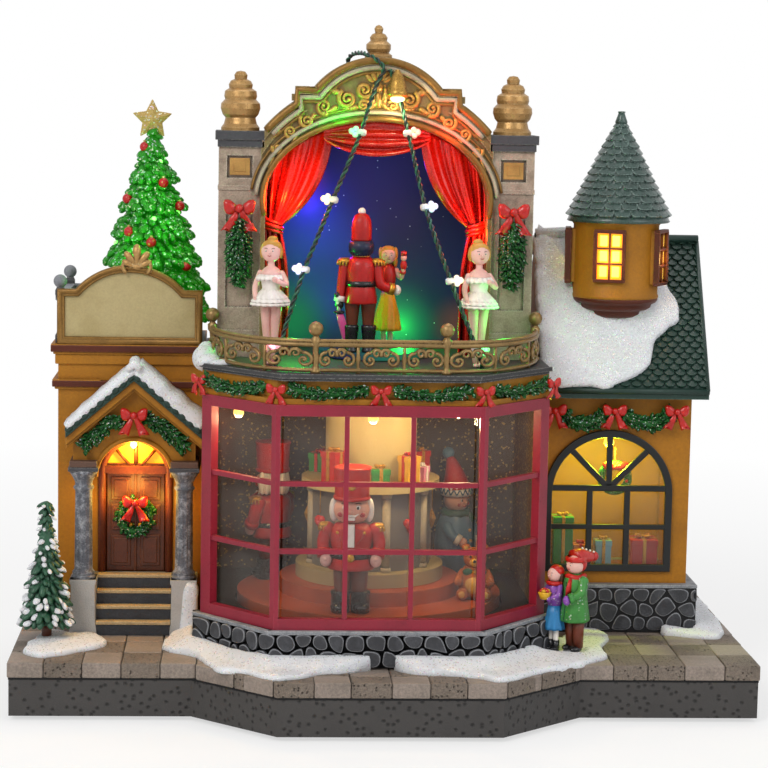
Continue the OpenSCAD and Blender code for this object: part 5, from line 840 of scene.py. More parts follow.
def makeCurtains():
    d = curtains
    s = Shape("curtains")
    cols, vs = 84, [k / 34 for k in range(35)] + [1 + k / 26 for k in range(1, 27)]
    for side in (-1, 1):
        verts = []
        for v in vs:
            for j in range(cols + 1):
                p = drapePoint(j / cols, v)
                verts.append(Vector((p.x * -side, p.y, p.z)) + Vector((stageAt.x, 0, 0)))
        faces = gridFaces(len(vs) - 1, cols + 1, closed=False)
        s.add(verts, faces if side < 0 else [f[::-1] for f in faces], glossRed)
    # the short swagged piece at the crown
    cols, rows = 72, 30
    verts = []
    for i in range(rows + 1):
        v = i / rows
        for j in range(cols + 1):
            u = j / cols
            a = radians(lerp(119, 61, u))
            x, z = d["half"] * cos(a), d["spring"] + d["rise"] * sin(a)
            drop = 3.2 + 11.6 * sin(pi * u) ** 0.8
            pleat = sin(2 * pi * 3.3 * v + 0.6)
            gather = 0.5 * sin(2 * pi * 5 * u + 2.0 * v)
            edge = min(1, 6 * min(u, 1 - u))
            y = -8.9 - edge * (1.15 * pleat * v ** 0.5 + 0.55 * gather * (1 - 0.5 * v)) + 0.4 * noise.noise(Vector((u * 8, v * 4, 1)))
            verts.append(Vector((x + stageAt.x, y, z - drop * v)))
    s.add(verts, gridFaces(rows, cols + 1, closed=False), glossRed)
    obj = s.build(slot="red_gloss", replaces=("stage_curtains",), outward=False)
    thick = obj.modifiers.new("cloth", "SOLIDIFY")
    thick.thickness, thick.offset = 0.5 * mm, 0
    ties = Shape("curtainTies")
    for side in (-1, 1):
        line = [(side * x + stageAt.x, y, z) for x, y, z in ((48.6, -1.2, 207.6), (47.4, -5.2, 206.9), (44.6, -6.3, 205.9),
            (42, -5.3, 205.1), (41, -2.6, 204.8), (42, -1.0, 205))]
        for up, r in ((0, 1.15), (1.9, 0.85), (-1.8, 0.8)):
            ties.tube([Vector(p) + Vector((0, 0, up)) for p in smoothLine(line, 4)], r, glossRed, steps=10)
    ties.build(slot="red_gloss")


makeCurtains()
print("curtains made")


arch = {"crown": (244.95, 35.6), "shoulder": (206.55, 65.4), "roll": 1.7}


def archOutline(inset):
    # the arch's outer edge from left to right, moved inward
    cz, cr = arch["crown"]
    sz, sr = arch["shoulder"]
    r, q = cr - inset, sr - inset
    block = 36 - inset / 2
    top = cz + 22.4 - inset
    side = [(-x, sz + sqrt(q * q - x * x)) for x in [lerp(50 - inset * 0.9, block, k / 8) for k in range(9)]]
    joint = sqrt(max(r * r - (top - cz) ** 2, 0))
    step = [(-block, top), (-joint, top)] if top > side[-1][1] else []
    crown = arcLine(0, cz, r, 180 - degrees(acos(joint / r)), 90, 18)
    half = side + step + crown
    return half + [(-x, z) for x, z in half[::-1][1:]]


def archRim(out, n=48, low=-11):
    # the opening's edge moved outward, from left to right
    d = curtains
    return [((48.6 + out) * cos(radians(a)), d["spring"] + (34.4 + out) * sin(radians(a)))
            for a in [lerp(180 - low, low, k / n) for k in range(n + 1)]]


scrollGold = painted("scrollGold", "b48a46", wash=("6d4a1c", 0.4), drift=0.12, patch=0.006, rough=0.32, metal=0.45,
    recess=("2e1c08", 0.9, 0.0012), edge=("f2dca0", 0.6, 0.0005), bump=0.2)


def makeArch():
    s = Shape("archMouldings")
    x0 = stageAt.x

    def line(points, y):
        return [Vector((x + x0, y, z)) for x, z in points]
    s.tube(line(archOutline(1.7), -15.6), arch["roll"], oldGold, steps=12)
    s.tube(line(archOutline(4.6), -15.3), 1.5, washedCream, steps=10, flat=0.8)
    s.tube(line(archOutline(6.6), -14.7), 0.8, oldGold, steps=8)
    s.tube(line(archRim(1.3), -15.2), 1.25, oldGold, steps=10)
    s.tube(line(archRim(4.0, low=3), -14.5), 1.3, washedCream, steps=10, flat=0.8)
    s.tube(line(archRim(6.3, low=6), -14.2), 0.65, oldGold, steps=8)
    s.build(slot="gold")
    f = Shape("archScrolls")

    def scroll(cx, cz, r, start, turns, way, thick=1.25):
        pts = spiral(r, r * 0.2, turns, start, way, 24)
        for m in (-1, 1):
            f.tube([(m * (cx + x) + x0, -14.5, cz + z) for x, z in pts], [lerp(thick, thick * 0.5, k / 24) for k in range(25)], scrollGold,
                steps=7, flat=1.0)
            f.ball((m * (cx + pts[-1][0]) + x0, -14.7, cz + pts[-1][1]), thick * 0.95, scrollGold, rings=7, steps=10)

    def leaf(cx, cz, angle, length, width):
        # a curled leaf: a ridge of shrinking lobes
        a = radians(angle)
        for m in (-1, 1):
            for k in range(5):
                t = k / 4
                q = (cx + cos(a) * length * t - sin(a) * length * 0.25 * t * t, cz + sin(a) * length * t + cos(a) * length * 0.25 * t * t)
                w = width * (1 - 0.6 * t)
                f.ball((m * q[0] + x0, -14.4, q[1]), (w * 1.15, 1.1, w * 0.85), scrollGold, turn=around("Y", -m * (angle + 14 * t)),
                    rings=7, steps=10)
    scroll(6.2, 266.2, 3.6, radians(-150), 1.5, 1)
    scroll(13.6, 262.2, 4.2, radians(60), 1.6, -1)
    scroll(6.4, 259.4, 2.5, radians(150), 1.3, -1, 1.0)
    scroll(23.6, 258.6, 3.6, radians(-120), 1.5, 1, 1.1)
    scroll(31.0, 252.4, 3.3, radians(40), 1.5, -1, 1.05)
    scroll(38.0, 247.6, 3.0, radians(-130), 1.4, 1, 1.0)
    scroll(43.6, 240.2, 2.5, radians(30), 1.4, -1, 0.95)
    for c in ((2.6, 262, 78, 6, 1.8), (2.2, 259.8, -50, 4, 1.5), (10, 258.6, -20, 5, 1.5), (18.6, 265.2, 12, 5.5, 1.7),
            (19, 258, -35, 5, 1.5), (27.6, 262.4, -18, 5, 1.5), (28, 254.6, -60, 4, 1.3), (35.2, 254.8, -30, 4.6, 1.4),
            (35.6, 245.6, -70, 3.6, 1.2), (42.6, 247.4, -52, 4.2, 1.3), (45.6, 236, -80, 4, 1.2)):
        leaf(*c)
    for k in range(5):
        a = radians(lerp(40, 140, k / 4))
        f.ball((x0 + 5.2 * cos(a), -14.5, 268.2 + 4.6 * sin(a)), (1.2, 0.9, 2.5), scrollGold, turn=around("Y", 90 - degrees(a)), rings=8,
            steps=10)
    f.ball((x0, -14.8, 267.4), (2.1, 1.3, 2.1), scrollGold)
    f.ball((x0, -14.6, 261.6), (1.5, 1.0, 3.4), scrollGold)
    f.build(slot="gold")
    c = Shape("columnTrim")
    for m in (-1, 1):
        x = x0 + m * 59.8
        c.block((x - 9.7, -14.8, 240.6), (x + 9.7, 6.1, 243.6), slateCap)
        c.block((x - 10.7, -15.6, 243.6), (x + 10.7, 6.2, 247.6), slateCap)
        c.block((x - 4.4, -13.2, 228.4), (x + 4.4, -12.2, 235.8), insetGold)
        c.block((x - 2.6, -13.5, 230), (x + 2.6, -13.1, 234.2), insetGold)
        c.block((x - 9.9, -14.1, 149.0), (x + 9.9, 6.1, 151.6), columnStone)
        c.block((x - 9.5, -13.9, 158.6), (x + 9.5, 6.1, 160.8), columnStone)
        c.block((x - 9.5, -13.7, 221.9), (x + 9.5, 6.1, 224.0), columnStone)
    c.build(bevel=0.5, segments=2)


makeArch()
print("arch made")


def leafShape(length, width, thick):
    # a small pointed leaf lying along +Z with its base at the origin
    s = Shape("leaf")
    prof = [(0, 0), (0.55, 0.18), (1.0, 0.42), (0.78, 0.7), (0, 1)]
    verts, faces = [], []
    for r, z in prof:
        w = r * width / 2
        verts += [(-w, thick * 0.35 * r, z * length), (0, -thick * (0.4 + r * 0.6), z * length), (w, thick * 0.35 * r, z * length),
            (0, thick * 0.5 * r, z * length)]
    faces += gridFaces(len(prof) - 1, 4)
    s.add(verts, faces, leafGreen)
    return s


def swagLine(p, q, sag, n=16):
    p, q = Vector(p), Vector(q)
    return [p.lerp(q, k / n) + Vector((0, 0, -4 * sag * (k / n) * (1 - k / n))) for k in range(n + 1)]


garlands = {"leaf": 3.3, "leafWidth": 2.0, "step": 0.92, "seed": 7}


def leavesAlong(line, radius, rng, front=(0, -1, 0), leaf=1.0):
    # leaf places round a garland, all sweeping along it
    places, carry = [], 0.0
    for a, b in zip(line, line[1:]):
        d = b - a
        if d.length < 1e-6:
            continue
        t = d.normalized()
        side = t.cross(Vector(front)).normalized()
        up = side.cross(t)
        s = garlands["step"] - carry
        while s < d.length:
            p = a + t * s
            for _ in range(5):
                w = rng.uniform(0, 2 * pi)
                out = side * cos(w) + up * sin(w)
                places.append((p + out * radius * 0.55, out * 0.85 + t * rng.uniform(0.3, 1.0) + Vector((0, 0, -0.15)), t,
                    leaf * rng.uniform(0.75, 1.15)))
            s += garlands["step"]
        carry = d.length - (s - garlands["step"])
    return places


def makeGarlands():
    rng = random.Random(garlands["seed"])
    core, places = Shape("garlandCores"), []
    z, y, fx, bx = 143.11, -70.7, 42.4, 75.6

    def hang(line, r, leaf=1.0):
        line = [Vector(p) for p in line]
        core.tube(line, r * 0.62, leafGreen, steps=8)
        places.extend(leavesAlong(line, r, rng, leaf=leaf))
    for m in (-1, 1):
        hang([v + stageAt for v in swagLine((m * 5, y, z), (m * (fx - 4), y, z), 2.6)], 1.9, 0.85)
        hang([v + stageAt for v in swagLine((m * (fx + 5), y + 5, z), (m * (bx - 2), -39.8, z), 2.6)], 1.9, 0.85)
        drop = [(0.8, 0), (3.2, 5), (4.6, 12), (4.2, 18), (2.4, 24)]
        for r, h in drop:
            for k in range(int(10 + r * 7)):
                w = 2 * pi * (k + rng.random()) / int(10 + r * 7)
                for lift in (-2.2, 0, 2.2):
                    out = Vector((cos(w), sin(w), -0.75))
                    places.append((stageAt + Vector((m * 59.8, -12.5, 185 + h + lift + rng.uniform(-0.8, 0.8))) + out * r * 0.72, out, None,
                        rng.uniform(0.9, 1.3)))
        core.lathe([(0, 0), (2.4, 5), (3.6, 12), (3.3, 18), (1.8, 24), (0, 25)], stageAt + Vector((m * 59.8, -12.5, 185)), leafGreen, 16)
    for m in (0, 1):
        hang(swagLine((79.4 + m * 28, -6.6, 125.5), (100.4 + m * 29, -6.6, 125.5), 5.4), 2.8, 1.0)
    x0 = -109.7
    for m in (-1, 1):
        hang([(x0 + m * (1.5 + 4.2 * k), -16.4, 122.4 - 0.9 * k ** 1.7) for k in [0.2 * j for j in range(2, 26)]], 2.6, 1.0)
    hang([(x0 + 6.6 * cos(a), -1.4, 75 + 6.6 * sin(a)) for a in [2 * pi * k / 40 for k in range(41)]], 2.0, 0.85)
    core.build(slot="green_leaf")
    repeatPart("garlandLeaves", leafShape(garlands["leaf"], garlands["leafWidth"], 0.5), places, leafGreen, turnChange=0.35, seed=3,
        replaces=("garlands",))


def ribbonLoop(s, at, right, up, out, size, m, mat):
    # one puffed loop of a bow, pinched at the knot and creased along its middle
    verts, rings, steps = [], 9, 16
    for i in range(rings):
        t = i / (rings - 1)
        x = 0.25 + 3.9 * t
        r = 0.55 + 1.55 * sin(min(t * 1.25, 1.0) * pi * 0.62) ** 1.3
        if i == rings - 1:
            r *= 0.62
        for k in range(steps):
            a = 2 * pi * k / steps
            flat = 0.62 - 0.18 * cos(2 * a) * (1 - t)
            crease = 1 - 0.2 * exp(-((abs(sin(a)) - 1) / 0.25) ** 2)
            verts.append(Vector(at) + right * (m * x * size) + up * ((r * cos(a) + 0.5 * t) * size) + out
                * (r * flat * crease * sin(a) * size))
    verts += [Vector(at) + right * (m * 0.1 * size), Vector(at) + right * (m * 4.1 * size) + up * 0.5 * size]
    faces = gridFaces(rings - 1, steps)
    faces += [(rings * steps, (k + 1) % steps, k) for k in range(steps)]
    faces += [(rings * steps + 1, (rings - 1) * steps + k, (rings - 1) * steps + (k + 1) % steps) for k in range(steps)]
    s.add(verts, faces, mat)


def ribbonTail(s, at, right, up, out, size, m, mat, lean=0.5, length=6.2):
    rows = []
    for k in range(9):
        t = k / 8
        c = Vector(at) + right * (m * (0.3 + lean * length * t) * size) - up * ((0.3 + length * t)
            * size) + out * ((0.45 + 0.5 * sin(6 * t + m)) * size)
        w, thick = (0.45 + 1.25 * t) * size, 0.34 * size
        notch = 1.1 * size if k == 8 else 0
        front = [c + right * (f * w) + up * (f * m * 0.25 * size + notch * (1 - abs(f))) + out * (thick * (1 + 0.5 * cos(f * 4)))
            for f in (-1, -0.5, 0, 0.5, 1)]
        back = [c + right * (f * w) + up * (f * m * 0.25 * size + notch * (1 - abs(f))) - out * thick for f in (1, 0.5, 0, -0.5, -1)]
        rows.append(front + back)
    n = 10
    faces = gridFaces(8, n)
    faces += [tuple(range(n)), tuple(8 * n + j for j in range(n - 1, -1, -1))]
    s.add(flatten(rows), faces, mat)


def makeBow(s, at, width, turn, mat):
    size = width / 8.4
    right = around("Z", turn) @ Vector((1, 0, 0))
    out = around("Z", turn) @ Vector((0, -1, 0))
    up = Vector((0, 0, 1))
    for m in (-1, 1):
        ribbonLoop(s, Vector(at) + out * 0.6 * size, right, (up + right * 0.12 * m).normalized(), out, size, m, mat)
        ribbonTail(s, Vector(at) + out * 0.3 * size, right, up, out, size, m, mat)
    s.ball(Vector(at) + out * 1.2 * size, (1.15 * size, 1.15 * size, 1.25 * size), mat, rings=8, steps=12)


def makeBows():
    s = Shape("bows")
    z, y = 142.326, -72.9
    spots = [((stageAt.x, y - 2.8, z), 8.4, 0)]
    for m in (-1, 1):
        spots += [((stageAt.x + m * 43.4, y - 1.8, z), 8.4, m * 24), ((stageAt.x + m * 75.8, -43.4, z), 8.4, m * 48),
            ((stageAt.x + m * 59.8, -17.6, 214.2), 13.4, 0)]
    spots += [((x, -8.2, 126), 10.5, 0) for x in (76.4, 103.4, 131.4)]
    spots += [((-109.7, -19.2, 123.3), 11.5, 0), ((-109.7, -4.4, 82), 11, 0)]
    for at, width, turn in spots:
        makeBow(s, at, width, turn, ribbonRed)
    s.build(slot="red_ribbon", replaces=("ribbon_bows",))


makeGarlands()
makeBows()
print("garlands and bows made")


roofTree = {"at": (-104, 30, 152.4), "height": 94, "radius": 27.4, "trunk": 9, "tiers": 7, "taper": 0.78, "seed": 11}


def blobShape(r, long, squash=0.7):
    s = Shape("blob")
    s.ball((0, 0, long * 0.45), (r, r * squash, long * 0.55), treeGreenGlowing, rings=5, steps=8)
    return s


def makeRoofTree():
    d = roofTree
    rng = random.Random(d["seed"])
    base, h, r0, n = Vector(d["at"]), d["height"] - d["trunk"], d["radius"], d["tiers"]
    core = Shape("roofTreeCore")
    prof = [(0, 0), (r0 * 0.2, 0), (r0 * 0.2, d["trunk"])]
    for k in range(n):
        a, b = k / n, (k + 1) / n
        wide = r0 * (1 - a) ** d["taper"]
        prof += [(wide * 0.8, d["trunk"] + h * a + 1.5), (wide * 0.82, d["trunk"] + h * a + 3.5),
            (max(r0 * (1 - b) * 0.6, 0.6), d["trunk"] + h * b)]
    prof += [(0, d["height"] - 1)]
    core.lathe(prof, base, treeGreenGlowing, 40, flute=lambda a, z: 1 + 0.05 * sin(9 * a + z * 0.4))
    core.build(slot="tree_green")
    places = []
    for k in range(n):
        a = k / n
        z0, zt = d["trunk"] + h * a, h / n
        for ring in range(4):
            f = ring / 4
            r = lerp(r0 * (1 - a) ** d["taper"] + 0.8, r0 * max(1 - a - 1 / n, 0) ** d["taper"] * 0.78, f)
            count = max(int(2 * pi * r / 3.7), 5)
            for j in range(count):
                w = 2 * pi * (j + 0.5 * (ring % 2) + rng.uniform(-0.2, 0.2)) / count
                out = Vector((cos(w), sin(w), 0))
                p = base + out * (r - 3.6) + Vector((0, 0, z0 + 3.4 + zt * f * 0.95 + rng.uniform(-0.7, 0.7)))
                places.append((p, out * 0.85 + Vector((0, 0, -0.62 + 0.25 * f)), None, rng.uniform(0.78, 1.05) * (0.82 + 0.18 * (1 - a))))
    repeatPart("roofTreeTufts", blobShape(2.5, 6.2), places, treeGreenGlowing, turnChange=0.3, seed=5, replaces=("roof_tree",))
    balls = Shape("roofTreeBalls")
    for x, z in ((-112.5, 239), (-99.1, 223.2), (-117.7, 215.7), (-87.6, 212.8), (-114.2, 201.3), (-88.4, 186.3), (-104, 197),
            (-120.5, 183), (-100, 178)):
        t = (z - 152.4 - d["trunk"]) / h
        r = r0 * (1 - t) ** d["taper"] + 0.2
        dx = min(max(x - base.x, -0.9 * r), 0.9 * r)
        x, y = base.x + dx, base.y - sqrt(r * r - dx * dx)
        balls.ball((x, y, z), 2.3, ballRed)
        balls.lathe([(0, 0), (0.7, 0), (0.7, 0.9), (0, 0.9)], (x, y, z + 2.1), starGold, 10)
    for k in range(22):
        t = rng.uniform(0.04, 0.9)
        w = rng.uniform(0.1, pi * 2)
        r = r0 * (1 - t) * 0.98 + 0.6
        balls.ball(base + Vector((r * cos(w), r * sin(w), d["trunk"] + h * t)), 1.15, treeLed, rings=7, steps=10)
    balls.build(slot="red_ribbon")
    for place, power in (((-113, 6, 190), 0.012), (( -92, 4, 206), 0.012), ((-104, 8, 226), 0.008), ((-118, 6, 172), 0.008)):
        pointLamp("treeGlow", place, power, (0.15, 1.0, 0.12), 3)


def makeStar():
    s = Shape("treeStar")
    c, R, r, t = Vector((-104.6, 30, 251.2)), 9.8, 4.9, 2.5
    ring = []
    for k in range(10):
        q = R if k % 2 == 0 else r
        ring.append(c + Vector((q * sin(radians(k * 36)), 0, q * cos(radians(k * 36)))))
    verts = ring + [c + Vector((0, -t, 0)), c + Vector((0, t, 0))]
    faces = [(k, (k + 1) % 10, 10) for k in range(10)] + [((k + 1) % 10, k, 11) for k in range(10)]
    s.add(verts, faces, starGold, smooth=False)
    s.lathe([(0, 0), (1.3, 0), (1.2, 5), (0, 5.4)], c + Vector((0, 0, -8.6)), starGold, 14)
    s.build(slot="gold", replaces=("tree_star",), bevel=0.35, segments=2, angle=12)


fir = {"at": (-146.6, -30, 25), "height": 61, "radius": 11, "foot": 7.5, "tiers": 7, "seed": 21}


def makeFir():
    d = fir
    rng = random.Random(d["seed"])
    base, h, r0, n = Vector(d["at"]), d["height"] - d["foot"], d["radius"], d["tiers"]
    core = Shape("firCore")
    core.lathe([(0, 0), (2.3, 0), (2.1, d["foot"] + 2), (0, d["foot"] + 2)], base, darkWood, 14)
    core.lathe([(0, d["foot"]), (r0 * 0.72, d["foot"] + 1), (r0 * 0.5, d["foot"] + h * 0.4), (r0 * 0.26, d["foot"] + h * 0.75),
        (0, d["height"] - 1)], base, firGreen, 20)
    core.build(slot="tree_green")
    leaves, snow = [], []
    for k in range(n):
        a = k / n
        for ring in range(3):
            f = ring / 3
            r = lerp(r0 * (1 - a ** 1.25 * 0.9) + 0.3, r0 * (1 - (a + 1 / n) ** 1.25 * 0.9) * 0.8, f)
            count = max(int(2 * pi * r / 3.1), 6)
            for j in range(count):
                w = 2 * pi * (j + 0.5 * (ring % 2) + rng.uniform(-0.15, 0.15)) / count
                out = Vector((cos(w), sin(w), 0))
                z = d["foot"] + h * (a + f / n) + 4.2 * (1 - a * 0.5)
                p = base + out * max(r - 4.4, 0.2) + Vector((0, 0, z))
                way = out * 0.8 + Vector((0, 0, -0.72 + 0.1 * f))
                size = rng.uniform(1.15, 1.5) * (1 - 0.4 * a)
                leaves.append((p - way.normalized() * 1.2, way, None, size))
                if rng.random() < 0.34:
                    spot = p + way.normalized() * 2.6 * size + out * 0.9 * size + Vector((0, 0, 0.5))
                    spot.x = max(spot.x, d["at"][0] - r0 + 1.2)
                    snow.append((spot, way + Vector((0, 0, 0.3)), None, size * rng.uniform(0.75, 1.2)))
    leaf = Shape("frond")
    leaf.ball((0, 0, 2.9), (1.35, 0.95, 3.0), firGreen, rings=6, steps=8)
    repeatPart("firFronds", leaf, leaves, firGreen, turnChange=0.25, seed=9, replaces=("snowy_fir",))
    dab = Shape("dab")
    dab.ball((0, 0, 0.4), (1.05, 0.8, 1.7), snowWhite, rings=6, steps=8)
    repeatPart("firSnow", dab, snow, snowWhite, turnChange=0.3, seed=10)


treeLed = painted("treeLed", "c8ffb8", rough=0.3, drift=0.02, glow=("66ff50", 2.4))
makeRoofTree()
makeStar()
makeFir()
print("trees made")


redCloth = painted("redCloth", "b81a17", wash=("740a0c", 0.4), drift=0.08, patch=0.005, rough=0.38, recess=("3c0405", 0.8, 0.0014),
    edge=("e8583e", 0.4, 0.0004), bump=0.15, coat=0.2)


def plainPaint(name, code, dark, rough=0.4, coat=0.15, **more):
    return painted(name, code, wash=(dark, 0.4), drift=0.08, patch=0.005, rough=rough, recess=(dark, 0.6, 0.0012), bump=0.12, coat=coat,
        **more)


brownCloth = plainPaint("brownCloth", "6b3220", "381609")
blueCloth = plainPaint("blueCloth", "5a82a6", "34506b")
navyHair = plainPaint("navyHair", "1c2340", "0c1020")
blondeHair = plainPaint("blondeHair", "c9963f", "7a5218")
brownHair = plainPaint("brownHair", "4a2814", "241006")
yellowCloth = plainPaint("yellowCloth", "d9a828", "8c6410")
greenCloth = plainPaint("greenCloth", "1d5636", "0c2c1a")
toyGold = painted("toyGold", "c99433", wash=("855412", 0.4), drift=0.1, rough=0.3, metal=0.55, bump=0.12, edge=("f4d98c", 0.5, 0.0004))
bearFur = painted("bearFur", "a8561c", wash=("6c3009", 0.5), drift=0.15, patch=0.003, grain=0.0005, rough=0.55, bump=0.6,
    edge=("d8904a", 0.4, 0.0006))
pinkPaint = plainPaint("pinkPaint", "e0559a", "9c2460")
coatGreen = plainPaint("coatGreen", "3f8a3c", "1e5024", glitter=(0.04, 0.0005))
violetCloth = plainPaint("violetCloth", "8a4fb0", "4c2470", glitter=(0.04, 0.0005))
brightBlue = plainPaint("brightBlue", "2f7fb8", "174a78")
lipRed = plainPaint("lipRed", "b03a3c", "7c1c20")


def makeFace(s, at, r, skin, doll=False):
    # eyes, brows, nose, cheeks and mouth on a head that looks to -Y
    c = Vector(at)

    def on(x, z, out=1.0):
        return c + Vector((x * r, -r * out * sqrt(max(1 - x * x - z * z, 0)), z * r))
    for m in (-1, 1):
        eye = 1.0 if doll else 0.72
        s.ball(on(m * 0.34, 0.12, 0.985), (0.12 * r * eye, 0.05 * r, 0.12 * r * eye), whitePaint, rings=6, steps=8)
        s.ball(on(m * 0.335, 0.115, 1.02), (0.078 * r * eye, 0.05 * r, 0.09 * r * eye), blackBoot, rings=6, steps=8)
        s.tube([on(m * 0.2, 0.33, 1.0), on(m * 0.36, 0.4, 1.0), on(m * 0.5, 0.34, 1.0)], 0.026 * r, brownHair, steps=6)
        if doll:
            s.ball(on(m * 0.52, -0.22, 0.97), (0.16 * r, 0.07 * r, 0.14 * r), lipRed, rings=6, steps=8)
    s.ball(on(0, -0.05, 1.03), (0.11 * r, 0.13 * r, 0.12 * r), skin, rings=6, steps=8)
    s.tube([on(-0.18, -0.33, 1.0), on(0, -0.39, 1.02), on(0.18, -0.33, 1.0)], 0.04 * r, lipRed, steps=6)


def makeArm(s, points, r, cloth, hand=None, cuff=None):
    line = smoothLine(points, 4)
    s.tube(line, [lerp(r * 1.15, r * 0.82, k / (len(line) - 1)) for k in range(len(line))], cloth, steps=12)
    s.ball(line[0], r * 1.2, cloth, rings=8, steps=12)
    way = (line[-1] - line[-3]).normalized()
    if cuff:
        s.tube([line[-1] - way * r * 0.9, line[-1] + way * 0.1 * r], r * 1.12, cuff, steps=12)
    if hand:
        s.ball(line[-1] + way * r * 0.7, (r * 0.85, r * 0.8, r), hand, rings=8, steps=10)
        s.ball(line[-1] + way * r * 0.6 + Vector((0, -r * 0.7, 0.2 * r)), r * 0.36, hand, rings=6, steps=8)


def makeSoldier(s, armA, armB, trousers, hair):
    # 62 high, looks to -Y
    for m in (-1, 1):
        s.lathe([(0, 0), (2.9, 0), (3.0, 0.9), (2.75, 1.3), (2.7, 5), (3.15, 9), (3.3, 11), (3.3, 11.8), (2.6, 12.2), (0, 12.2)],
            (m * 3.8, 0, 0), blackBoot, 20)
        s.ball((m * 3.8, -1.5, 1.3), (2.5, 3.0, 1.6), blackBoot, rings=8, steps=12)
        s.lathe([(2.3, 11), (2.6, 14), (3.3, 20), (3.9, 25), (0, 26)], (m * 3.5, 0, 0), trousers, 20)
    s.lathe([(0, 21.5), (7.2, 21.6), (7.5, 22.2), (6.5, 28), (6.1, 30.2), (6.5, 35), (6.5, 38.5), (5.6, 40.8), (3.4, 42.4), (0, 42.8)],
        (0, 0, 0), redCloth, 32, flute=lambda a, z: 1 + (0.035 * cos(7 * a) if z < 28 else 0))
    s.lathe([(6.2, 28.9), (6.75, 29.1), (6.75, 31.3), (6.2, 31.5)], (0, 0, 0), blackBoot, 28)
    s.block((-1.5, -7.2, 28.7), (1.5, -6.5, 31.7), toyGold)
    s.block((-0.8, -7.35, 29.3), (0.8, -7.0, 31.1), blackBoot)
    for k in range(4):
        for m in (-1, 1):
            s.ball((m * 1.7, -6.25 - 0.12 * (k % 2), 33 + k * 1.9), 0.42, toyGold, rings=5, steps=8)
        s.tube([(-1.6, -6.4, 33 + k * 1.9), (1.6, -6.4, 33 + k * 1.9)], 0.22, toyGold, steps=6)
    s.tube([(0, -7.0, 22), (0, -6.4, 30)], 0.24, toyGold, steps=6)
    for m, pts, glove, cuff in ((-1, armA, whitePaint, toyGold), (1, armB, blackBoot, whitePaint)):
        s.lathe([(0, 1.5), (2.2, 1.3), (3.3, 0.5), (3.45, -0.3), (3.1, -0.6), (0, -0.7)], (m * 7.0, 0, 40), toyGold, 20)
        for k in range(14):
            w = 2 * pi * k / 14
            s.tube([(m * 7.0 + 3.2 * cos(w), 3.2 * sin(w), 39.9), (m * 7.0 + 3.4 * cos(w), 3.4 * sin(w), 38.2)], 0.42, toyGold, steps=5)
        makeArm(s, [(m * 6.9, 0, 38.6)] + pts, 2.35, redCloth, glove, cuff)
    s.lathe([(3.6, 41.2), (3.9, 41.6), (3.7, 43.4), (3.0, 43.9)], (0, 0, 0), toyGold, 24)
    s.ball((0, 0, 46.6), (4.6, 4.6, 4.9), skinPaint, rings=16, steps=24)
    makeFace(s, (0, 0, 46.3), 4.75, skinPaint)
    for k in range(15):
        w = radians(-18 + 216 * k / 14)
        s.ball((4.3 * cos(w), 4.2 * sin(w) + 0.4, 46.2 - 0.8 * sin(w)), (1.25, 1.25, 3.2), hair, rings=7, steps=8)
    s.lathe([(0, 48.4), (4.3, 48.4), (4.4, 50), (4.45, 54.5), (4.1, 57.6), (3.1, 59.9), (1.6, 60.9), (0, 61.1)], (0, 0, 0), redCloth, 32)
    s.lathe([(3.6, 43.6), (5.3, 44.0), (5.5, 46.4), (4.9, 48.6), (4.3, 48.9)], (0, 0.5, 0), hair, 40, flute=lambda a,
        z: 1 + 0.05 * cos(11 * a + z))
    s.plate([(5.6 * sin(radians(a)), 0.75 * -5.2 * cos(radians(a)) - 1.6) for a in range(-60, 61, 12)] + [(4.2, -1.4), (0, -3.9),
        (-4.2, -1.4)], 48.2, 49.0, blackBoot, plane="xy")
    s.ball((0, 0, 61.6), 1.7, whitePaint, rings=8, steps=12)


couple = {"at": (-5, -4, 152.05), "height": 62}


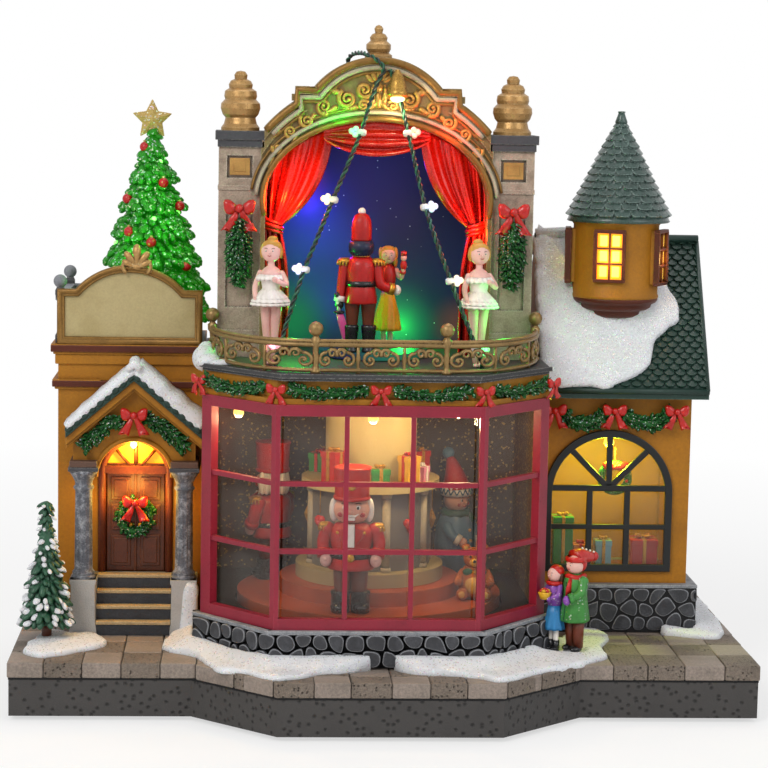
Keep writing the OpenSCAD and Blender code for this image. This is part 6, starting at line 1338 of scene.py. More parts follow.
def makeCouple():
    base = Vector(couple["at"])
    s = Shape("dancingSoldier")
    s.move(base + Vector((-6.5, -13.5, 0)), 176, couple["height"] / 62)
    makeSoldier(s, [(-8.6, 0.6, 30.2), (-14.2, -1.0, 27.8)], [(8.0, 0.5, 30), (9.0, 1.2, 22.5)], brownCloth, navyHair)
    s.move(base)
    s.tube([(-11.2, -13.0, 1.2), (-12.2, -13.4, 5), (-14.4, -14.4, 13), (-15.6, -14.8, 17)], [0.9, 1.7, 1.8, 1.5], pinkPaint, steps=12,
        flat=0.35, up=(0, 1, 0))
    s.ball((-15.8, -14.9, 17.6), (2.5, 1.3, 0.9), blackBoot, rings=8, steps=12)
    s.tube([(-15.9, -14.9, 18), (-16.7, -15.2, 24.5)], 0.9, whitePaint, steps=10)
    s.ball((-16.8, -15.2, 25.2), 1.35, blackBoot, rings=8, steps=12)
    s.build(body="carousel", slot="figure", replaces=("dancing_couple",))
    g = Shape("dancingGirl")
    g.move(base + Vector((6.5, 6, 0)), 0)
    for m in (-1, 1):
        g.tube([(m * 1.6, 0, 0.4), (m * 1.5, 0, 12)], [1.0, 1.4], paleSkin, steps=12)
        g.ball((m * 1.6, -0.7, 0.9), (1.2, 2.0, 0.9), ribbonRed, rings=6, steps=10)
    g.lathe([(0, 9.5), (5.4, 8.2), (6.1, 8.0), (5.9, 9.4), (5.1, 15.5), (3.6, 21.5), (2.7, 25.8), (0, 26)], (0, 0, 0), yellowCloth, 48,
            flute=lambda a, z: 1 + 0.07 * cos(12 * a) * max(0, (24 - z) / 16))
    g.lathe([(0, 25), (2.8, 25), (3.2, 28.5), (3.8, 33), (3.0, 36.2), (1.4, 37.6), (0, 38)], (0, 0, 0), redCloth, 28)
    g.ball((0, 0, 41.4), (3.6, 3.6, 3.8), paleSkin, rings=14, steps=20)
    makeFace(g, (0, 0, 41.2), 3.7, paleSkin)
    makeArm(g, [(-3.5, -0.4, 34.6), (-4.9, -2.8, 31.5), (-5.2, -4.8, 29)], 1.2, paleSkin, paleSkin, redCloth)
    makeArm(g, [(3.5, 0, 34.6), (5.6, -1.4, 31.6), (6.4, -3.6, 34.6)], 1.2, paleSkin, paleSkin, redCloth)
    g.ball((6.6, -4.4, 37.4), (1.5, 1.3, 2.3), redCloth, rings=8, steps=12)
    g.ball((6.6, -4.5, 40.6), (1.35, 1.35, 1.5), paleSkin, rings=8, steps=12)
    g.lathe([(0, 0), (1.3, 0), (1.35, 1.9), (0, 2.2)], (6.6, -4.5, 41.6), ribbonRed, 14)
    for k in range(22):
        w = radians(-20 + 220 * k / 21)
        for z, r in ((42.2, 3.4), (38.8, 3.3)):
            g.ball((r * cos(w), r * sin(w) + 0.3, z + 0.4 * sin(5 * k)), (0.95, 0.95, 2.5), blondeHair, rings=6, steps=8)
    g.ball((0, 0.6, 43.4), (3.55, 3.4, 2.3), blondeHair, rings=10, steps=20)
    g.build(body="carousel", slot="figure")


def ruffle(s, at, profile, waves, depth, mat, steps=96):
    s.lathe(profile, at, mat, steps, flute=lambda a, z: 1 + depth * cos(waves * a + z * 0.9))


def makeDancers():
    s = Shape("dancerDolls")
    for m in (-1, 1):
        s.move((stageAt.x + m * 44.3 - 1.6, -44, 149), m * 12)
        for k in (-1, 1):
            s.tube([(k * 0.9, 0.5 * k, 0.6), (k * 1.3, 0.2 * k, 6), (k * 1.7, 0.2, 13), (k * 2.0, 0, 20), (k * 2.4, 0, 29)],
                [0.85, 1.3, 1.65, 2.1, 2.7], paleSkin, steps=14)
            s.ball((k * 0.9, -0.8, 0.9), (1.05, 2.1, 0.9), paleSkin, rings=6, steps=10)
        for low, r in ((25.6, 8.4), (26.8, 8.0), (28.2, 7.0)):
            ruffle(s, (0, 0, 0), [(3.4, low + 4.6), (r * 0.72, low + 2.8), (r, low + 0.8), (r, low), (r * 0.7, low + 1.2),
                (3.2, low + 2.6)], 17, 0.06, whitePaint)
        s.lathe([(0, 29.5), (4.3, 30.4), (3.7, 33), (4.2, 35.6), (5.1, 37.6), (0, 38.4)], (0, 0, 0), whitePaint, 28, flute=lambda a,
            z: 1 + 0.03 * cos(10 * a))
        ruffle(s, (0, 0, 0), [(3.6, 38.4), (5.0, 38.9), (6.1, 37.4), (5.9, 36.2), (4.6, 36.8)], 16, 0.07, whitePaint)
        s.lathe([(0, 36), (4.3, 37.6), (4.6, 39.6), (3.2, 41.2), (1.5, 42.4), (1.35, 45), (0, 45)], (0, 0, 0), paleSkin, 24)
        s.ball((0, 0, 48.5), (4.3, 4.3, 4.6), paleSkin, rings=14, steps=20)
        makeFace(s, (0, 0, 48.3), 4.4, paleSkin)
        s.ball((0, 0.7, 50.2), (4.45, 4.3, 3.3), blondeHair, rings=12, steps=24)
        for k in range(13):
            w = radians(-8 + 196 * k / 12)
            s.ball((4.0 * cos(w), 3.9 * sin(w) + 0.3, 48.2), (1.0, 1.0, 2.6), blondeHair, rings=6, steps=8)
        s.ball((0, 2.6, 53.2), (2.3, 2.2, 1.7), blondeHair, rings=8, steps=14)
        s.lathe([(2.0, 0), (2.6, 0.2), (2.6, 0.8), (2.0, 1.0)], (0, 2.4, 51.6), pinkPaint, 20)
        makeArm(s, [(-4.6, 0, 39.0), (-6.6, -0.8, 33.5), (-6.0, -3.2, 28.6)], 1.25, paleSkin, paleSkin)
        makeArm(s, [(4.6, 0, 39.0), (7.0, -1.8, 34.6), (3.4, -5.6, 36.6)], 1.25, paleSkin, paleSkin)
    s.build(slot="figure", replaces=("ballet_dancers",))


toys = {"ring": 49.65, "floor": 43.85, "places": {"soldierFront": (-102, 98, 63 / 62), "soldierBack": (151, 78, 63 / 62),
    "bear": (-22, 14, 0.95), "jester": (34, 8, 0.93)}}


def toySpot(s, name):
    a, turn, size = toys["places"][name]
    w = radians(a)
    s.move(stageAt + Vector((toys["ring"] * cos(w), toys["ring"] * sin(w), toys["floor"])), a + turn, size)


def makeToySoldier(s):
    # 62 high, looks to -Y: a stout doll in a red coat, with white side hair and a flared hat
    for m in (-1, 1):
        s.lathe([(0, 0), (3.9, 0), (4.1, 1), (3.9, 6.8), (4.3, 8.4), (4.1, 9.1), (0, 9.2)], (m * 4.2, 0, 0), blackBoot, 22)
        s.ball((m * 4.6, -2.6, 2.5), (3.8, 4.6, 2.5), blackBoot, rings=8, steps=14)
        s.lathe([(3.3, 8.8), (3.6, 11), (3.9, 15), (4.0, 20), (0, 20.4)], (m * 3.4, 0, 0), brownCloth, 20)
        s.lathe([(0, 1.4), (1.9, 1.1), (2.7, 0.2), (2.6, -0.7), (0, -0.8)], (m * 11.2, 0, 37.2), toyGold, 18)
        for k in range(11):
            w = 2 * pi * k / 11
            s.tube([(m * 11.2 + 2.3 * cos(w), 2.3 * sin(w), 36.9), (m * 11.2 + 2.7 * cos(w), 2.7 * sin(w), 34.9)], 0.4, toyGold, steps=5)
        makeArm(s, [(m * 9.9, 0, 35), (m * 11.6, -0.6, 29.5), (m * 10.9, -3.0, 24.6)], 2.9, redCloth, paleSkin, redCloth)
    s.lathe([(0, 18.6), (9.7, 18.7), (10.2, 19.6), (9.4, 22.6), (8.6, 25), (9.0, 29), (9.6, 33), (9.0, 36), (6.4, 38.2), (0, 39)],
        (0, 0, 0), redCloth, 40, flute=lambda a, z: (1 if abs(cos(a)) > 0.9 else 0.97) - 0.12 * abs(sin(a)))
    s.lathe([(8.3, 23.4), (8.95, 23.6), (8.95, 25.6), (8.3, 25.8)], (0, 0, 0), blackBoot, 36, flute=lambda a, z: 1.015 - 0.13 * abs(sin(a)))
    s.ball((0, -8.1, 24.4), (1.7, 0.7, 1.7), toyGold, rings=8, steps=14)
    s.block((-1.5, -8.7, 29.2), (1.5, -6.4, 38.6), whitePaint)
    for m in (-1, 1):
        s.plate([(m * 1.4, 38.4), (m * 6.6, 36.6), (m * 4.6, 32.6), (m * 1.4, 29.4)], -8.7, -7.2, redCloth, taper=0.2)
        s.ball((m * 5.6, -8.3, 35.4), 0.8, toyGold, rings=6, steps=8)
    s.ball((0, 0, 43.8), (7.7, 6.5, 6.3), skinPaint, rings=18, steps=28)
    for m in (-1, 1):
        for k in range(5):
            w = radians(-8 + 44 * k)
            s.ball((m * (7.4 - 0.5 * k) * cos(w * 0.6), 0.4 + 1.6 * k, 43.6), (2.1, 1.9, 5.2), whitePaint, rings=10, steps=14)
        s.ball((m * 2.9, -5.75, 45.5), (0.95, 0.55, 1.0), whitePaint, rings=6, steps=10)
        s.ball((m * 2.8, -6.1, 45.4), (0.55, 0.4, 0.7), blackBoot, rings=6, steps=8)
        s.tube([(m * 1.7, -6.2, 47.2), (m * 3.0, -5.95, 47.5), (m * 4.3, -5.4, 47.0)], 0.2, brownHair, steps=6)
        s.tube([(0, -6.9, 42.2), (m * 1.5, -6.8, 42.0), (m * 3.0, -6.3, 42.9)], [0.5, 0.5, 0.2], whitePaint, steps=8)
        s.ball((m * 4.6, -5.0, 42.4), (1.3, 0.7, 1.1), lipRed, rings=6, steps=10)
    s.ball((0, -6.6, 44.0), (0.9, 1.0, 0.9), skinPaint, rings=6, steps=10)
    s.block((-1.5, -6.75, 40.2), (1.5, -6.0, 41.4), whitePaint)
    s.tube([(-1.7, -6.5, 40.0), (0, -6.7, 39.8), (1.7, -6.5, 40.0)], 0.26, lipRed, steps=6)
    s.lathe([(0, 48.6), (7.2, 48.6), (7.3, 49.6), (7.35, 54), (7.7, 60.4), (8.1, 61.4), (7.9, 62), (6.6, 61.6), (0, 61.3)], (0, 0, 0),
        redCloth, 40)
    s.lathe([(7.2, 48.2), (7.75, 48.4), (7.8, 49.5), (7.3, 49.8)], (0, 0, 0), ribbonRed, 36)
    s.ball((0, -7.3, 54.6), (1.8, 0.7, 1.8), toyGold, rings=8, steps=14)


def makeToys():
    s = Shape("toySoldiers")
    for name in ("soldierFront", "soldierBack"):
        toySpot(s, name)
        makeToySoldier(s)
    s.build(body="carousel", slot="figure", replaces=("toy_figures",))
    j = Shape("toyJester")
    toySpot(j, "jester")
    j.lathe([(0, 0.4), (6.6, 0), (8.2, 2), (9.4, 7), (10.2, 13), (10.3, 17), (9.4, 26), (7.4, 31), (5.6, 33.2), (0, 34)], (0, 0, 0),
        blueCloth, 36, flute=lambda a, z: 1 + 0.012 * cos(8 * a))
    for k, y in enumerate((-10.1, -10.3, -10.3, -9.5)):
        j.ball((0, y, 9 + k * 5.2), 0.95, toyGold, rings=7, steps=10)
    j.lathe([(5.2, 31.2), (7.2, 30.9), (7.7, 32.4), (6.9, 34.2), (5.2, 34.4)], (0, 0, 0), greenCloth, 30, flute=lambda a,
        z: 1 + 0.04 * cos(9 * a))
    j.ball((3.4, -7.1, 30), (1.8, 1.1, 3.2), greenCloth, rings=8, steps=12)
    j.ball((0, 0, 38.9), (6.3, 6.3, 6.5), skinPaint, rings=16, steps=24)
    makeFace(j, (0, 0, 38.4), 6.4, skinPaint, True)
    makeArm(j, [(-8, -2, 26), (-8.6, -5.5, 22.5), (-6.4, -9.0, 20)], 2.6, blueCloth, skinPaint, whitePaint)
    makeArm(j, [(8, -2, 26), (9.4, -4.5, 21.5), (8.2, -7.4, 17.5)], 2.6, blueCloth, skinPaint, whitePaint)
    for m in (-1, 1):
        j.ball((m * 4, -4.6, 1.8), (3, 4.6, 2), brownCloth, rings=8, steps=12)
    zig = 16
    j.lathe([(5.9, 41.2), (7.3, 41.0), (7.7, 43.2), (7.0, 45.4), (5.6, 45.6)], (0, 0, 0), whitePaint, zig * 4, flute=lambda a,
        z: 1 + 0.03 * cos(zig * a))
    for k in range(zig):
        a0, a1 = 2 * pi * k / zig, 2 * pi * (k + 0.5) / zig
        j.tube([(7.75 * cos(a0), 7.75 * sin(a0), 42), (7.6 * cos(a1), 7.6 * sin(a1), 44.6),
                (7.75 * cos(2 * a1 - a0), 7.75 * sin(2 * a1 - a0), 42)], 0.42, blueCloth, steps=6)
    hat = [Vector((0, 0, 43.8)), Vector((0, 0.8, 48.5)), Vector((0, 2.0, 53)), Vector((0, 3.6, 57)), Vector((0, 5.0, 59.4))]
    j.tube(smoothLine(hat, 4), [lerp(7.6, 1.4, (k / 16) ** 0.95) for k in range(17)], redCloth, steps=24)
    j.ball((0, 5.9, 61.4), 3.0, blueCloth, rings=10, steps=16)
    j.build(body="carousel", slot="figure")
    b = Shape("toyBear")
    toySpot(b, "bear")
    b.lathe([(0, 0), (4.6, 0), (7.0, 2), (7.9, 6), (7.2, 11), (5.2, 14.8), (0, 16)], (0, 0, 0), bearFur, 28)
    b.ball((0, -1.2, 19), (5.5, 5.2, 5.2), bearFur, rings=14, steps=20)
    b.ball((0, -6.0, 17.8), (2.4, 1.8, 1.9), blondeHair, rings=10, steps=14)
    b.ball((0, -7.7, 18.5), (0.9, 0.6, 0.7), blackBoot, rings=6, steps=10)
    b.ball((0, -5.4, 7), (4.6, 3.0, 5.0), blondeHair, rings=10, steps=16)
    for m in (-1, 1):
        b.ball((m * 1.9, -5.9, 20.4), 0.62, blackBoot, rings=6, steps=8)
        b.ball((m * 4.3, -0.8, 23.6), (2.1, 1.2, 2.1), bearFur, rings=8, steps=12)
        b.ball((m * 4.3, -1.7, 23.6), (1.2, 0.6, 1.2), blondeHair, rings=6, steps=10)
        b.tube([(m * 4.4, -2, 3), (m * 5.2, -6, 3), (m * 5.5, -8.6, 3.2)], [2.8, 2.8, 2.5], bearFur, steps=12)
        b.ball((m * 5.5, -9.0, 3.3), (2.7, 1.6, 2.9), bearFur, rings=8, steps=12)
        b.ball((m * 5.5, -10.4, 3.3), (1.5, 0.5, 1.7), blondeHair, rings=6, steps=10)
        b.tube([(m * 5, -1, 12.4), (m * 6.8, -3.4, 10.2), (m * 7.4, -5.6, 8.8)], [2.2, 2.1, 1.9], bearFur, steps=12)
        b.ball((m * 7.4, -5.9, 8.6), 2.1, bearFur, rings=8, steps=12)
        b.ball((m * 3.0, -5.6, 13.2), (2.6, 0.9, 1.7), greenCloth, rings=8, steps=12)
    b.ball((0, -6.1, 13.2), 1.1, toyGold, rings=6, steps=10)
    b.build(body="carousel", slot="figure")


carouselTrim = {"drum": 27.0, "low": 56.65, "high": 91.6, "pilasters": 8, "pendants": 8}


def makeCarouselTrim():
    d = carouselTrim
    s = Shape("carouselTrim")
    for k in range(d["pilasters"]):
        w = 2 * pi * (k + 0.28) / d["pilasters"]
        out = Vector((cos(w), sin(w), 0))
        at = stageAt + out * (d["drum"] - 0.2)
        s.tube([at + Vector((0, 0, d["low"])), at + Vector((0, 0, d["high"]))], 1.9, washedCream, steps=12)
        for z in (d["low"] + 0.9, d["high"] - 1.1):
            s.tube([at + Vector((0, 0, z - 1)), at + Vector((0, 0, z + 1))], 2.4, washedCream, steps=12)
    for k in range(d["pendants"]):
        w = 2 * pi * (k + 0.78) / d["pendants"]
        out = Vector((cos(w), sin(w), 0))
        at = stageAt + out * (d["drum"] + 0.9)
        s.tube([at + Vector((0, 0, d["high"] - 0.2)), at + Vector((0, 0, 81))], 0.22, toyGold, steps=6)
        if k % 2:
            s.lathe([(0, -5), (1.9, 0), (0, 4.6)], at + Vector((0, 0, 77)), toyGold, 4, smooth=False)
        else:
            # a small red heart
            side = Vector((-out.y, out.x, 0))
            for m in (-1, 1):
                s.ball(at + side * (m * 1.2) + Vector((0, 0, 78)), (1.7, 1.7, 1.8), redCloth, rings=8, steps=12)
            s.lathe([(0, -4.2), (2.5, 0), (0, 1)], at + Vector((0, 0, 77.4)), redCloth, 14)
    s.build(body="carousel", slot="gold")


def makeGift(s, at, w, h, paper, ribbon, turn=0, bow=True):
    keep = s.spot, s.turned, s.size
    s.move(at, turn)
    r = w / 2
    s.block((-r, -r, 0), (r, r, h * 0.8), paper)
    s.block((-r - 0.35, -r - 0.35, h * 0.8 - 2.2), (r + 0.35, r + 0.35, h * 0.8 + 0.3), paper)
    for a in ((0.75, r + 0.55), (r + 0.55, 0.75)):
        s.block((-a[0], -a[1], 0.1), (a[0], a[1], h * 0.8 + 0.55), ribbon)
    if bow:
        for m in (-1, 1):
            for q in (-1, 1):
                s.ball((m * r * 0.34, q * r * 0.16, h * 0.8 + 1.2), (r * 0.36, r * 0.17, 0.85), ribbon,
                    turn=around("Z", 35 * m * q) @ around("Y", -22 * m), rings=6, steps=10)
        s.ball((0, 0, h * 0.8 + 1.1), 0.9, ribbon, rings=6, steps=8)
    s.spot, s.turned, s.size = keep


shelfGifts = {"ring": 25.75, "floor": 95.05, "list": [(-132, 8.4, 17), (-111, 6.6, 9), (-84, 8.4, 9), (-52, 7.4, 15), (-32, 5.4, 8),
    (30, 8, 12), (90, 8, 15), (150, 8, 10)]}


def makeGifts():
    papers = {"red": redCloth, "blue": plainPaint("lightBluePaper", "7fb4cf", "3c6f8c"),
        "green": plainPaint("greenPaper", "2f8a3a", "124a1a"), "yellow": yellowCloth, "pink": plainPaint("pinkPaper", "d98aa6", "96506c"),
            "orange": plainPaint("orangePaper", "d9772a", "8c3c0c")}
    pick = [("red", toyGold), ("blue", whitePaint), ("green", toyGold), ("yellow", ribbonRed), ("pink", whitePaint), ("red", toyGold),
        ("blue", toyGold), ("green", ribbonRed)]
    s = Shape("carouselGifts")
    for (a, w, h), (paper, ribbon) in zip(shelfGifts["list"], pick):
        q = radians(a)
        makeGift(s, stageAt + Vector((shelfGifts["ring"] * cos(q), shelfGifts["ring"] * sin(q), shelfGifts["floor"])), w * 0.92, h,
            papers[paper], ribbon, a + 90)
    s.build(body="carousel", slot="red_gloss", replaces=("shelf_gifts",), bevel=0.3, segments=2)
    w = Shape("windowGifts")
    w.block((72, 3, 46.5), (132.8, 22, 52.5), mustardPaint)
    for x, size, h, paper, ribbon in ((83.8, 9.4, 28, "green", toyGold), (92.2, 6.6, 12, "orange", ribbonRed),
            (102.6, 7.4, 14.4, "blue", toyGold), (121, 12.4, 15.5, "red", toyGold)):
        makeGift(w, (x, 10, 52.5), size * 0.94, h, papers[paper], ribbon)
    hang = Vector((107.5, 12, 92.6))
    w.tube([hang + Vector((6.2 * cos(a), 0, 6.2 * sin(a))) for a in [2 * pi * k / 24 for k in range(25)]], 1.9, leafGreen, steps=10)
    for k in range(26):
        a = 2 * pi * k / 26
        w.ball(hang + Vector((6.2 * cos(a), -1.2, 6.2 * sin(a))), (1.5, 0.9, 1.0), leafGreen,
            turn=around("Y", -degrees(a) + 35 * (-1) ** k), rings=5, steps=8)
    for m in (-1, 1):
        w.ball(hang + Vector((m * 3.2, -2.4, 5.6)), (3.2, 1.2, 1.9), ribbonRed, turn=around("Y", m * -18), rings=7, steps=12)
        w.ball(hang + Vector((m * 5.2, -1.9, -1.2)), 0.8, ballRed, rings=6, steps=8)
    w.ball(hang + Vector((0, -2.8, 5.2)), 1.3, ribbonRed, rings=6, steps=10)
    w.tube([hang + Vector((0, 0, 8)), hang + Vector((0, 0, 14))], 0.3, toyGold, steps=6)
    w.build(slot="red_gloss", replaces=("window_gifts",), bevel=0.3, segments=2)


strollers = {"at": (82, -50, 26.6), "child": (-8.6, 1.6, 0), "turn": -56}


def makeStrollers():
    # a grown-up in a green coat and a child before them, both turned to the left
    d = strollers
    s = Shape("strollers")
    s.move(d["at"], d["turn"])
    for m in (-1, 1):
        s.tube([(m * 2.4, 0.4, 2), (m * 2.5, 0.2, 9), (m * 2.5, 0, 15)], [2.1, 2.4, 2.9], brownCloth, steps=14)
        s.ball((m * 2.6, -1.0, 1.3), (1.8, 3.3, 1.4), blackBoot, rings=8, steps=14)
    s.lathe([(0, 13.8), (6.3, 13.4), (6.5, 14.2), (5.7, 20), (5.2, 25), (5.4, 30), (4.7, 33), (2.6, 34.3), (0, 34.4)], (0, 0, 0), coatGreen,
        40, flute=lambda a, z: 1 + 0.04 * cos(6 * a) * max(0, (23 - z) / 9))
    s.tube([(0, -6.2, 14.2), (0, -5.4, 23), (0, -5.5, 31)], 0.3, greenCloth, steps=6)
    for k in range(3):
        s.ball((1.2, -5.4, 18 + 4 * k), 0.45, toyGold, rings=5, steps=8)
    makeArm(s, [(4.8, 0, 31.2), (6.2, -2.4, 26.6), (4.0, -6.6, 24.2)], 2.1, coatGreen, violetCloth, coatGreen)
    makeArm(s, [(-4.8, 0, 31.2), (-6.2, -3.4, 26.4), (-5.2, -6.6, 24.6)], 2.1, coatGreen, violetCloth, coatGreen)
    s.ball((0, -0.4, 38), (3.9, 3.9, 4.1), paleSkin, rings=14, steps=20)
    makeFace(s, (0, -0.4, 37.8), 4.0, paleSkin)
    s.lathe([(4.0, 39.4), (4.6, 39.8), (4.5, 41.4), (4.0, 41.8)], (0, 0, 0), ribbonRed, 28, flute=lambda a, z: 1 + 0.03 * cos(14 * a))
    cap = smoothLine([Vector((0, -0.4, 40.6)), Vector((0, 2.2, 41.4)), Vector((0, 5.6, 41)), Vector((0, 8.8, 40.4))], 5)
    s.tube(cap, [lerp(4.3, 2.0, k / (len(cap) - 1)) for k in range(len(cap))], ribbonRed, steps=20)
    s.ball((0, 1.8, 38.6), (3.9, 3.2, 4.2), ribbonRed, rings=10, steps=18)
    s.ball((0, 10.2, 40.6), 2.2, ribbonRed, rings=8, steps=14)
    for k in range(4):
        s.ball((1.0, 2.6 + 2.2 * k, 45.0 - 0.75 * k), 0.5, whitePaint, rings=5, steps=8)
    turn = [2 * pi * k / 24 for k in range(25)]
    s.tube([(3.6 * cos(a), 3.6 * sin(a), 32.9 + 0.3 * sin(3 * a)) for a in turn], 1.35, redCloth, steps=10)
    s.tube([(2, -4.4, 32.4), (2.4, -6.0, 28.5), (2.2, -6.0, 24.8)], [1.2, 1.5, 1.6], redCloth, steps=10, flat=0.45)
    s.move(Vector(d["at"]) + Vector(d["child"]), d["turn"])
    for m in (-1, 1):
        s.tube([(m * 1.5, 0, 1), (m * 1.5, 0, 6), (m * 1.4, 0, 11)], [1.05, 1.2, 1.3], whitePaint, steps=12)
        s.lathe([(0, 0), (1.5, 0), (1.5, 4.6), (0, 4.7)], (m * 1.5, 0, 0), blackBoot, 14)
        s.ball((m * 1.5, -0.9, 0.8), (1.3, 2.1, 0.95), blackBoot, rings=6, steps=10)
    s.lathe([(0, 10.2), (4.2, 9.5), (4.7, 9.5), (4.4, 11), (3.3, 16.5), (2.7, 20.6), (0, 21)], (0, 0, 0), brightBlue, 40,
            flute=lambda a, z: 1 + 0.07 * cos(9 * a) * max(0, (20 - z) / 10))
    s.lathe([(0, 20), (2.9, 20), (3.5, 25), (3.0, 28.6), (1.6, 30.4), (0, 30.5)], (0, 0, 0), violetCloth, 24)
    s.ball((0, -0.2, 33.4), (3.25, 3.25, 3.4), paleSkin, rings=14, steps=18)
    makeFace(s, (0, -0.2, 33.2), 3.3, paleSkin)
    s.ball((0, 0.8, 34.6), (3.5, 3.3, 2.9), ribbonRed, rings=10, steps=20)
    s.tube([(3.0 * cos(a), 3.0 * sin(a), 29.8) for a in turn], 1.0, redCloth, steps=8)
    for m in (-1, 1):
        s.ball((m * 3.1, 1.0, 32), (0.9, 1.2, 2.4), brownHair, rings=7, steps=10)
        makeArm(s, [(m * 3.0, 0, 28.2), (m * 4.1, -1.8, 25), (m * 2.4, -4.4, 23.6)], 1.3, violetCloth, violetCloth)
    s.lathe([(0, -1.8), (2.0, -1.6), (2.9, 1.2), (2.5, 1.5), (0, 1.2)], (0, -5.8, 24.8), yellowCloth, 18)
    for k in range(7):
        a = 2 * pi * k / 6
        far = 0 if k == 6 else 1.5
        s.ball((far * cos(a), -5.8 + far * sin(a), 26.6 + (0.6 if k == 6 else 0)), 0.95, ribbonRed if k % 2 == 0 else yellowCloth, rings=6,
            steps=8)
    s.build(slot="figure", replaces=("passers_by",))


makeCouple()
makeDancers()
makeToys()
makeCarouselTrim()
makeGifts()
makeStrollers()
print("dolls and toys made")


paving = {"long": 16.0, "deep": 20.0, "joint": 0.3, "top": 25.0, "foot": 18.3, "bed": 24.1, "round": 0.55, "seed": 31,
    "outline": [(-160, -70), (-83, -70), (-47, -102), (47, -102), (83, -70), (160, -70), (160, 102), (-160, 102)]}


def insetRing(points, gap):
    # moves every side of a convex ring inwards by gap
    n, out = len(points), []
    for i in range(n):
        a, b, c = Vector(points[i - 1]), Vector(points[i]), Vector(points[(i + 1) % n])
        d1, d2 = (b - a), (c - b)
        if d1.length < 1e-6 or d2.length < 1e-6:
            return None
        d1.normalize()
        d2.normalize()
        n1, n2 = Vector((-d1.y, d1.x)), Vector((-d2.y, d2.x))
        k = 1 + n1.dot(n2)
        out.append(b + (n1 + n2) * (gap / max(k, 0.35)))
    area = sum(out[i - 1].x * out[i].y - out[i].x * out[i - 1].y for i in range(n)) / 2
    return out if area > 3 else None


def cutRing(ring, p, normal):
    # keeps the side of a ring that lies behind the line through p
    out = []
    for i, b in enumerate(ring):
        a = ring[i - 1]
        da, db = (a - p).dot(normal), (b - p).dot(normal)
        if (da < 0) != (db < 0):
            out.append(a.lerp(b, da / (da - db)))
        if db < 0:
            out.append(b)
    return out


def cleanRing(ring, least=0.4):
    out = []
    for q in ring:
        if not out or (q - out[-1]).length > least:
            out.append(q)
    while len(out) > 2 and (out[0] - out[-1]).length < least:
        out.pop()
    return out


def boxRing(x0, y0, x1, y1):
    return [Vector(q) for q in ((x0, y0), (x1, y0), (x1, y1), (x0, y1))]


def makePaving():
    d = paving
    rng = random.Random(d["seed"])
    body = cadNodes["base_casting"]
    core = newObject("pavingBed", body.data.copy())
    bm = bmesh.new(); bm.from_mesh(core.data)
    bmesh.ops.remove_doubles(bm, verts=bm.verts, dist=1e-6)
    edge = [Vector(q) for q in d["outline"]]

    def onRim(v):
        return min(abs((Vector((v.x, v.y)) - a).cross((b - a).normalized())) for a, b in zip(edge, edge[1:] + edge[:1]))
    for v in bm.verts:
        if v.co.z > 18.2 * mm and onRim(v.co / mm) < 0.5:
            c = Vector((v.co.x, v.co.y)) / mm
            away = [Vector((-(b - a).y, (b - a).x)).normalized() for a, b in zip(edge, edge[1:] + edge[:1])
                    if abs((c - a).cross((b - a).normalized())) < 0.5 and -0.6 < (c - a).dot((b - a).normalized()) < (b - a).length + 0.6]
            for w in away:
                v.co.x += w.x * mm
                v.co.y += w.y * mm
        if v.co.z > 24.9 * mm:
            v.co.z = d["bed"] * mm
    bm.to_mesh(core.data); bm.free()
    core.data.materials.clear(); core.data.materials.append(baseWall)
    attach(core, "base"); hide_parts("base_casting")

    smooth, rough = Shape("pavingSmooth"), Shape("pavingRough")
    zones = [boxRing(-160, -70, 160, 102), [Vector(q) for q in ((-83, -70), (-47, -102), (47, -102), (83, -70))]]
    houses = [(-144.2, 0, -70, 66), (-79.6, -38.8, 70, 66), (69.8, -7, 143, 63), (-74, -70, 64, 60), (-131.4, -18.4, -88, 4)]
    ys = [-102, -89.5, -70] + [-70 + d["deep"] * k for k in range(1, 9)] + [102]
    xs = [-160 + d["long"] * k + (rng.uniform(-0.7, 0.7) if 0 < k < 20 else 0) for k in range(21)]
    for zone in zones:
        for r, (y0, y1) in enumerate(zip(ys, ys[1:])):
            for c, (x0, x1) in enumerate(zip(xs, xs[1:])):
                lean = rng.uniform(-0.35, 0.35)
                ring = [Vector((x0, y0)), Vector((x1, y0)), Vector((x1 + lean, y1)), Vector((x0 + lean, y1))]
                for a, b in zip(zone, zone[1:] + zone[:1]):
                    if len(ring) > 2:
                        side = (b - a).normalized()
                        ring = cutRing(ring, a, Vector((side.y, -side.x)))
                ring = cleanRing(ring)
                if len(ring) < 3:
                    continue
                mid = sum(ring, Vector((0, 0))) / len(ring)
                if any(h[0] + 9 < mid.x < h[2] - 9 and h[1] + 11 < mid.y < h[3] - 11 for h in houses):
                    continue
                ring = insetRing(ring, d["joint"] * 0.5)
                if not ring:
                    continue
                s = rough if ((r + c) % 2) != (rng.random() < 0.12) else smooth
                lift = rng.uniform(-0.18, 0.0)
                n = len(ring)
                base = [Vector((q.x, q.y, d["foot"] + 0.15)) for q in ring]
                top = [Vector((q.x, q.y, d["top"] + lift)) for q in ring]
                s.add(base + top, [tuple(range(n - 1, -1, -1)), tuple(range(n, 2 * n))] + [(k, (k + 1) % n, n + (k + 1) % n,
                    n + k) for k in range(n)], pavingStone if s is smooth else pavingRough, False)
    for s in (smooth, rough):
        s.build(slot="stone_paving", bevel=d["round"], segments=3, angle=40)


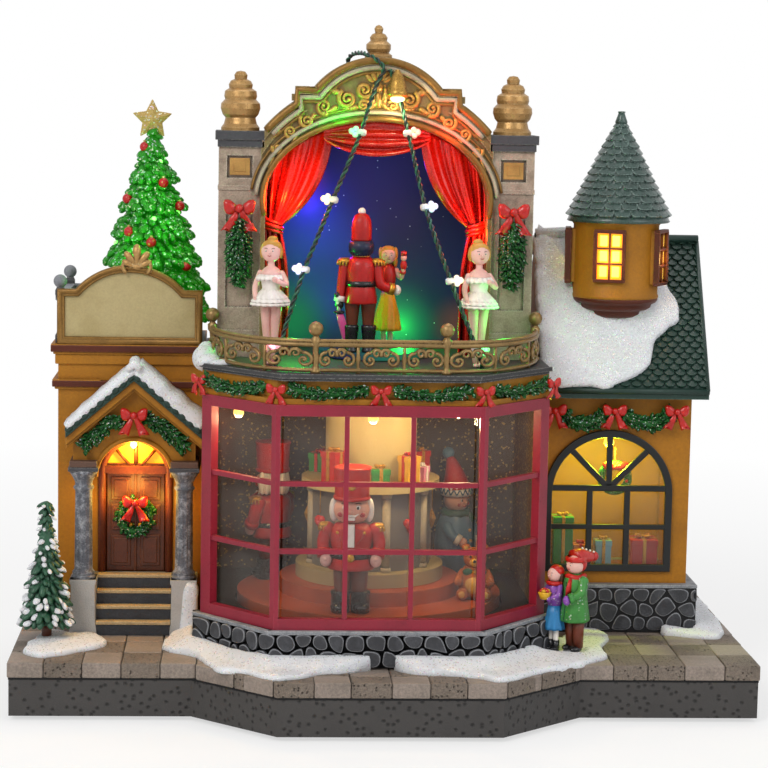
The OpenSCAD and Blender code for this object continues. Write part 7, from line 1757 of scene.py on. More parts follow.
def stoneField(s, path, z0, z1, rng, size=7.2, out=1.0):
    # rounded stones over a wall that follows path (a list of points seen from above), z0 to z1
    lengths = [0]
    for a, b in zip(path, path[1:]):
        lengths.append(lengths[-1] + (b - a).length)
    total = lengths[-1]

    def place(u, v, lift):
        u = min(max(u, 0), total)
        k = max(i for i in range(len(path) - 1) if lengths[i] <= u + 1e-9)
        a, b = path[k], path[k + 1]
        t = (u - lengths[k]) / (lengths[k + 1] - lengths[k])
        way = (b - a).normalized()
        n = Vector((way.y, -way.x))
        if u - lengths[k] < 2.5 and k > 0:
            w2 = (path[k] - path[k - 1]).normalized()
            n = (n + Vector((w2.y, -w2.x)) * (1 - (u - lengths[k]) / 2.5) * 0.5).normalized()
        c = a.lerp(b, t) + n * lift
        return Vector((c.x, c.y, v))
    seeds, rows = [], max(int(round((z1 - z0) / (size * 0.88))), 2)
    for r in range(rows):
        count = int(total / size)
        for k in range(count):
            u = (k + 0.5 * (r % 2) + rng.uniform(0.12, 0.88)) * total / count
            v = z0 + (r + rng.uniform(0.28, 0.72)) * (z1 - z0) / rows
            seeds.append(Vector((min(u, total), v)))
    for i, c in enumerate(seeds):
        ring = [Vector(q) for q in ((max(c.x - size * 1.5, 0.2), z0), (min(c.x + size * 1.5, total - 0.2), z0),
            (min(c.x + size * 1.5, total - 0.2), z1), (max(c.x - size * 1.5, 0.2), z1))]
        for j, o in enumerate(seeds):
            if j != i and abs(o.x - c.x) < size * 3:
                ring = cutRing(ring, (c + o) / 2, (o - c).normalized())
                if len(ring) < 3:
                    break
        ring = cleanRing(ring, 0.5) if len(ring) >= 3 else []
        ring = insetRing(ring, 0.38) if len(ring) >= 3 else None
        if not ring:
            continue
        # round the corners twice
        for _ in range(2):
            ring = [p.lerp(q, t) for p, q in zip(ring, ring[1:] + ring[:1]) for t in (0.25, 0.75)]
        m = sum(ring, Vector((0, 0))) / len(ring)
        n, verts = len(ring), []
        big = rng.uniform(0.75, 1.0) * out
        for shrink, lift in ((1.0, -0.6), (0.97, 0.62 * big), (0.86, 0.98 * big), (0.72, 0.86 * big)):
            verts += [place(m.x + (q.x - m.x) * shrink, m.y + (q.y - m.y) * shrink, lift) for q in ring]
        verts += [place(m.x, m.y, 1.04 * big), place(m.x, m.y, -0.6)]
        bands = gridFaces(3, n)
        caps = [(3 * n + k, 3 * n + (k + 1) % n, 4 * n) for k in range(n)] + [((k + 1) % n, k, 4 * n + 1) for k in range(n)]
        s.add(verts, bands[:n] + bands[2 * n:] + caps, charcoalStone)
        s.add(verts, bands[n:2 * n], stoneRim)


stoneRim = painted("stoneRim", "85878c", wash=("3e3f43", 0.7), drift=0.3, patch=0.003, grain=0.0007, rough=0.6, bump=0.4)


def makePlinths():
    rng = random.Random(17)
    s = Shape("plinthStones")
    path = [Vector(q) + stageAt.xy for q in ((-78.2, -40.8), (-45.2, -75.6), (45.2, -75.6), (78.2, -40.8))]
    stoneField(s, path, 25.6, 40.4, rng, size=7.6, out=0.9)
    stoneField(s, [Vector((70.2, -6.9)), Vector((142.9, -6.9)), Vector((142.9, 61.9)), Vector((70.2, 61.9))], 25.6, 45.6, rng, size=8.4,
        out=0.9)
    s.build(slot="grey_stone")


baseWall = painted("baseWall", "454342", wash=("363434", 0.4), drift=0.12, patch=0.02, grain=0.0006, rough=0.66, bump=0.35, speck=0.0034,
    upright=True)
pavingStone = painted("pavingStone", "8c8077", wash=("57504a", 0.5), drift=0.28, patch=0.02, grain=0.0012, rough=0.55,
    recess=("1a1817", 0.9, 0.0012), edge=("8e867e", 0.5, 0.0008), bump=0.25)
pavingRough = painted("pavingRough", "84786d", wash=("4c443c", 0.6), drift=0.28, patch=0.02, grain=0.0009, rough=0.62,
    recess=("1a1817", 0.9, 0.0012), edge=("9a8d80", 0.4, 0.0008), bump=2.2, speck=0.0016)
makePaving()
makePlinths()
print("paving and stones made")


# outlines seen from above, and what the drift leans against
drifts = {
    "left": [(-150.8, -23.7), (-154.6, -47.8), (-149.7, -60.2), (-139.1, -57.7), (-132.1, -51.0), (-120.3, -39.9), (-125.8, -21.5),
        (-137.0, -19.5), (-148.5, -12)],
    "middle": [(-90.5, -16), (-96.1, -39.4), (-93.0, -48.8), (-80.7, -60.1), (-71.7, -82.5), (-62.2, -86.4), (-48.6, -98), (-35.9, -94.0),
        (-29.4, -88.5), (-13.2, -84), (-7.6, -80.5), (-14, -77.5), (-50.5, -77.5), (-81, -44), (-81.2, -12)],
    "right": [(2.4, -78.5), (5.8, -84.5), (13.9, -88.5), (27.3, -90.5), (37.1, -93.7), (42.4, -98.9), (46.7, -99.9), (55.3, -92.8),
        (64.8, -83.8), (69.1, -80.5), (75.3, -76.6), (85.6, -67.9), (95.1, -58.1), (95.6, -39.8), (101.5, -23.1), (98.1, -9), (86, -8),
        (74.5, -42), (40.5, -77.5), (12, -77)],
    "corner": [(127.7, -8), (128.8, -12.3), (139.1, -17.3), (149.3, -21.0), (154.5, -14.6), (157.6, 3.0), (158.2, 18.4), (157.6, 61.5),
        (150.8, 70), (143.1, 66), (143.1, -6)],
}
roofSnow = [(0.0, 0.4), (8.2, 0.4), (19.0, 0.3), (34, 0.2), (45, -1), (58.3, -9.4), (59.7, -25.2), (62.5, -30.9), (63.7, -41.2),
    (59.7, -45.9), (52.3, -52.1), (51.0, -59.3), (45.3, -68.4), (35.9, -72.1), (32.0, -75.4), (24.6, -75.9), (16.9, -75.2), (9.3, -76.0),
    (5.0, -75.5), (0.4, -73.5)]


def rimDistance(p, ring):
    best = 1e9
    for a, b in zip(ring, ring[1:] + ring[:1]):
        d = b - a
        t = min(max((p - a).dot(d) / max(d.length_squared, 1e-9), 0), 1)
        best = min(best, (p - a - d * t).length)
    return best


def insideRing(p, ring):
    hit = False
    for a, b in zip(ring, ring[1:] + ring[:1]):
        if (a.y > p.y) != (b.y > p.y) and p.x < a.x + (b.x - a.x) * (p.y - a.y) / (b.y - a.y):
            hit = not hit
    return hit


def wavyRing(points, step, wave, seed):
    p = [Vector(q) for q in points]
    n = len(p)
    ring = []
    for i in range(n):
        a, b = p[i], p[(i + 1) % n]
        count = max(int((b - a).length / step), 1)
        for k in range(count):
            t = k / count
            q = 0.5 * (2 * a + (b - p[i - 1]) * t + (2 * p[i - 1] - 5 * a + 4 * b - p[(i + 2) % n]) * t * t
                + (3 * a - p[i - 1] - 3 * b + p[(i + 2) % n]) * t ** 3)
            w = noise.noise(Vector((q.x * 0.16, q.y * 0.16, seed)))
            v = noise.noise(Vector((q.x * 0.16, q.y * 0.16, seed + 9)))
            ring.append(q + Vector((w, v)) * wave)
    return ring


def makeDrift(s, points, place, height, step=1.5, wave=1.2, seed=0, deep=0.7):
    # a snow patch: place(u, v, h) gives the world point, height(p, distance to rim) its thickness
    ring = wavyRing(points, step, wave, seed)
    inner = []
    x0, x1 = min(q.x for q in ring), max(q.x for q in ring)
    y0, y1 = min(q.y for q in ring), max(q.y for q in ring)
    for gap in (0.35, 0.9):
        for a, b, c in zip(ring[-1:] + ring[:-1], ring, ring[1:] + ring[:1]):
            t = (c - a).normalized()
            q = b + Vector((-t.y, t.x)) * gap * (1 if ringArea(ring) > 0 else -1)
            if insideRing(q, ring) and rimDistance(q, ring) > gap * 0.8:
                inner.append(q)
    rows = int((y1 - y0) / (step * 0.87)) + 1
    for j in range(rows):
        for k in range(int((x1 - x0) / step) + 1):
            q = Vector((x0 + (k + 0.5 * (j % 2)) * step, y0 + j * step * 0.87))
            if insideRing(q, ring) and rimDistance(q, ring) > 1.5:
                inner.append(q)
    n = len(ring)
    verts, _, faces, _, _, _ = geometry.delaunay_2d_cdt(ring + inner, [(k, (k + 1) % n) for k in range(n)], [], 1, 1e-4)
    verts = [Vector(v) for v in verts]
    top = [place(v.x, v.y, height(v, rimDistance(v, ring))) for v in verts]
    low = [place(v.x, v.y, -deep) for v in verts]
    m = len(verts)
    count = {}
    for f in faces:
        for a, b in zip(f, list(f[1:]) + [f[0]]):
            count[(a, b)] = count.get((a, b), 0) + 1
    rim = [(a, b) for a, b in count if (b, a) not in count]
    s.add(top + low, [tuple(f) for f in faces] + [tuple(i + m for i in reversed(f)) for f in faces] + [(b, a, a + m, b + m) for a,
        b in rim], snowWhite)


def ringArea(ring):
    return sum(ring[i - 1].x * q.y - q.x * ring[i - 1].y for i, q in enumerate(ring)) / 2


def roundedEdge(d, thick, size):
    t = min(d / size, 1.0)
    return thick * (0.25 + 0.75 * sqrt(max(1 - (1 - t) ** 2, 0)))


def wallDistance(p, wall):
    return min(((p - a) - (b - a) * min(max((p - a).dot(b - a) / (b - a).length_squared, 0), 1)).length for a, b in zip(wall, wall[1:]))


def makeSnow():
    s = Shape("snowDrifts")
    bay = [Vector(q) for q in ((-81, 10), (-83.3, -44.8), (-50.3, -80), (40.3, -80), (73.4, -44.8), (73.4, 0))]
    house = [Vector(q) for q in ((69, -7.5), (143.6, -7.5), (143.6, 66))]

    def ground(x, y, h):
        return Vector((x, y, 25 + h))
    for k, (name, ring) in enumerate(drifts.items()):
        wall, rise = (bay, 4.6) if name in ("middle", "right") else (house, 2.5)
        if name == "left":
            wall = None

        def height(p, d, wall=wall, rise=rise, k=k):
            h = roundedEdge(d, 2.0, 1.7) + 0.9 * (1 - exp(-d / 6)) + 0.35 * noise.noise(Vector((p.x * 0.22, p.y * 0.22, k)))
            if wall:
                near = wallDistance(p, wall)
                h = max(h, 0.4 * h + rise * exp(-(near / 6.5) ** 2) + 1.0) if d > 0.2 else h + rise * exp(-(near / 3) ** 2) * 0.9
                if name == "right":
                    walker = min((p - Vector((82, -50))).length, (p - Vector((73.4, -48.4))).length)
                    h = min(h, 1.5 + max(walker - 4.5, 0) * 0.5)
            return h
        makeDrift(s, ring, ground, height, step=2.0, wave=1.3, seed=k)
    # the arm that climbs beside the porch
    arm = [(-88.4, 24), (-88.6, 34), (-88.2, 41), (-87.6, 46), (-85.6, 49.4), (-82.8, 49.2), (-81.2, 46.4), (-81.0, 40), (-81.4, 34),
        (-80.6, 24)]
    makeDrift(s, arm, lambda x, z, h: Vector((x, -18.2 - h, z)), lambda p, d: roundedEdge(d, 2.6, 2.2) + 0.9 * max(0, 36 - p.y) / 12,
        step=1.5, wave=0.5, seed=6, deep=2.5)
    # roof
    normal = Vector((0, -1.59, 1)).normalized()
    down = Vector((0, -1, -1.59)).normalized()

    def slope(u, v, h):
        return Vector((69.8 + u, 28, 201)) + down * -v + normal * h

    def roofHeight(p, d):
        q = Vector((69.8 + p.x, 28 + p.y * 0.5324))
        around0 = (q - Vector((104.5, 10))).length - 19.3
        h = roundedEdge(d, 2.4, 2.0) + 1.6 * (1 - exp(-d / 9)) + 0.5 * noise.noise(Vector((p.x * 0.12, p.y * 0.12, 3)))
        return h + 0.9 * exp(-max(around0, 0) / 3) if p.y > -50 else h
    makeDrift(s, roofSnow, slope, roofHeight, step=2.2, wave=1.4, seed=11, deep=1.2)
    # over the ridge to the back
    back = [(0, -0.5), (20, -0.5), (36, -0.5), (46, -1), (43, -7), (34, -10), (22, -9), (10, -12), (0, -10)]
    makeDrift(s, back, lambda u, v, h: Vector((69.8 + u, 28, 201)) + Vector((0, 1, -1.59)).normalized() * -v + Vector((0, 1.59,
        1)).normalized() * h, lambda p, d: roundedEdge(d if p.y < -3 else max(d, 3), 2.6, 2.0), step=2.2, wave=0.8, seed=14, deep=1.2)
    s.tube([(70.2, 28, 202.4), (82, 28, 202.8), (96, 28, 202.7), (108, 28, 202.2), (115, 28, 201.4)], [2.6, 3.0, 3.0, 2.6, 1.6], snowWhite,
        steps=14)
    # porch gable: a thick strip on each slope
    x0, top = -109.7, 143.5
    for m in (-1, 1):
        strip, n = [], 26
        for k in range(n + 1):
            t = k / n
            d = t * 29.6
            thick = (3.0 if m < 0 else 4.4) * (1 - 0.45 * t if m < 0 else 1) + 0.7 * noise.noise(Vector((d * 0.25, m, 2)))
            if t > 0.93:
                thick *= 0.8
            z = top - 0.85 * d
            strip.append((Vector((x0 + m * d, 0, z)), thick))
        rows = []
        for p, thick in strip:
            up = Vector((m * 0.648, 0, 0.762))
            wobble = 0.5 * noise.noise(Vector((p.x * 0.3, 5, m)))
            prof = [(-21.7 + wobble, -1.6), (-22.1 + wobble, -0.2), (-21.6 + wobble, thick * 0.62), (-20.2, thick * 0.92), (-17, thick),
                (-8, thick), (-1, thick * 0.95), (0, 0.2), (0, -1.2), (-10, -1.4)]
            rows.append([p + up * h + Vector((0, y, 0)) for y, h in prof])
        k = len(rows[0])
        verts = flatten(rows)
        faces = gridFaces(n, k)
        faces += [tuple(range(k)), tuple(n * k + j for j in range(k - 1, -1, -1))]
        s.add(verts, faces, snowWhite)
    s.tube([(x0 - 3, -21.6, 143.4), (x0, -22, 146.2), (x0 + 3, -21.6, 143.6)], [1.6, 2.2, 1.9], snowWhite, steps=12)
    s.tube([(x0, -21.5, 145.4), (x0, -12, 146), (x0, -2, 145.6)], [2.2, 2.6, 2.0], snowWhite, steps=12)
    # lump on the left end of the balcony slab
    for at, r in (((-79.2, -27, 149.6), (5.2, 9, 5.6)), ((-78.4, -20, 149.6), (4.6, 6.5, 6.8)), ((-77.0, -36, 149.4), (5.4, 5.5, 3.4)),
            ((-70.5, -42.5, 149.2), (6.0, 3.4, 1.9))):
        s.ball(at, r, snowWhite, rings=14, steps=26)
    s.build(slot="snow", replaces=("snow_patches",))


makeSnow()
print("snow made")


mainRoof = {"x0": 69.8, "x1": 145.0, "ridge": (28.0, 201.0), "run": 40.0, "slope": 1.59, "rows": 27, "width": 4.9}
coneRoof = {"at": (105.3, 10, 211.8), "radius": 24.0, "height": 47.0, "rows": 15, "width": 7.6}


def scaleTile(width, length, thick, corner):
    # one roof tile: lies on XY with its lower edge towards -Y, thick there and thin above
    half = width / 2 * 0.955
    rim = [(-half, length)]
    for m, a0 in ((-1, 180), (1, 270)):
        for k in range(5):
            a = radians(a0 + 90 * k / 4)
            rim.append((m * (half - corner) + corner * cos(a), corner + corner * sin(a)))
    rim.append((half, length))
    s = Shape("tile")

    def lift(x, y, share):
        return thick * (1 - 0.85 * y / length) * share + 0.12 * thick * (1 - (x / half) ** 2)
    n = len(rim)
    cx, cy = 0, length * 0.45
    rows = [[(x, y, -0.5) for x, y in rim], [(x, y, lift(x, y, 0.7)) for x, y in rim],
            [(cx + (x - cx) * 0.9, cy + (y - cy) * 0.93, lift(x, y, 1.0)) for x, y in rim]]
    verts = flatten(rows) + [(0, length * 0.5, lift(0, length * 0.5, 1.1)), (0, length * 0.5, -0.5)]
    faces = gridFaces(2, n)
    faces += [(2 * n + k, 2 * n + (k + 1) % n, 3 * n) for k in range(n)] + [((k + 1) % n, k, 3 * n + 1) for k in range(n)]
    return s.add(verts, faces, shingleGreen)


def makeRoofs():
    d = mainRoof
    ry, rz = d["ridge"]
    length = d["run"] * hypot(1, d["slope"])
    step = length / d["rows"]
    core, places = Shape("roofCore"), []
    thin = 1.0
    eave = rz - d["run"] * d["slope"]
    section = [(ry - d["run"], eave - thin), (ry, rz - thin * 1.9), (ry + d["run"], eave - thin), (ry + d["run"], eave - 5.4), (ry, rz - 7),
        (ry - d["run"], eave - 5.4)]
    core.plate(section, d["x0"], d["x1"], shingleGreen, plane="yz")
    for m in (-1, 1):
        n = Vector((0, m * d["slope"], 1)).normalized()
        down = Vector((0, m, -d["slope"])).normalized()
        side = Vector((-m, 0, 0))
        count = int((d["x1"] - d["x0"]) / d["width"])
        wide = (d["x1"] - d["x0"]) / count
        for r in range(d["rows"]):
            low = (r + 1) * step
            half = r % 2
            for k in range(count + half):
                x = d["x0"] + wide * (k + (0 if half else 0.5))
                size = (1, 1, 1)
                if half and k in (0, count):
                    x, size = (d["x0"] + wide * 0.25, (0.5, 1, 1)) if k == 0 else (d["x1"] - wide * 0.25, (0.5, 1, 1))
                p = Vector((x, ry, rz)) + down * (low - 0.1) + n * -0.75
                places.append((p, n, side, size))
    wide = (d["x1"] - d["x0"]) / int((d["x1"] - d["x0"]) / d["width"])
    repeatPart("roofTiles", scaleTile(wide, step * 1.55, 1.35, wide * 0.42), places, shingleGreen, turnChange=0.02, seed=4,
        smooth=False)
    # ridge bar, end boards and gutter edges
    core.tube([(d["x0"], ry, rz + 0.2), (d["x1"], ry, rz + 0.2)], 2.3, shingleGreen, steps=16, flat=0.8)
    for m in (-1, 1):
        x = d["x1"] - 0.9
        core.tube([(x, ry + m * (d["run"] + 0.4), eave - 1.6), (x, ry + m * 0.6, rz - 0.6)], 1.3, shingleGreen, steps=4)
        core.tube([(d["x0"], ry + m * d["run"], eave - 1.9), (d["x1"], ry + m * d["run"], eave - 1.9)], 1.5, shingleGreen, steps=8)
    core.build(slot="shingle", replaces=("right_roof",))
    c = coneRoof
    at = Vector(c["at"])
    cone = Shape("coneCore")
    cone.lathe([(0, 0.4), (c["radius"] - 1.6, -2.2), (c["radius"] - 0.9, -1.8), (c["radius"] - 1.4, -0.6), (1.0, c["height"] - 2.4),
        (0, c["height"] - 2.2)], at, coneGreen, 64)
    cone.lathe([(0, -4.2), (2.7, -4.4), (2.8, -3.8), (1.9, -1.4), (1.5, -0.2), (0.8, 0.5), (0, 0.7)],
        at + Vector((0, 0, c["height"] - 0.8)), coneGreen, 24)
    cone.build(slot="shingle", replaces=("turret_roof",))
    slant = hypot(c["radius"], c["height"])
    tiles, stepC = [], (slant - 2) / c["rows"]
    for r in range(c["rows"]):
        along = slant - 2 - r * stepC - 0.2  # distance from the apex of the tile's lower edge
        rad = c["radius"] * along / slant
        count = max(int(round(2 * pi * rad / c["width"])), 7)
        width = 2 * pi * rad / count
        for k in range(count):
            a = 2 * pi * (k + 0.5 * (r % 2) + 0.21 * r) / count
            out = Vector((cos(a), sin(a), 0))
            n = (out * c["height"] + Vector((0, 0, c["radius"]))).normalized()
            p = at + out * rad + Vector((0, 0, c["height"] * (1 - along / slant) - 1.4)) - n * 0.55
            tiles.append((p, n, Vector((-out.y, out.x, 0)), (width / c["width"], 1, 0.8 + 0.2 * width / c["width"])))
    repeatPart("coneTiles", scaleTile(c["width"], stepC * 1.5, 1.5, 1.5), tiles, coneGreen, turnChange=0.02, seed=6,
        smooth=False)


makeRoofs()
print("roofs made")


amberGlow = painted("amberGlow", "ff9a1c", rough=0.3, drift=0.05, glow=("ff8a12", 1.6), coat=0.3)
brightGlow = painted("brightGlow", "ffd95a", rough=0.3, drift=0.05, glow=("ffd24a", 2.6), coat=0.3)
redTrim = painted("redTrim", "521f0b", wash=("301004", 0.5), drift=0.15, patch=0.012, rough=0.42, recess=("1c0a04", 0.8, 0.0015),
    edge=("a8663c", 0.6, 0.0006), bump=0.15)
turret = {"at": (104.5, 10, 175.8), "radius": 19.3}


def paneWindow(s, lo, hi, rows, cols, face, out, frameMat):
    # a window standing on the plane y = face, looking to -Y: frame, bars and lit panes
    x0, z0 = lo
    x1, z1 = hi
    rim = 1.5
    for a, b in (((x0, z0), (x1, z0 + rim)), ((x0, z1 - rim), (x1, z1)), ((x0, z0 + rim), (x0 + rim, z1 - rim)),
            ((x1 - rim, z0 + rim), (x1, z1 - rim))):
        s.block((a[0], face - out, a[1]), (b[0], face + 1, b[1]), frameMat)
    w, h = (x1 - x0 - 2 * rim) / cols, (z1 - z0 - 2 * rim) / rows
    for k in range(1, cols):
        s.block((x0 + rim + w * k - 0.45, face - out * 0.8, z0 + rim - 0.1), (x0 + rim + w * k + 0.45, face + 1, z1 - rim + 0.1), frameMat)
    for k in range(1, rows):
        s.block((x0 + rim - 0.1, face - out * 0.75, z0 + rim + h * k - 0.45), (x1 - rim + 0.1, face + 1, z0 + rim + h * k + 0.45), frameMat)
    s.block((x0 + 0.6, face + 0.1, z0 + 0.6), (x1 - 0.6, face + 0.9, z1 - 0.6), amberGlow)
    for i in range(cols):
        for j in range(rows):
            s.block((x0 + rim + w * i + 1.1, face - 0.25, z0 + rim + h * j + 1.1), (x0 + rim + w * (i + 1) - 1.1, face + 0.3,
                z0 + rim + h * (j + 1) - 1.1), brightGlow)


def makeTurret():
    t = turret
    s = Shape("turretBody")
    at, r = Vector(t["at"]), t["radius"]
    s.lathe([(0, 0), (r + 0.3, 0), (r + 0.3, 1.2), (r - 0.1, 1.8), (r - 0.1, 32.5), (r + 0.6, 33.4), (r + 0.7, 34.6), (r, 35.6), (0, 36.4)],
        at, mustardPaint, 64)
    s.lathe([(0, -11.6), (6.5, -11.6), (8.2, -10.6), (8.4, -9.2), (11.0, -8.6), (12.6, -7.4), (12.8, -6.0), (15.0, -5.4), (16.6, -4.2),
        (16.8, -2.8), (18.6, -2.2), (19.4, -1.0), (19.5, 0.2), (0, 0.4)], at, redTrim, 64)
    s.build(slot="mustard", replaces=("turret",), bevel=0)
    w = Shape("turretWindows")
    w.move(at, -16.5)
    paneWindow(w, (-7, 7.6), (7, 31), 3, 2, -r - 0.3, 1.1, redTrim)
    for a in (62, -97):
        w.move(at, a)
        w.block((-5.6, -r - 1.8, 6.6), (5.6, -r + 5, 30.4), mustardPaint)
        paneWindow(w, (-6.5, 6), (6.5, 31), 3, 2, -r - 1.8, 1.6, redTrim)
    w.build(slot="mustard", bevel=0.25, segments=2)
    for a, z in ((-106, 18), (-28, 18)):
        q = radians(a)
        pointLamp("turretGlow", (at.x + 25 * cos(q), at.y + 25 * sin(q), at.z + z), 0.004, (1.0, 0.55, 0.15), 3)


makeTurret()
print("turret made")


leftHouse = {"x0": -144.2, "x1": -79.8, "back": 64, "bands": [(133.4, 136.6, 2.4), (149.0, 152.4, 3.0)], "porch": -109.7}
signBoard = {"center": -112.6, "half": 32, "low": 152.4, "shoulder": 176.9, "rise": 10.8, "face": -2.8}


def makeLeftTrims():
    h = leftHouse
    s = Shape("leftTrims")
    for z0, z1, out in h["bands"]:
        s.block((h["x0"] - out - 0.15, -out - 0.15, z0 - 0.1), (h["x1"] + 0.05, h["back"] + out + 0.15, z1 - 0.3), redTrim)
        s.block((h["x0"] - out + 0.9, -out + 0.9, z0 - 1.2), (h["x1"] + 0.05, h["back"] + out - 0.9, z0 + 0.2), mustardPaint)
    s.block((h["x0"] - 1.3, -1.3, 143.4), (h["x1"] + 0.05, h["back"] + 1.3, 147.9), mustardPaint)
    s.build(slot="mustard", bevel=0.45, segments=2)


def signRing(grow):
    d = signBoard
    c = d["half"] - 8
    rr = (c * c + d["rise"] ** 2) / (2 * d["rise"])
    cz = d["shoulder"] + d["rise"] - rr
    a0 = degrees(asin(c / rr))
    pts = [(-d["half"], d["low"]), (d["half"], d["low"]), (d["half"], d["shoulder"]), (c, d["shoulder"])]
    pts += arcLine(0, cz, rr, 90 - a0, 90 + a0, 30)[1:-1] + [(-c, d["shoulder"]), (-d["half"], d["shoulder"])]
    ring = [Vector(p) for p in pts]
    return insetRing(ring, grow) if grow else ring


def makeSign():
    d = signBoard
    s = Shape("signFrame")
    rows = []
    for grow, y in ((0, 1.2), (0, -0.4), (0.35, -1.1), (1.1, -1.5), (1.9, -1.2), (2.2, -0.6), (2.6, -0.9), (3.1, -0.7), (3.4, 0.4),
            (3.4, 1.6)):
        rows.append([Vector((d["center"] + q.x, d["face"] + 0.8 + y, q.y)) for q in signRing(grow)])
    s.add(flatten(rows), gridFaces(len(rows) - 1, len(rows[0])), oldGold)
    s.plate([(d["center"] + q.x, q.y) for q in signRing(3.2)], d["face"] + 1.3, d["face"] + 2.2, signCream)
    s.plate([(d["center"] + q.x, q.y) for q in signRing(0.3)], d["face"] + 2.0, d["face"] + 3.9, oldGold)
    # palmette on the crown
    top = Vector((d["center"] + 3.0, d["face"] - 0.2, d["shoulder"] + d["rise"] - 1.2))
    for a, long, wide in ((0, 10.6, 1.9), (28, 8.8, 1.6), (-28, 8.8, 1.6), (56, 7.2, 1.4), (-56, 7.2, 1.4)):
        way = Vector((sin(radians(a)), 0, cos(radians(a))))
        side = Vector((way.z, 0, -way.x)) * (1 if a >= 0 else -1)
        line = [top + way * long * t + side * (long * 0.16 * t * t if a else 0) + Vector((0, -0.9 * sin(pi * t), 0)) for t in (0, 0.2, 0.4,
            0.6, 0.8, 0.93, 1.0)]
        s.tube(line, [wide * k for k in (0.45, 0.55, 0.75, 0.98, 1.0, 0.7, 0.2)], finialGold, steps=12, flat=0.75, up=(0, 1, 0))
    for m in (-1, 1):
        curl = [top + Vector((m * (3.2 + (2.9 - 0.55 * t) * cos(t)), -0.6, 1.2 + (2.9 - 0.55 * t) * sin(t)))
            for t in [0.4 * k for k in range(-3, 12)]]
        s.tube(curl, [lerp(0.9, 0.55, k / 14) for k in range(15)], finialGold, steps=8)
    s.ball(top + Vector((0, -0.6, 0.6)), (2.2, 1.2, 1.3), finialGold, rings=8, steps=14)
    s.build(slot="gold", replaces=("sign_board",))


def makePorch():
    x0 = leftHouse["porch"]
    s = Shape("porchTrim")
    # pediment: green fascia, mustard moulding and the sunk triangle
    top, slope = 143.5, 0.85
    for m in (-1, 1):
        a, b = Vector((x0 + m * 29.7, 0, top - slope * 29.7)), Vector((x0, 0, top))
        for y0, y1, hi, lo, mat in ((-21.3, -17.0, 0.2, -5.0, shingleGreen), (-19.4, -15.5, -5.0, -8.6, mustardPaint),
                (-17.2, -14.2, -8.4, -10.2, mustardPaint)):
            ring = [(a.x, a.z + hi), (b.x, b.z + hi), (b.x, b.z + lo), (a.x, a.z + lo)]
            s.plate(ring, y0, y1, mat)
        for k in range(9):
            # tile ends under the snow
            t = (k + 0.5) / 9
            c = a.lerp(b, t)
            s.ball((c.x, -21.1, c.z - 2.2), (2.3, 0.9, 1.7), shingleGreen, turn=around("Y", m * 40.4), rings=6, steps=10)
    # arch moulding round the opening
    s.tube([(x, -14.3, z) for x, z in arcLine(x0, 95.1, 16.9, 0, 180, 32)], 1.1, mustardPaint, steps=8)
    column = [(0, 49.6), (4.9, 49.6), (5.3, 50.2), (5.3, 51.0), (4.6, 51.6), (4.9, 52.2), (4.9, 52.9), (4.2, 53.6), (4.0, 54.6), (3.95, 60),
        (3.7, 88.5), (3.9, 89.4), (4.5, 90.0), (4.5, 90.8), (3.8, 91.5), (3.9, 93.0), (4.6, 94.6), (5.8, 96.6), (6.2, 97.2), (6.2, 98.2),
        (0, 98.2)]
    for m in (-1, 1):
        c = (x0 + m * 22.1, -13.6, 0)
        s.lathe(column, c, columnGrey, 96, flute=lambda a, z: 1 - (0.1 * max(0.0, cos(12 * a)) ** 0.6 if 55 < z < 88 else 0))
        x = c[0]
        s.block((x - 6.6, -19.4, 98.0), (x + 6.6, 0.2, 99.9), slateCap)
        s.block((x - 6.0, -18.9, 99.9), (x + 6.0, 0.2, 102.6), brownTrim)
        ped = [(-6.1, 25.0), (6.1, 25.0), (5.9, 28.6), (5.45, 30.0), (5.3, 47.4), (5.8, 48.2), (5.9, 50.0), (-5.9, 50.0), (-5.8, 48.2),
            (-5.3, 47.4), (-5.45, 30.0), (-5.9, 28.6)]
        s.plate([(x + px, pz) for px, pz in ped], -19.25, -6.0, pedestalStone)
    s.build(slot="mustard", bevel=0.3, segments=2, angle=50)
    t = Shape("porchSteps")
    for k in range(4):
        y, z = -18.4 + 4 * k, 25 + 6.25 * (k + 1)
        t.block((x0 - 16.3, y - 0.25, z - 6.25), (x0 + 16.3, y + 4.2, z - 1.3), stepDark)
        t.block((x0 - 16.5, y - 0.75, z - 1.5), (x0 + 16.5, y + 4.2, z + 0.05), stepTan)
    t.build(slot="weathered_stone", bevel=0.4, segments=3)


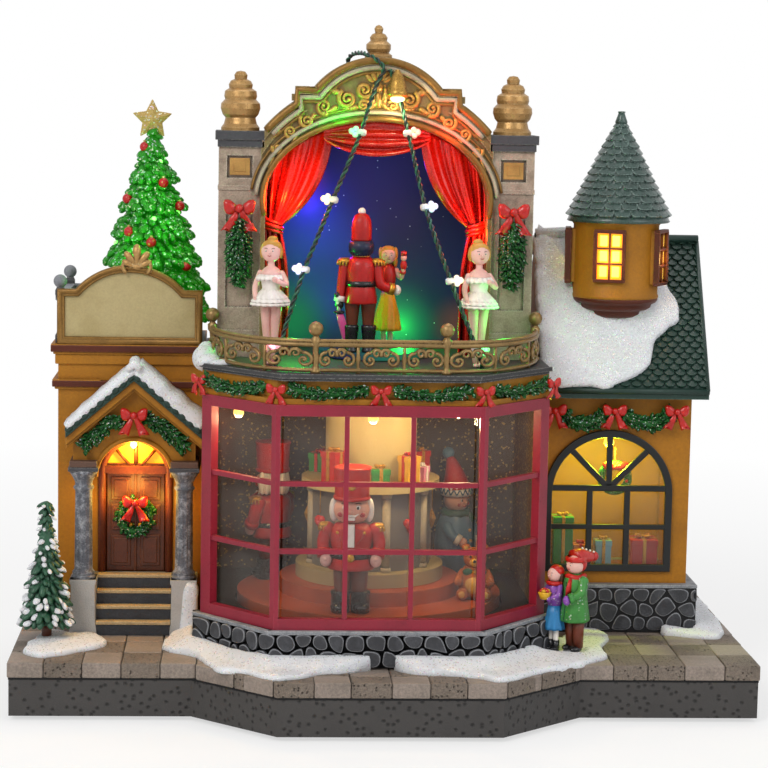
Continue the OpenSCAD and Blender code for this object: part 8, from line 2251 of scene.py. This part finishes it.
def makeDoor():
    x0 = leftHouse["porch"]
    s = Shape("doorLeaves")
    for m in (-1, 1):
        a, b = (x0 + m * 0.25, x0 + m * 12.9)
        lo, hi = min(a, b), max(a, b)
        s.block((lo, 0.9, 50.1), (hi, 2.9, 94.9), darkWood)
        for z0, z1 in ((52.6, 66.6), (68.8, 80.4), (82.4, 92.8)):
            s.block((lo + 1.9, 0.2, z0), (hi - 1.9, 1.2, z1), darkWood)
            s.block((lo + 3.2, -0.35, z0 + 1.3), (hi - 3.2, 0.8, z1 - 1.3), darkWood)
    s.block((x0 - 0.55, 0.1, 50.1), (x0 + 0.55, 1.4, 94.9), darkWood)
    for m in (-1, 1):
        s.ball((x0 + m * 2.0, -1.0, 71.5), 0.95, toyGold, rings=8, steps=12)
    s.build(slot="dark_wood", replaces=("double_door",), bevel=0.35, segments=2)
    f = Shape("doorFrame")
    r, z = 14.9, 95.0
    arch = [(x0 + r * cos(a), -0.1, z + r * sin(a)) for a in [pi * k / 40 for k in range(41)]]
    f.tube([(x0 + r, -0.1, 50)] + arch + [(x0 - r, -0.1, 50)], 1.75, reddishWood, steps=10, up=(0, 1, 0))
    f.block((x0 - r, -1.4, z - 0.4), (x0 + r, 1.6, z + 3.0), reddishWood)
    f.block((x0 - r, -0.4, z + 2.6), (x0 + r, 1.6, z + 4.0), darkWood)
    for a in (-40, 0, 40):
        w = around("Y", a)
        p, q = w @ Vector((0, 0, 3.4)), w @ Vector((0, 0, r - 0.6))
        f.tube([(x0 + p.x, 0.3, z + p.z), (x0 + q.x, 0.3, z + q.z)], 1.0 if a == 0 else 0.8, reddishWood, steps=6)
    half = [(x0 + (r - 0.3) * cos(a), z + (r - 0.3) * sin(a)) for a in [pi * k / 40 for k in range(41)]]
    f.plate(half, 1.3, 2.0, fanGlow)
    f.ball((x0 - 0.9, -1.6, z + 13.2), (1.7, 1.5, 2.4), warmBulb, rings=10, steps=14)
    f.lathe([(0, 0), (1.3, 0), (1.1, 2.2), (0, 2.4)], (x0 - 0.9, -1.4, z + 15.2), toyGold, 16)
    f.build(slot="dark_wood", replaces=("fanlight",))
    pointLamp("doorGlow", (x0 - 0.9, -4.2, z + 12.4), 0.05, (1.0, 0.66, 0.08), 2)
    pointLamp("doorInner", (x0, -6.5, z - 6), 0.016, (1.0, 0.55, 0.1), 4)
    for m in (-1, 1):
        pointLamp("doorReveal", (x0 + m * 11.5, -7.5, z - 12), 0.007, (1.0, 0.6, 0.06), 3)


def makeBalustrade():
    s = Shape("roofParapet")
    x = leftHouse["x0"] + 0.6
    for y in (3.4, 61.0):
        s.lathe([(0, 0), (3.0, 0), (3.0, 3.6), (2.2, 4.4), (2.0, 5.2), (1.7, 12), (1.9, 19.2), (2.6, 20.4), (3.0, 21.6), (3.0, 23.4),
            (2.4, 24.4), (1.7, 25.2), (1.7, 26), (0, 26)], (x, y, 152.4), slateCap, 4, turn=around("Z", 45), smooth=False)
        s.ball((x, y, 179.8), 3.0, paleStone, rings=14, steps=20)
    s.block((x - 1.4, 5, 152.4), (x + 1.4, 59, 171.4), mustardPaint)
    for k in range(9):
        y = 9 + 5.8 * k
        s.block((x - 1.9, y - 0.9, 155), (x + 1.9, y + 0.9, 169), mustardPaint)
    s.block((x - 2.3, 5.2, 171.0), (x + 2.3, 59.4, 174.2), paleStone)
    s.block((x + 2, 59.4, 152.4), (leftHouse["x1"] - 2, 62, 171.4), mustardPaint)
    s.block((x + 2, 58.8, 171.0), (leftHouse["x1"] - 2, 63, 174.2), paleStone)
    s.block((x + 1.4, 4, 152.2), (leftHouse["x1"] - 0.4, 60, 152.9), slateCap)
    s.build(slot="grey_stone", replaces=("roof_balustrade",), bevel=0.35, segments=2)


paleStone = painted("paleStone", "82848a", wash=("4c4e54", 0.6), drift=0.2, patch=0.006, grain=0.0007, rough=0.55,
    edge=("c4c5c8", 0.6, 0.0007), bump=0.35)
pedestalStone = painted("pedestalStone", "b4b1ad", wash=("8d8a86", 0.6), drift=0.14, patch=0.01, grain=0.0006, rough=0.6,
    edge=("c0b9aa", 0.5, 0.0007), bump=0.5)
columnGrey = painted("columnGrey", "5d6068", wash=("b9bcc2", 0.75), drift=0.35, patch=0.0032, grain=0.0008, rough=0.55,
    recess=("17181b", 0.9, 0.0012), edge=("c9cacc", 0.8, 0.0008), bump=0.4)
stepDark = painted("stepDark", "35373c", wash=("202226", 0.5), drift=0.25, patch=0.006, rough=0.5, edge=("75777c", 0.5, 0.0006), bump=0.35)
stepTan = painted("stepTan", "b39a72", wash=("7c6240", 0.5), drift=0.2, patch=0.005, rough=0.5, edge=("ead9b4", 0.6, 0.0007), bump=0.3)
fanGlow = painted("fanGlow", "e0a02c", rough=0.3, drift=0.08, glow=("f0a414", 0.8), coat=0.2)
makeLeftTrims()
makeSign()
makePorch()
makeDoor()
makeBalustrade()
print("left house dressed")


bayFrame = {"end": (-79.6, -42.8), "corner": (-48.4, -77.5), "center": -5.0, "sill": 41.25, "top": 136.25, "rail": 4.7, "deep": 4.0,
    "muntin": 2.0, "post": (2.7, 1.9), "endPost": 6.0}


def bayLine(deep):
    # the bay's outline moved inwards: end, corner, corner, end
    end, corner = Vector(bayFrame["end"]), Vector(bayFrame["corner"])
    run = corner - end
    a = Vector((end.x + deep * run.length / -run.y, end.y))
    b = Vector((corner.x + deep * (run.length - run.x) / -run.y, corner.y + deep))
    mirrored = [Vector((2 * bayFrame["center"] - q.x, q.y)) for q in (b, a)]
    return [a, b] + mirrored


def makeBayFrame():
    d = bayFrame
    s = Shape("bayFrame")
    low, high, rail, half = d["sill"], d["top"], d["rail"], d["muntin"] / 2
    row = (high - low - 2 * rail) / 3
    levels = [(low, low + rail, 0.06, d["deep"] - 0.06), (high - rail, high, 0.06, d["deep"] - 0.06)]
    levels += [(low + rail + k * row - half, low + rail + k * row + half, 0.7, 3.3) for k in (1, 2)]
    for z0, z1, near, far in levels:
        s.plate([tuple(q) for q in bayLine(near) + bayLine(far)[::-1]], z0, z1, crimsonPaint, plane="xy")
    outer, inner = bayLine(0), bayLine(d["deep"])
    u = (outer[1] - outer[0]).normalized()
    n = Vector((-u.y, u.x))
    long, front = d["post"]
    corner = [outer[1] - u * long, outer[1], outer[1] + Vector((front, 0)), outer[1] + Vector((front, d["deep"])), inner[1],
        outer[1] - u * long + n * d["deep"]]
    end = [outer[0], outer[0] + u * d["endPost"], outer[0] + u * d["endPost"] + n * d["deep"], inner[0]]
    cell = (outer[2].x - outer[1].x - 2 * front) / 3
    for m in (-1, 1):
        for ring in (corner, end):
            s.plate([(q.x if m < 0 else 2 * d["center"] - q.x, q.y) for q in ring], low + 0.05, high - 0.05, crimsonPaint, plane="xy")
        x = d["center"] + m * cell / 2
        s.block((x - half, outer[1].y + 0.6, low + 1), (x + half, outer[1].y + 3.4, high - 1), crimsonPaint)
    s.build(slot="crimson", replaces=("bay_frame",), bevel=0.3)


makeBayFrame()


rightWindow = {"x": 102.4, "low": 52.4, "high": 116.8, "half": 28.9, "frame": 3.3, "bar": 1.35, "hub": 90.4, "rail": 72.8, "face": -3.0,
    "side": 8.5}


def windowOutline(gap):
    w = rightWindow
    half = w["half"] - gap
    return [(w["x"] - half, w["low"] + gap), (w["x"] + half, w["low"] + gap)] + arcLine(w["x"], w["high"] - w["half"], half, 0, 180, 48)


def makeArchedWindow():
    w = rightWindow
    s = Shape("archedWindow")
    y0, y1 = w["face"] - 2.0, w["face"]
    outer, inner = windowOutline(0), windowOutline(w["frame"])
    loops = [[(x, y, z) for x, z in ring] for y, ring in ((y0, outer), (y0, inner), (y1, inner), (y1, outer))]
    s.add(flatten(loops), gridFaces(4, len(outer), total=4), windowGreen, False)
    reach, bar, x = w["half"] - w["frame"] / 2, w["bar"], w["x"]
    s.block((x - reach, y0 + 0.2, w["hub"] - bar), (x + reach, y1 - 0.1, w["hub"] + bar), windowGreen)
    s.block((x - reach, y0 + 0.25, w["rail"] - 1.15), (x + reach, y1 - 0.15, w["rail"] + 1.15), windowGreen)
    for m in (-1, 1):
        s.block((x + m * w["side"] - bar, y0 + 0.3, w["low"] + 1), (x + m * w["side"] + bar, y1 - 0.2, w["hub"]), windowGreen)
    for a in (45, 90, 135):
        c, q = cos(radians(a)), sin(radians(a))
        far = reach - 2.5 * abs(q) * (1 if a == 90 else 0.7)
        s.plate([(x + c * k + q * m * bar, w["hub"] + q * k - c * m * bar) for k, m in ((0, -1), (far, -1), (far, 1), (0, 1))], y0 + 0.35,
            y1 - 0.25, windowGreen)
    s.build(slot="black_green", replaces=("arched_window",), bevel=0.3)


makeArchedWindow()
print("bay frame and arched window made")


def makeRightHouse():
    s = Shape("rightPlinth")
    s.block((69.6, -7.25, 25), (143.25, 62.25, 46.2), mortarBlack)
    s.block((69.6, -7.6, 45.4), (143.6, 62.6, 46.9), plinthCap)
    s.build(slot="grey_stone", bevel=0.3)
    b = Shape("bayPlinthCap")
    line = [(-83.4, -42.6), (-50.9, -80.2), (40.9, -80.2), (73.4, -42.6)]
    for (ax, ay), (bx, by) in zip(line, line[1:]):
        d = Vector((bx - ax, by - ay))
        n = Vector((d.y, -d.x)).normalized()
        a, c = Vector((ax, ay)), Vector((bx, by))
        ring = [a - n * 0.2, c - n * 0.2, c - n * 3.0, a - n * 3.0]
        b.plate([(q.x, q.y) for q in ring], 39.7, 41.35, plinthCap, plane="xy")
    b.build(slot="grey_stone", bevel=0.35)
    g = Shape("grooveLine")
    ring = insetRing([Vector(q) for q in paving["outline"]], 0.62)
    inner = insetRing(ring, 2.5)
    verts = [(q.x, q.y, z) for r, z in ((ring, 17.6), (ring, 18.42), (inner, 18.42), (inner, 17.6)) for q in r]
    g.add(verts, gridFaces(4, len(ring), total=4), mortarBlack, False)
    g.build(slot="weathered_stone")


plinthCap = painted("plinthCap", "8c8f94", wash=("4c4f55", 0.7), drift=0.25, patch=0.005, grain=0.0008, rough=0.55,
    edge=("d5d7d9", 0.7, 0.0007), bump=0.4)
makeRightHouse()
print("right house dressed")
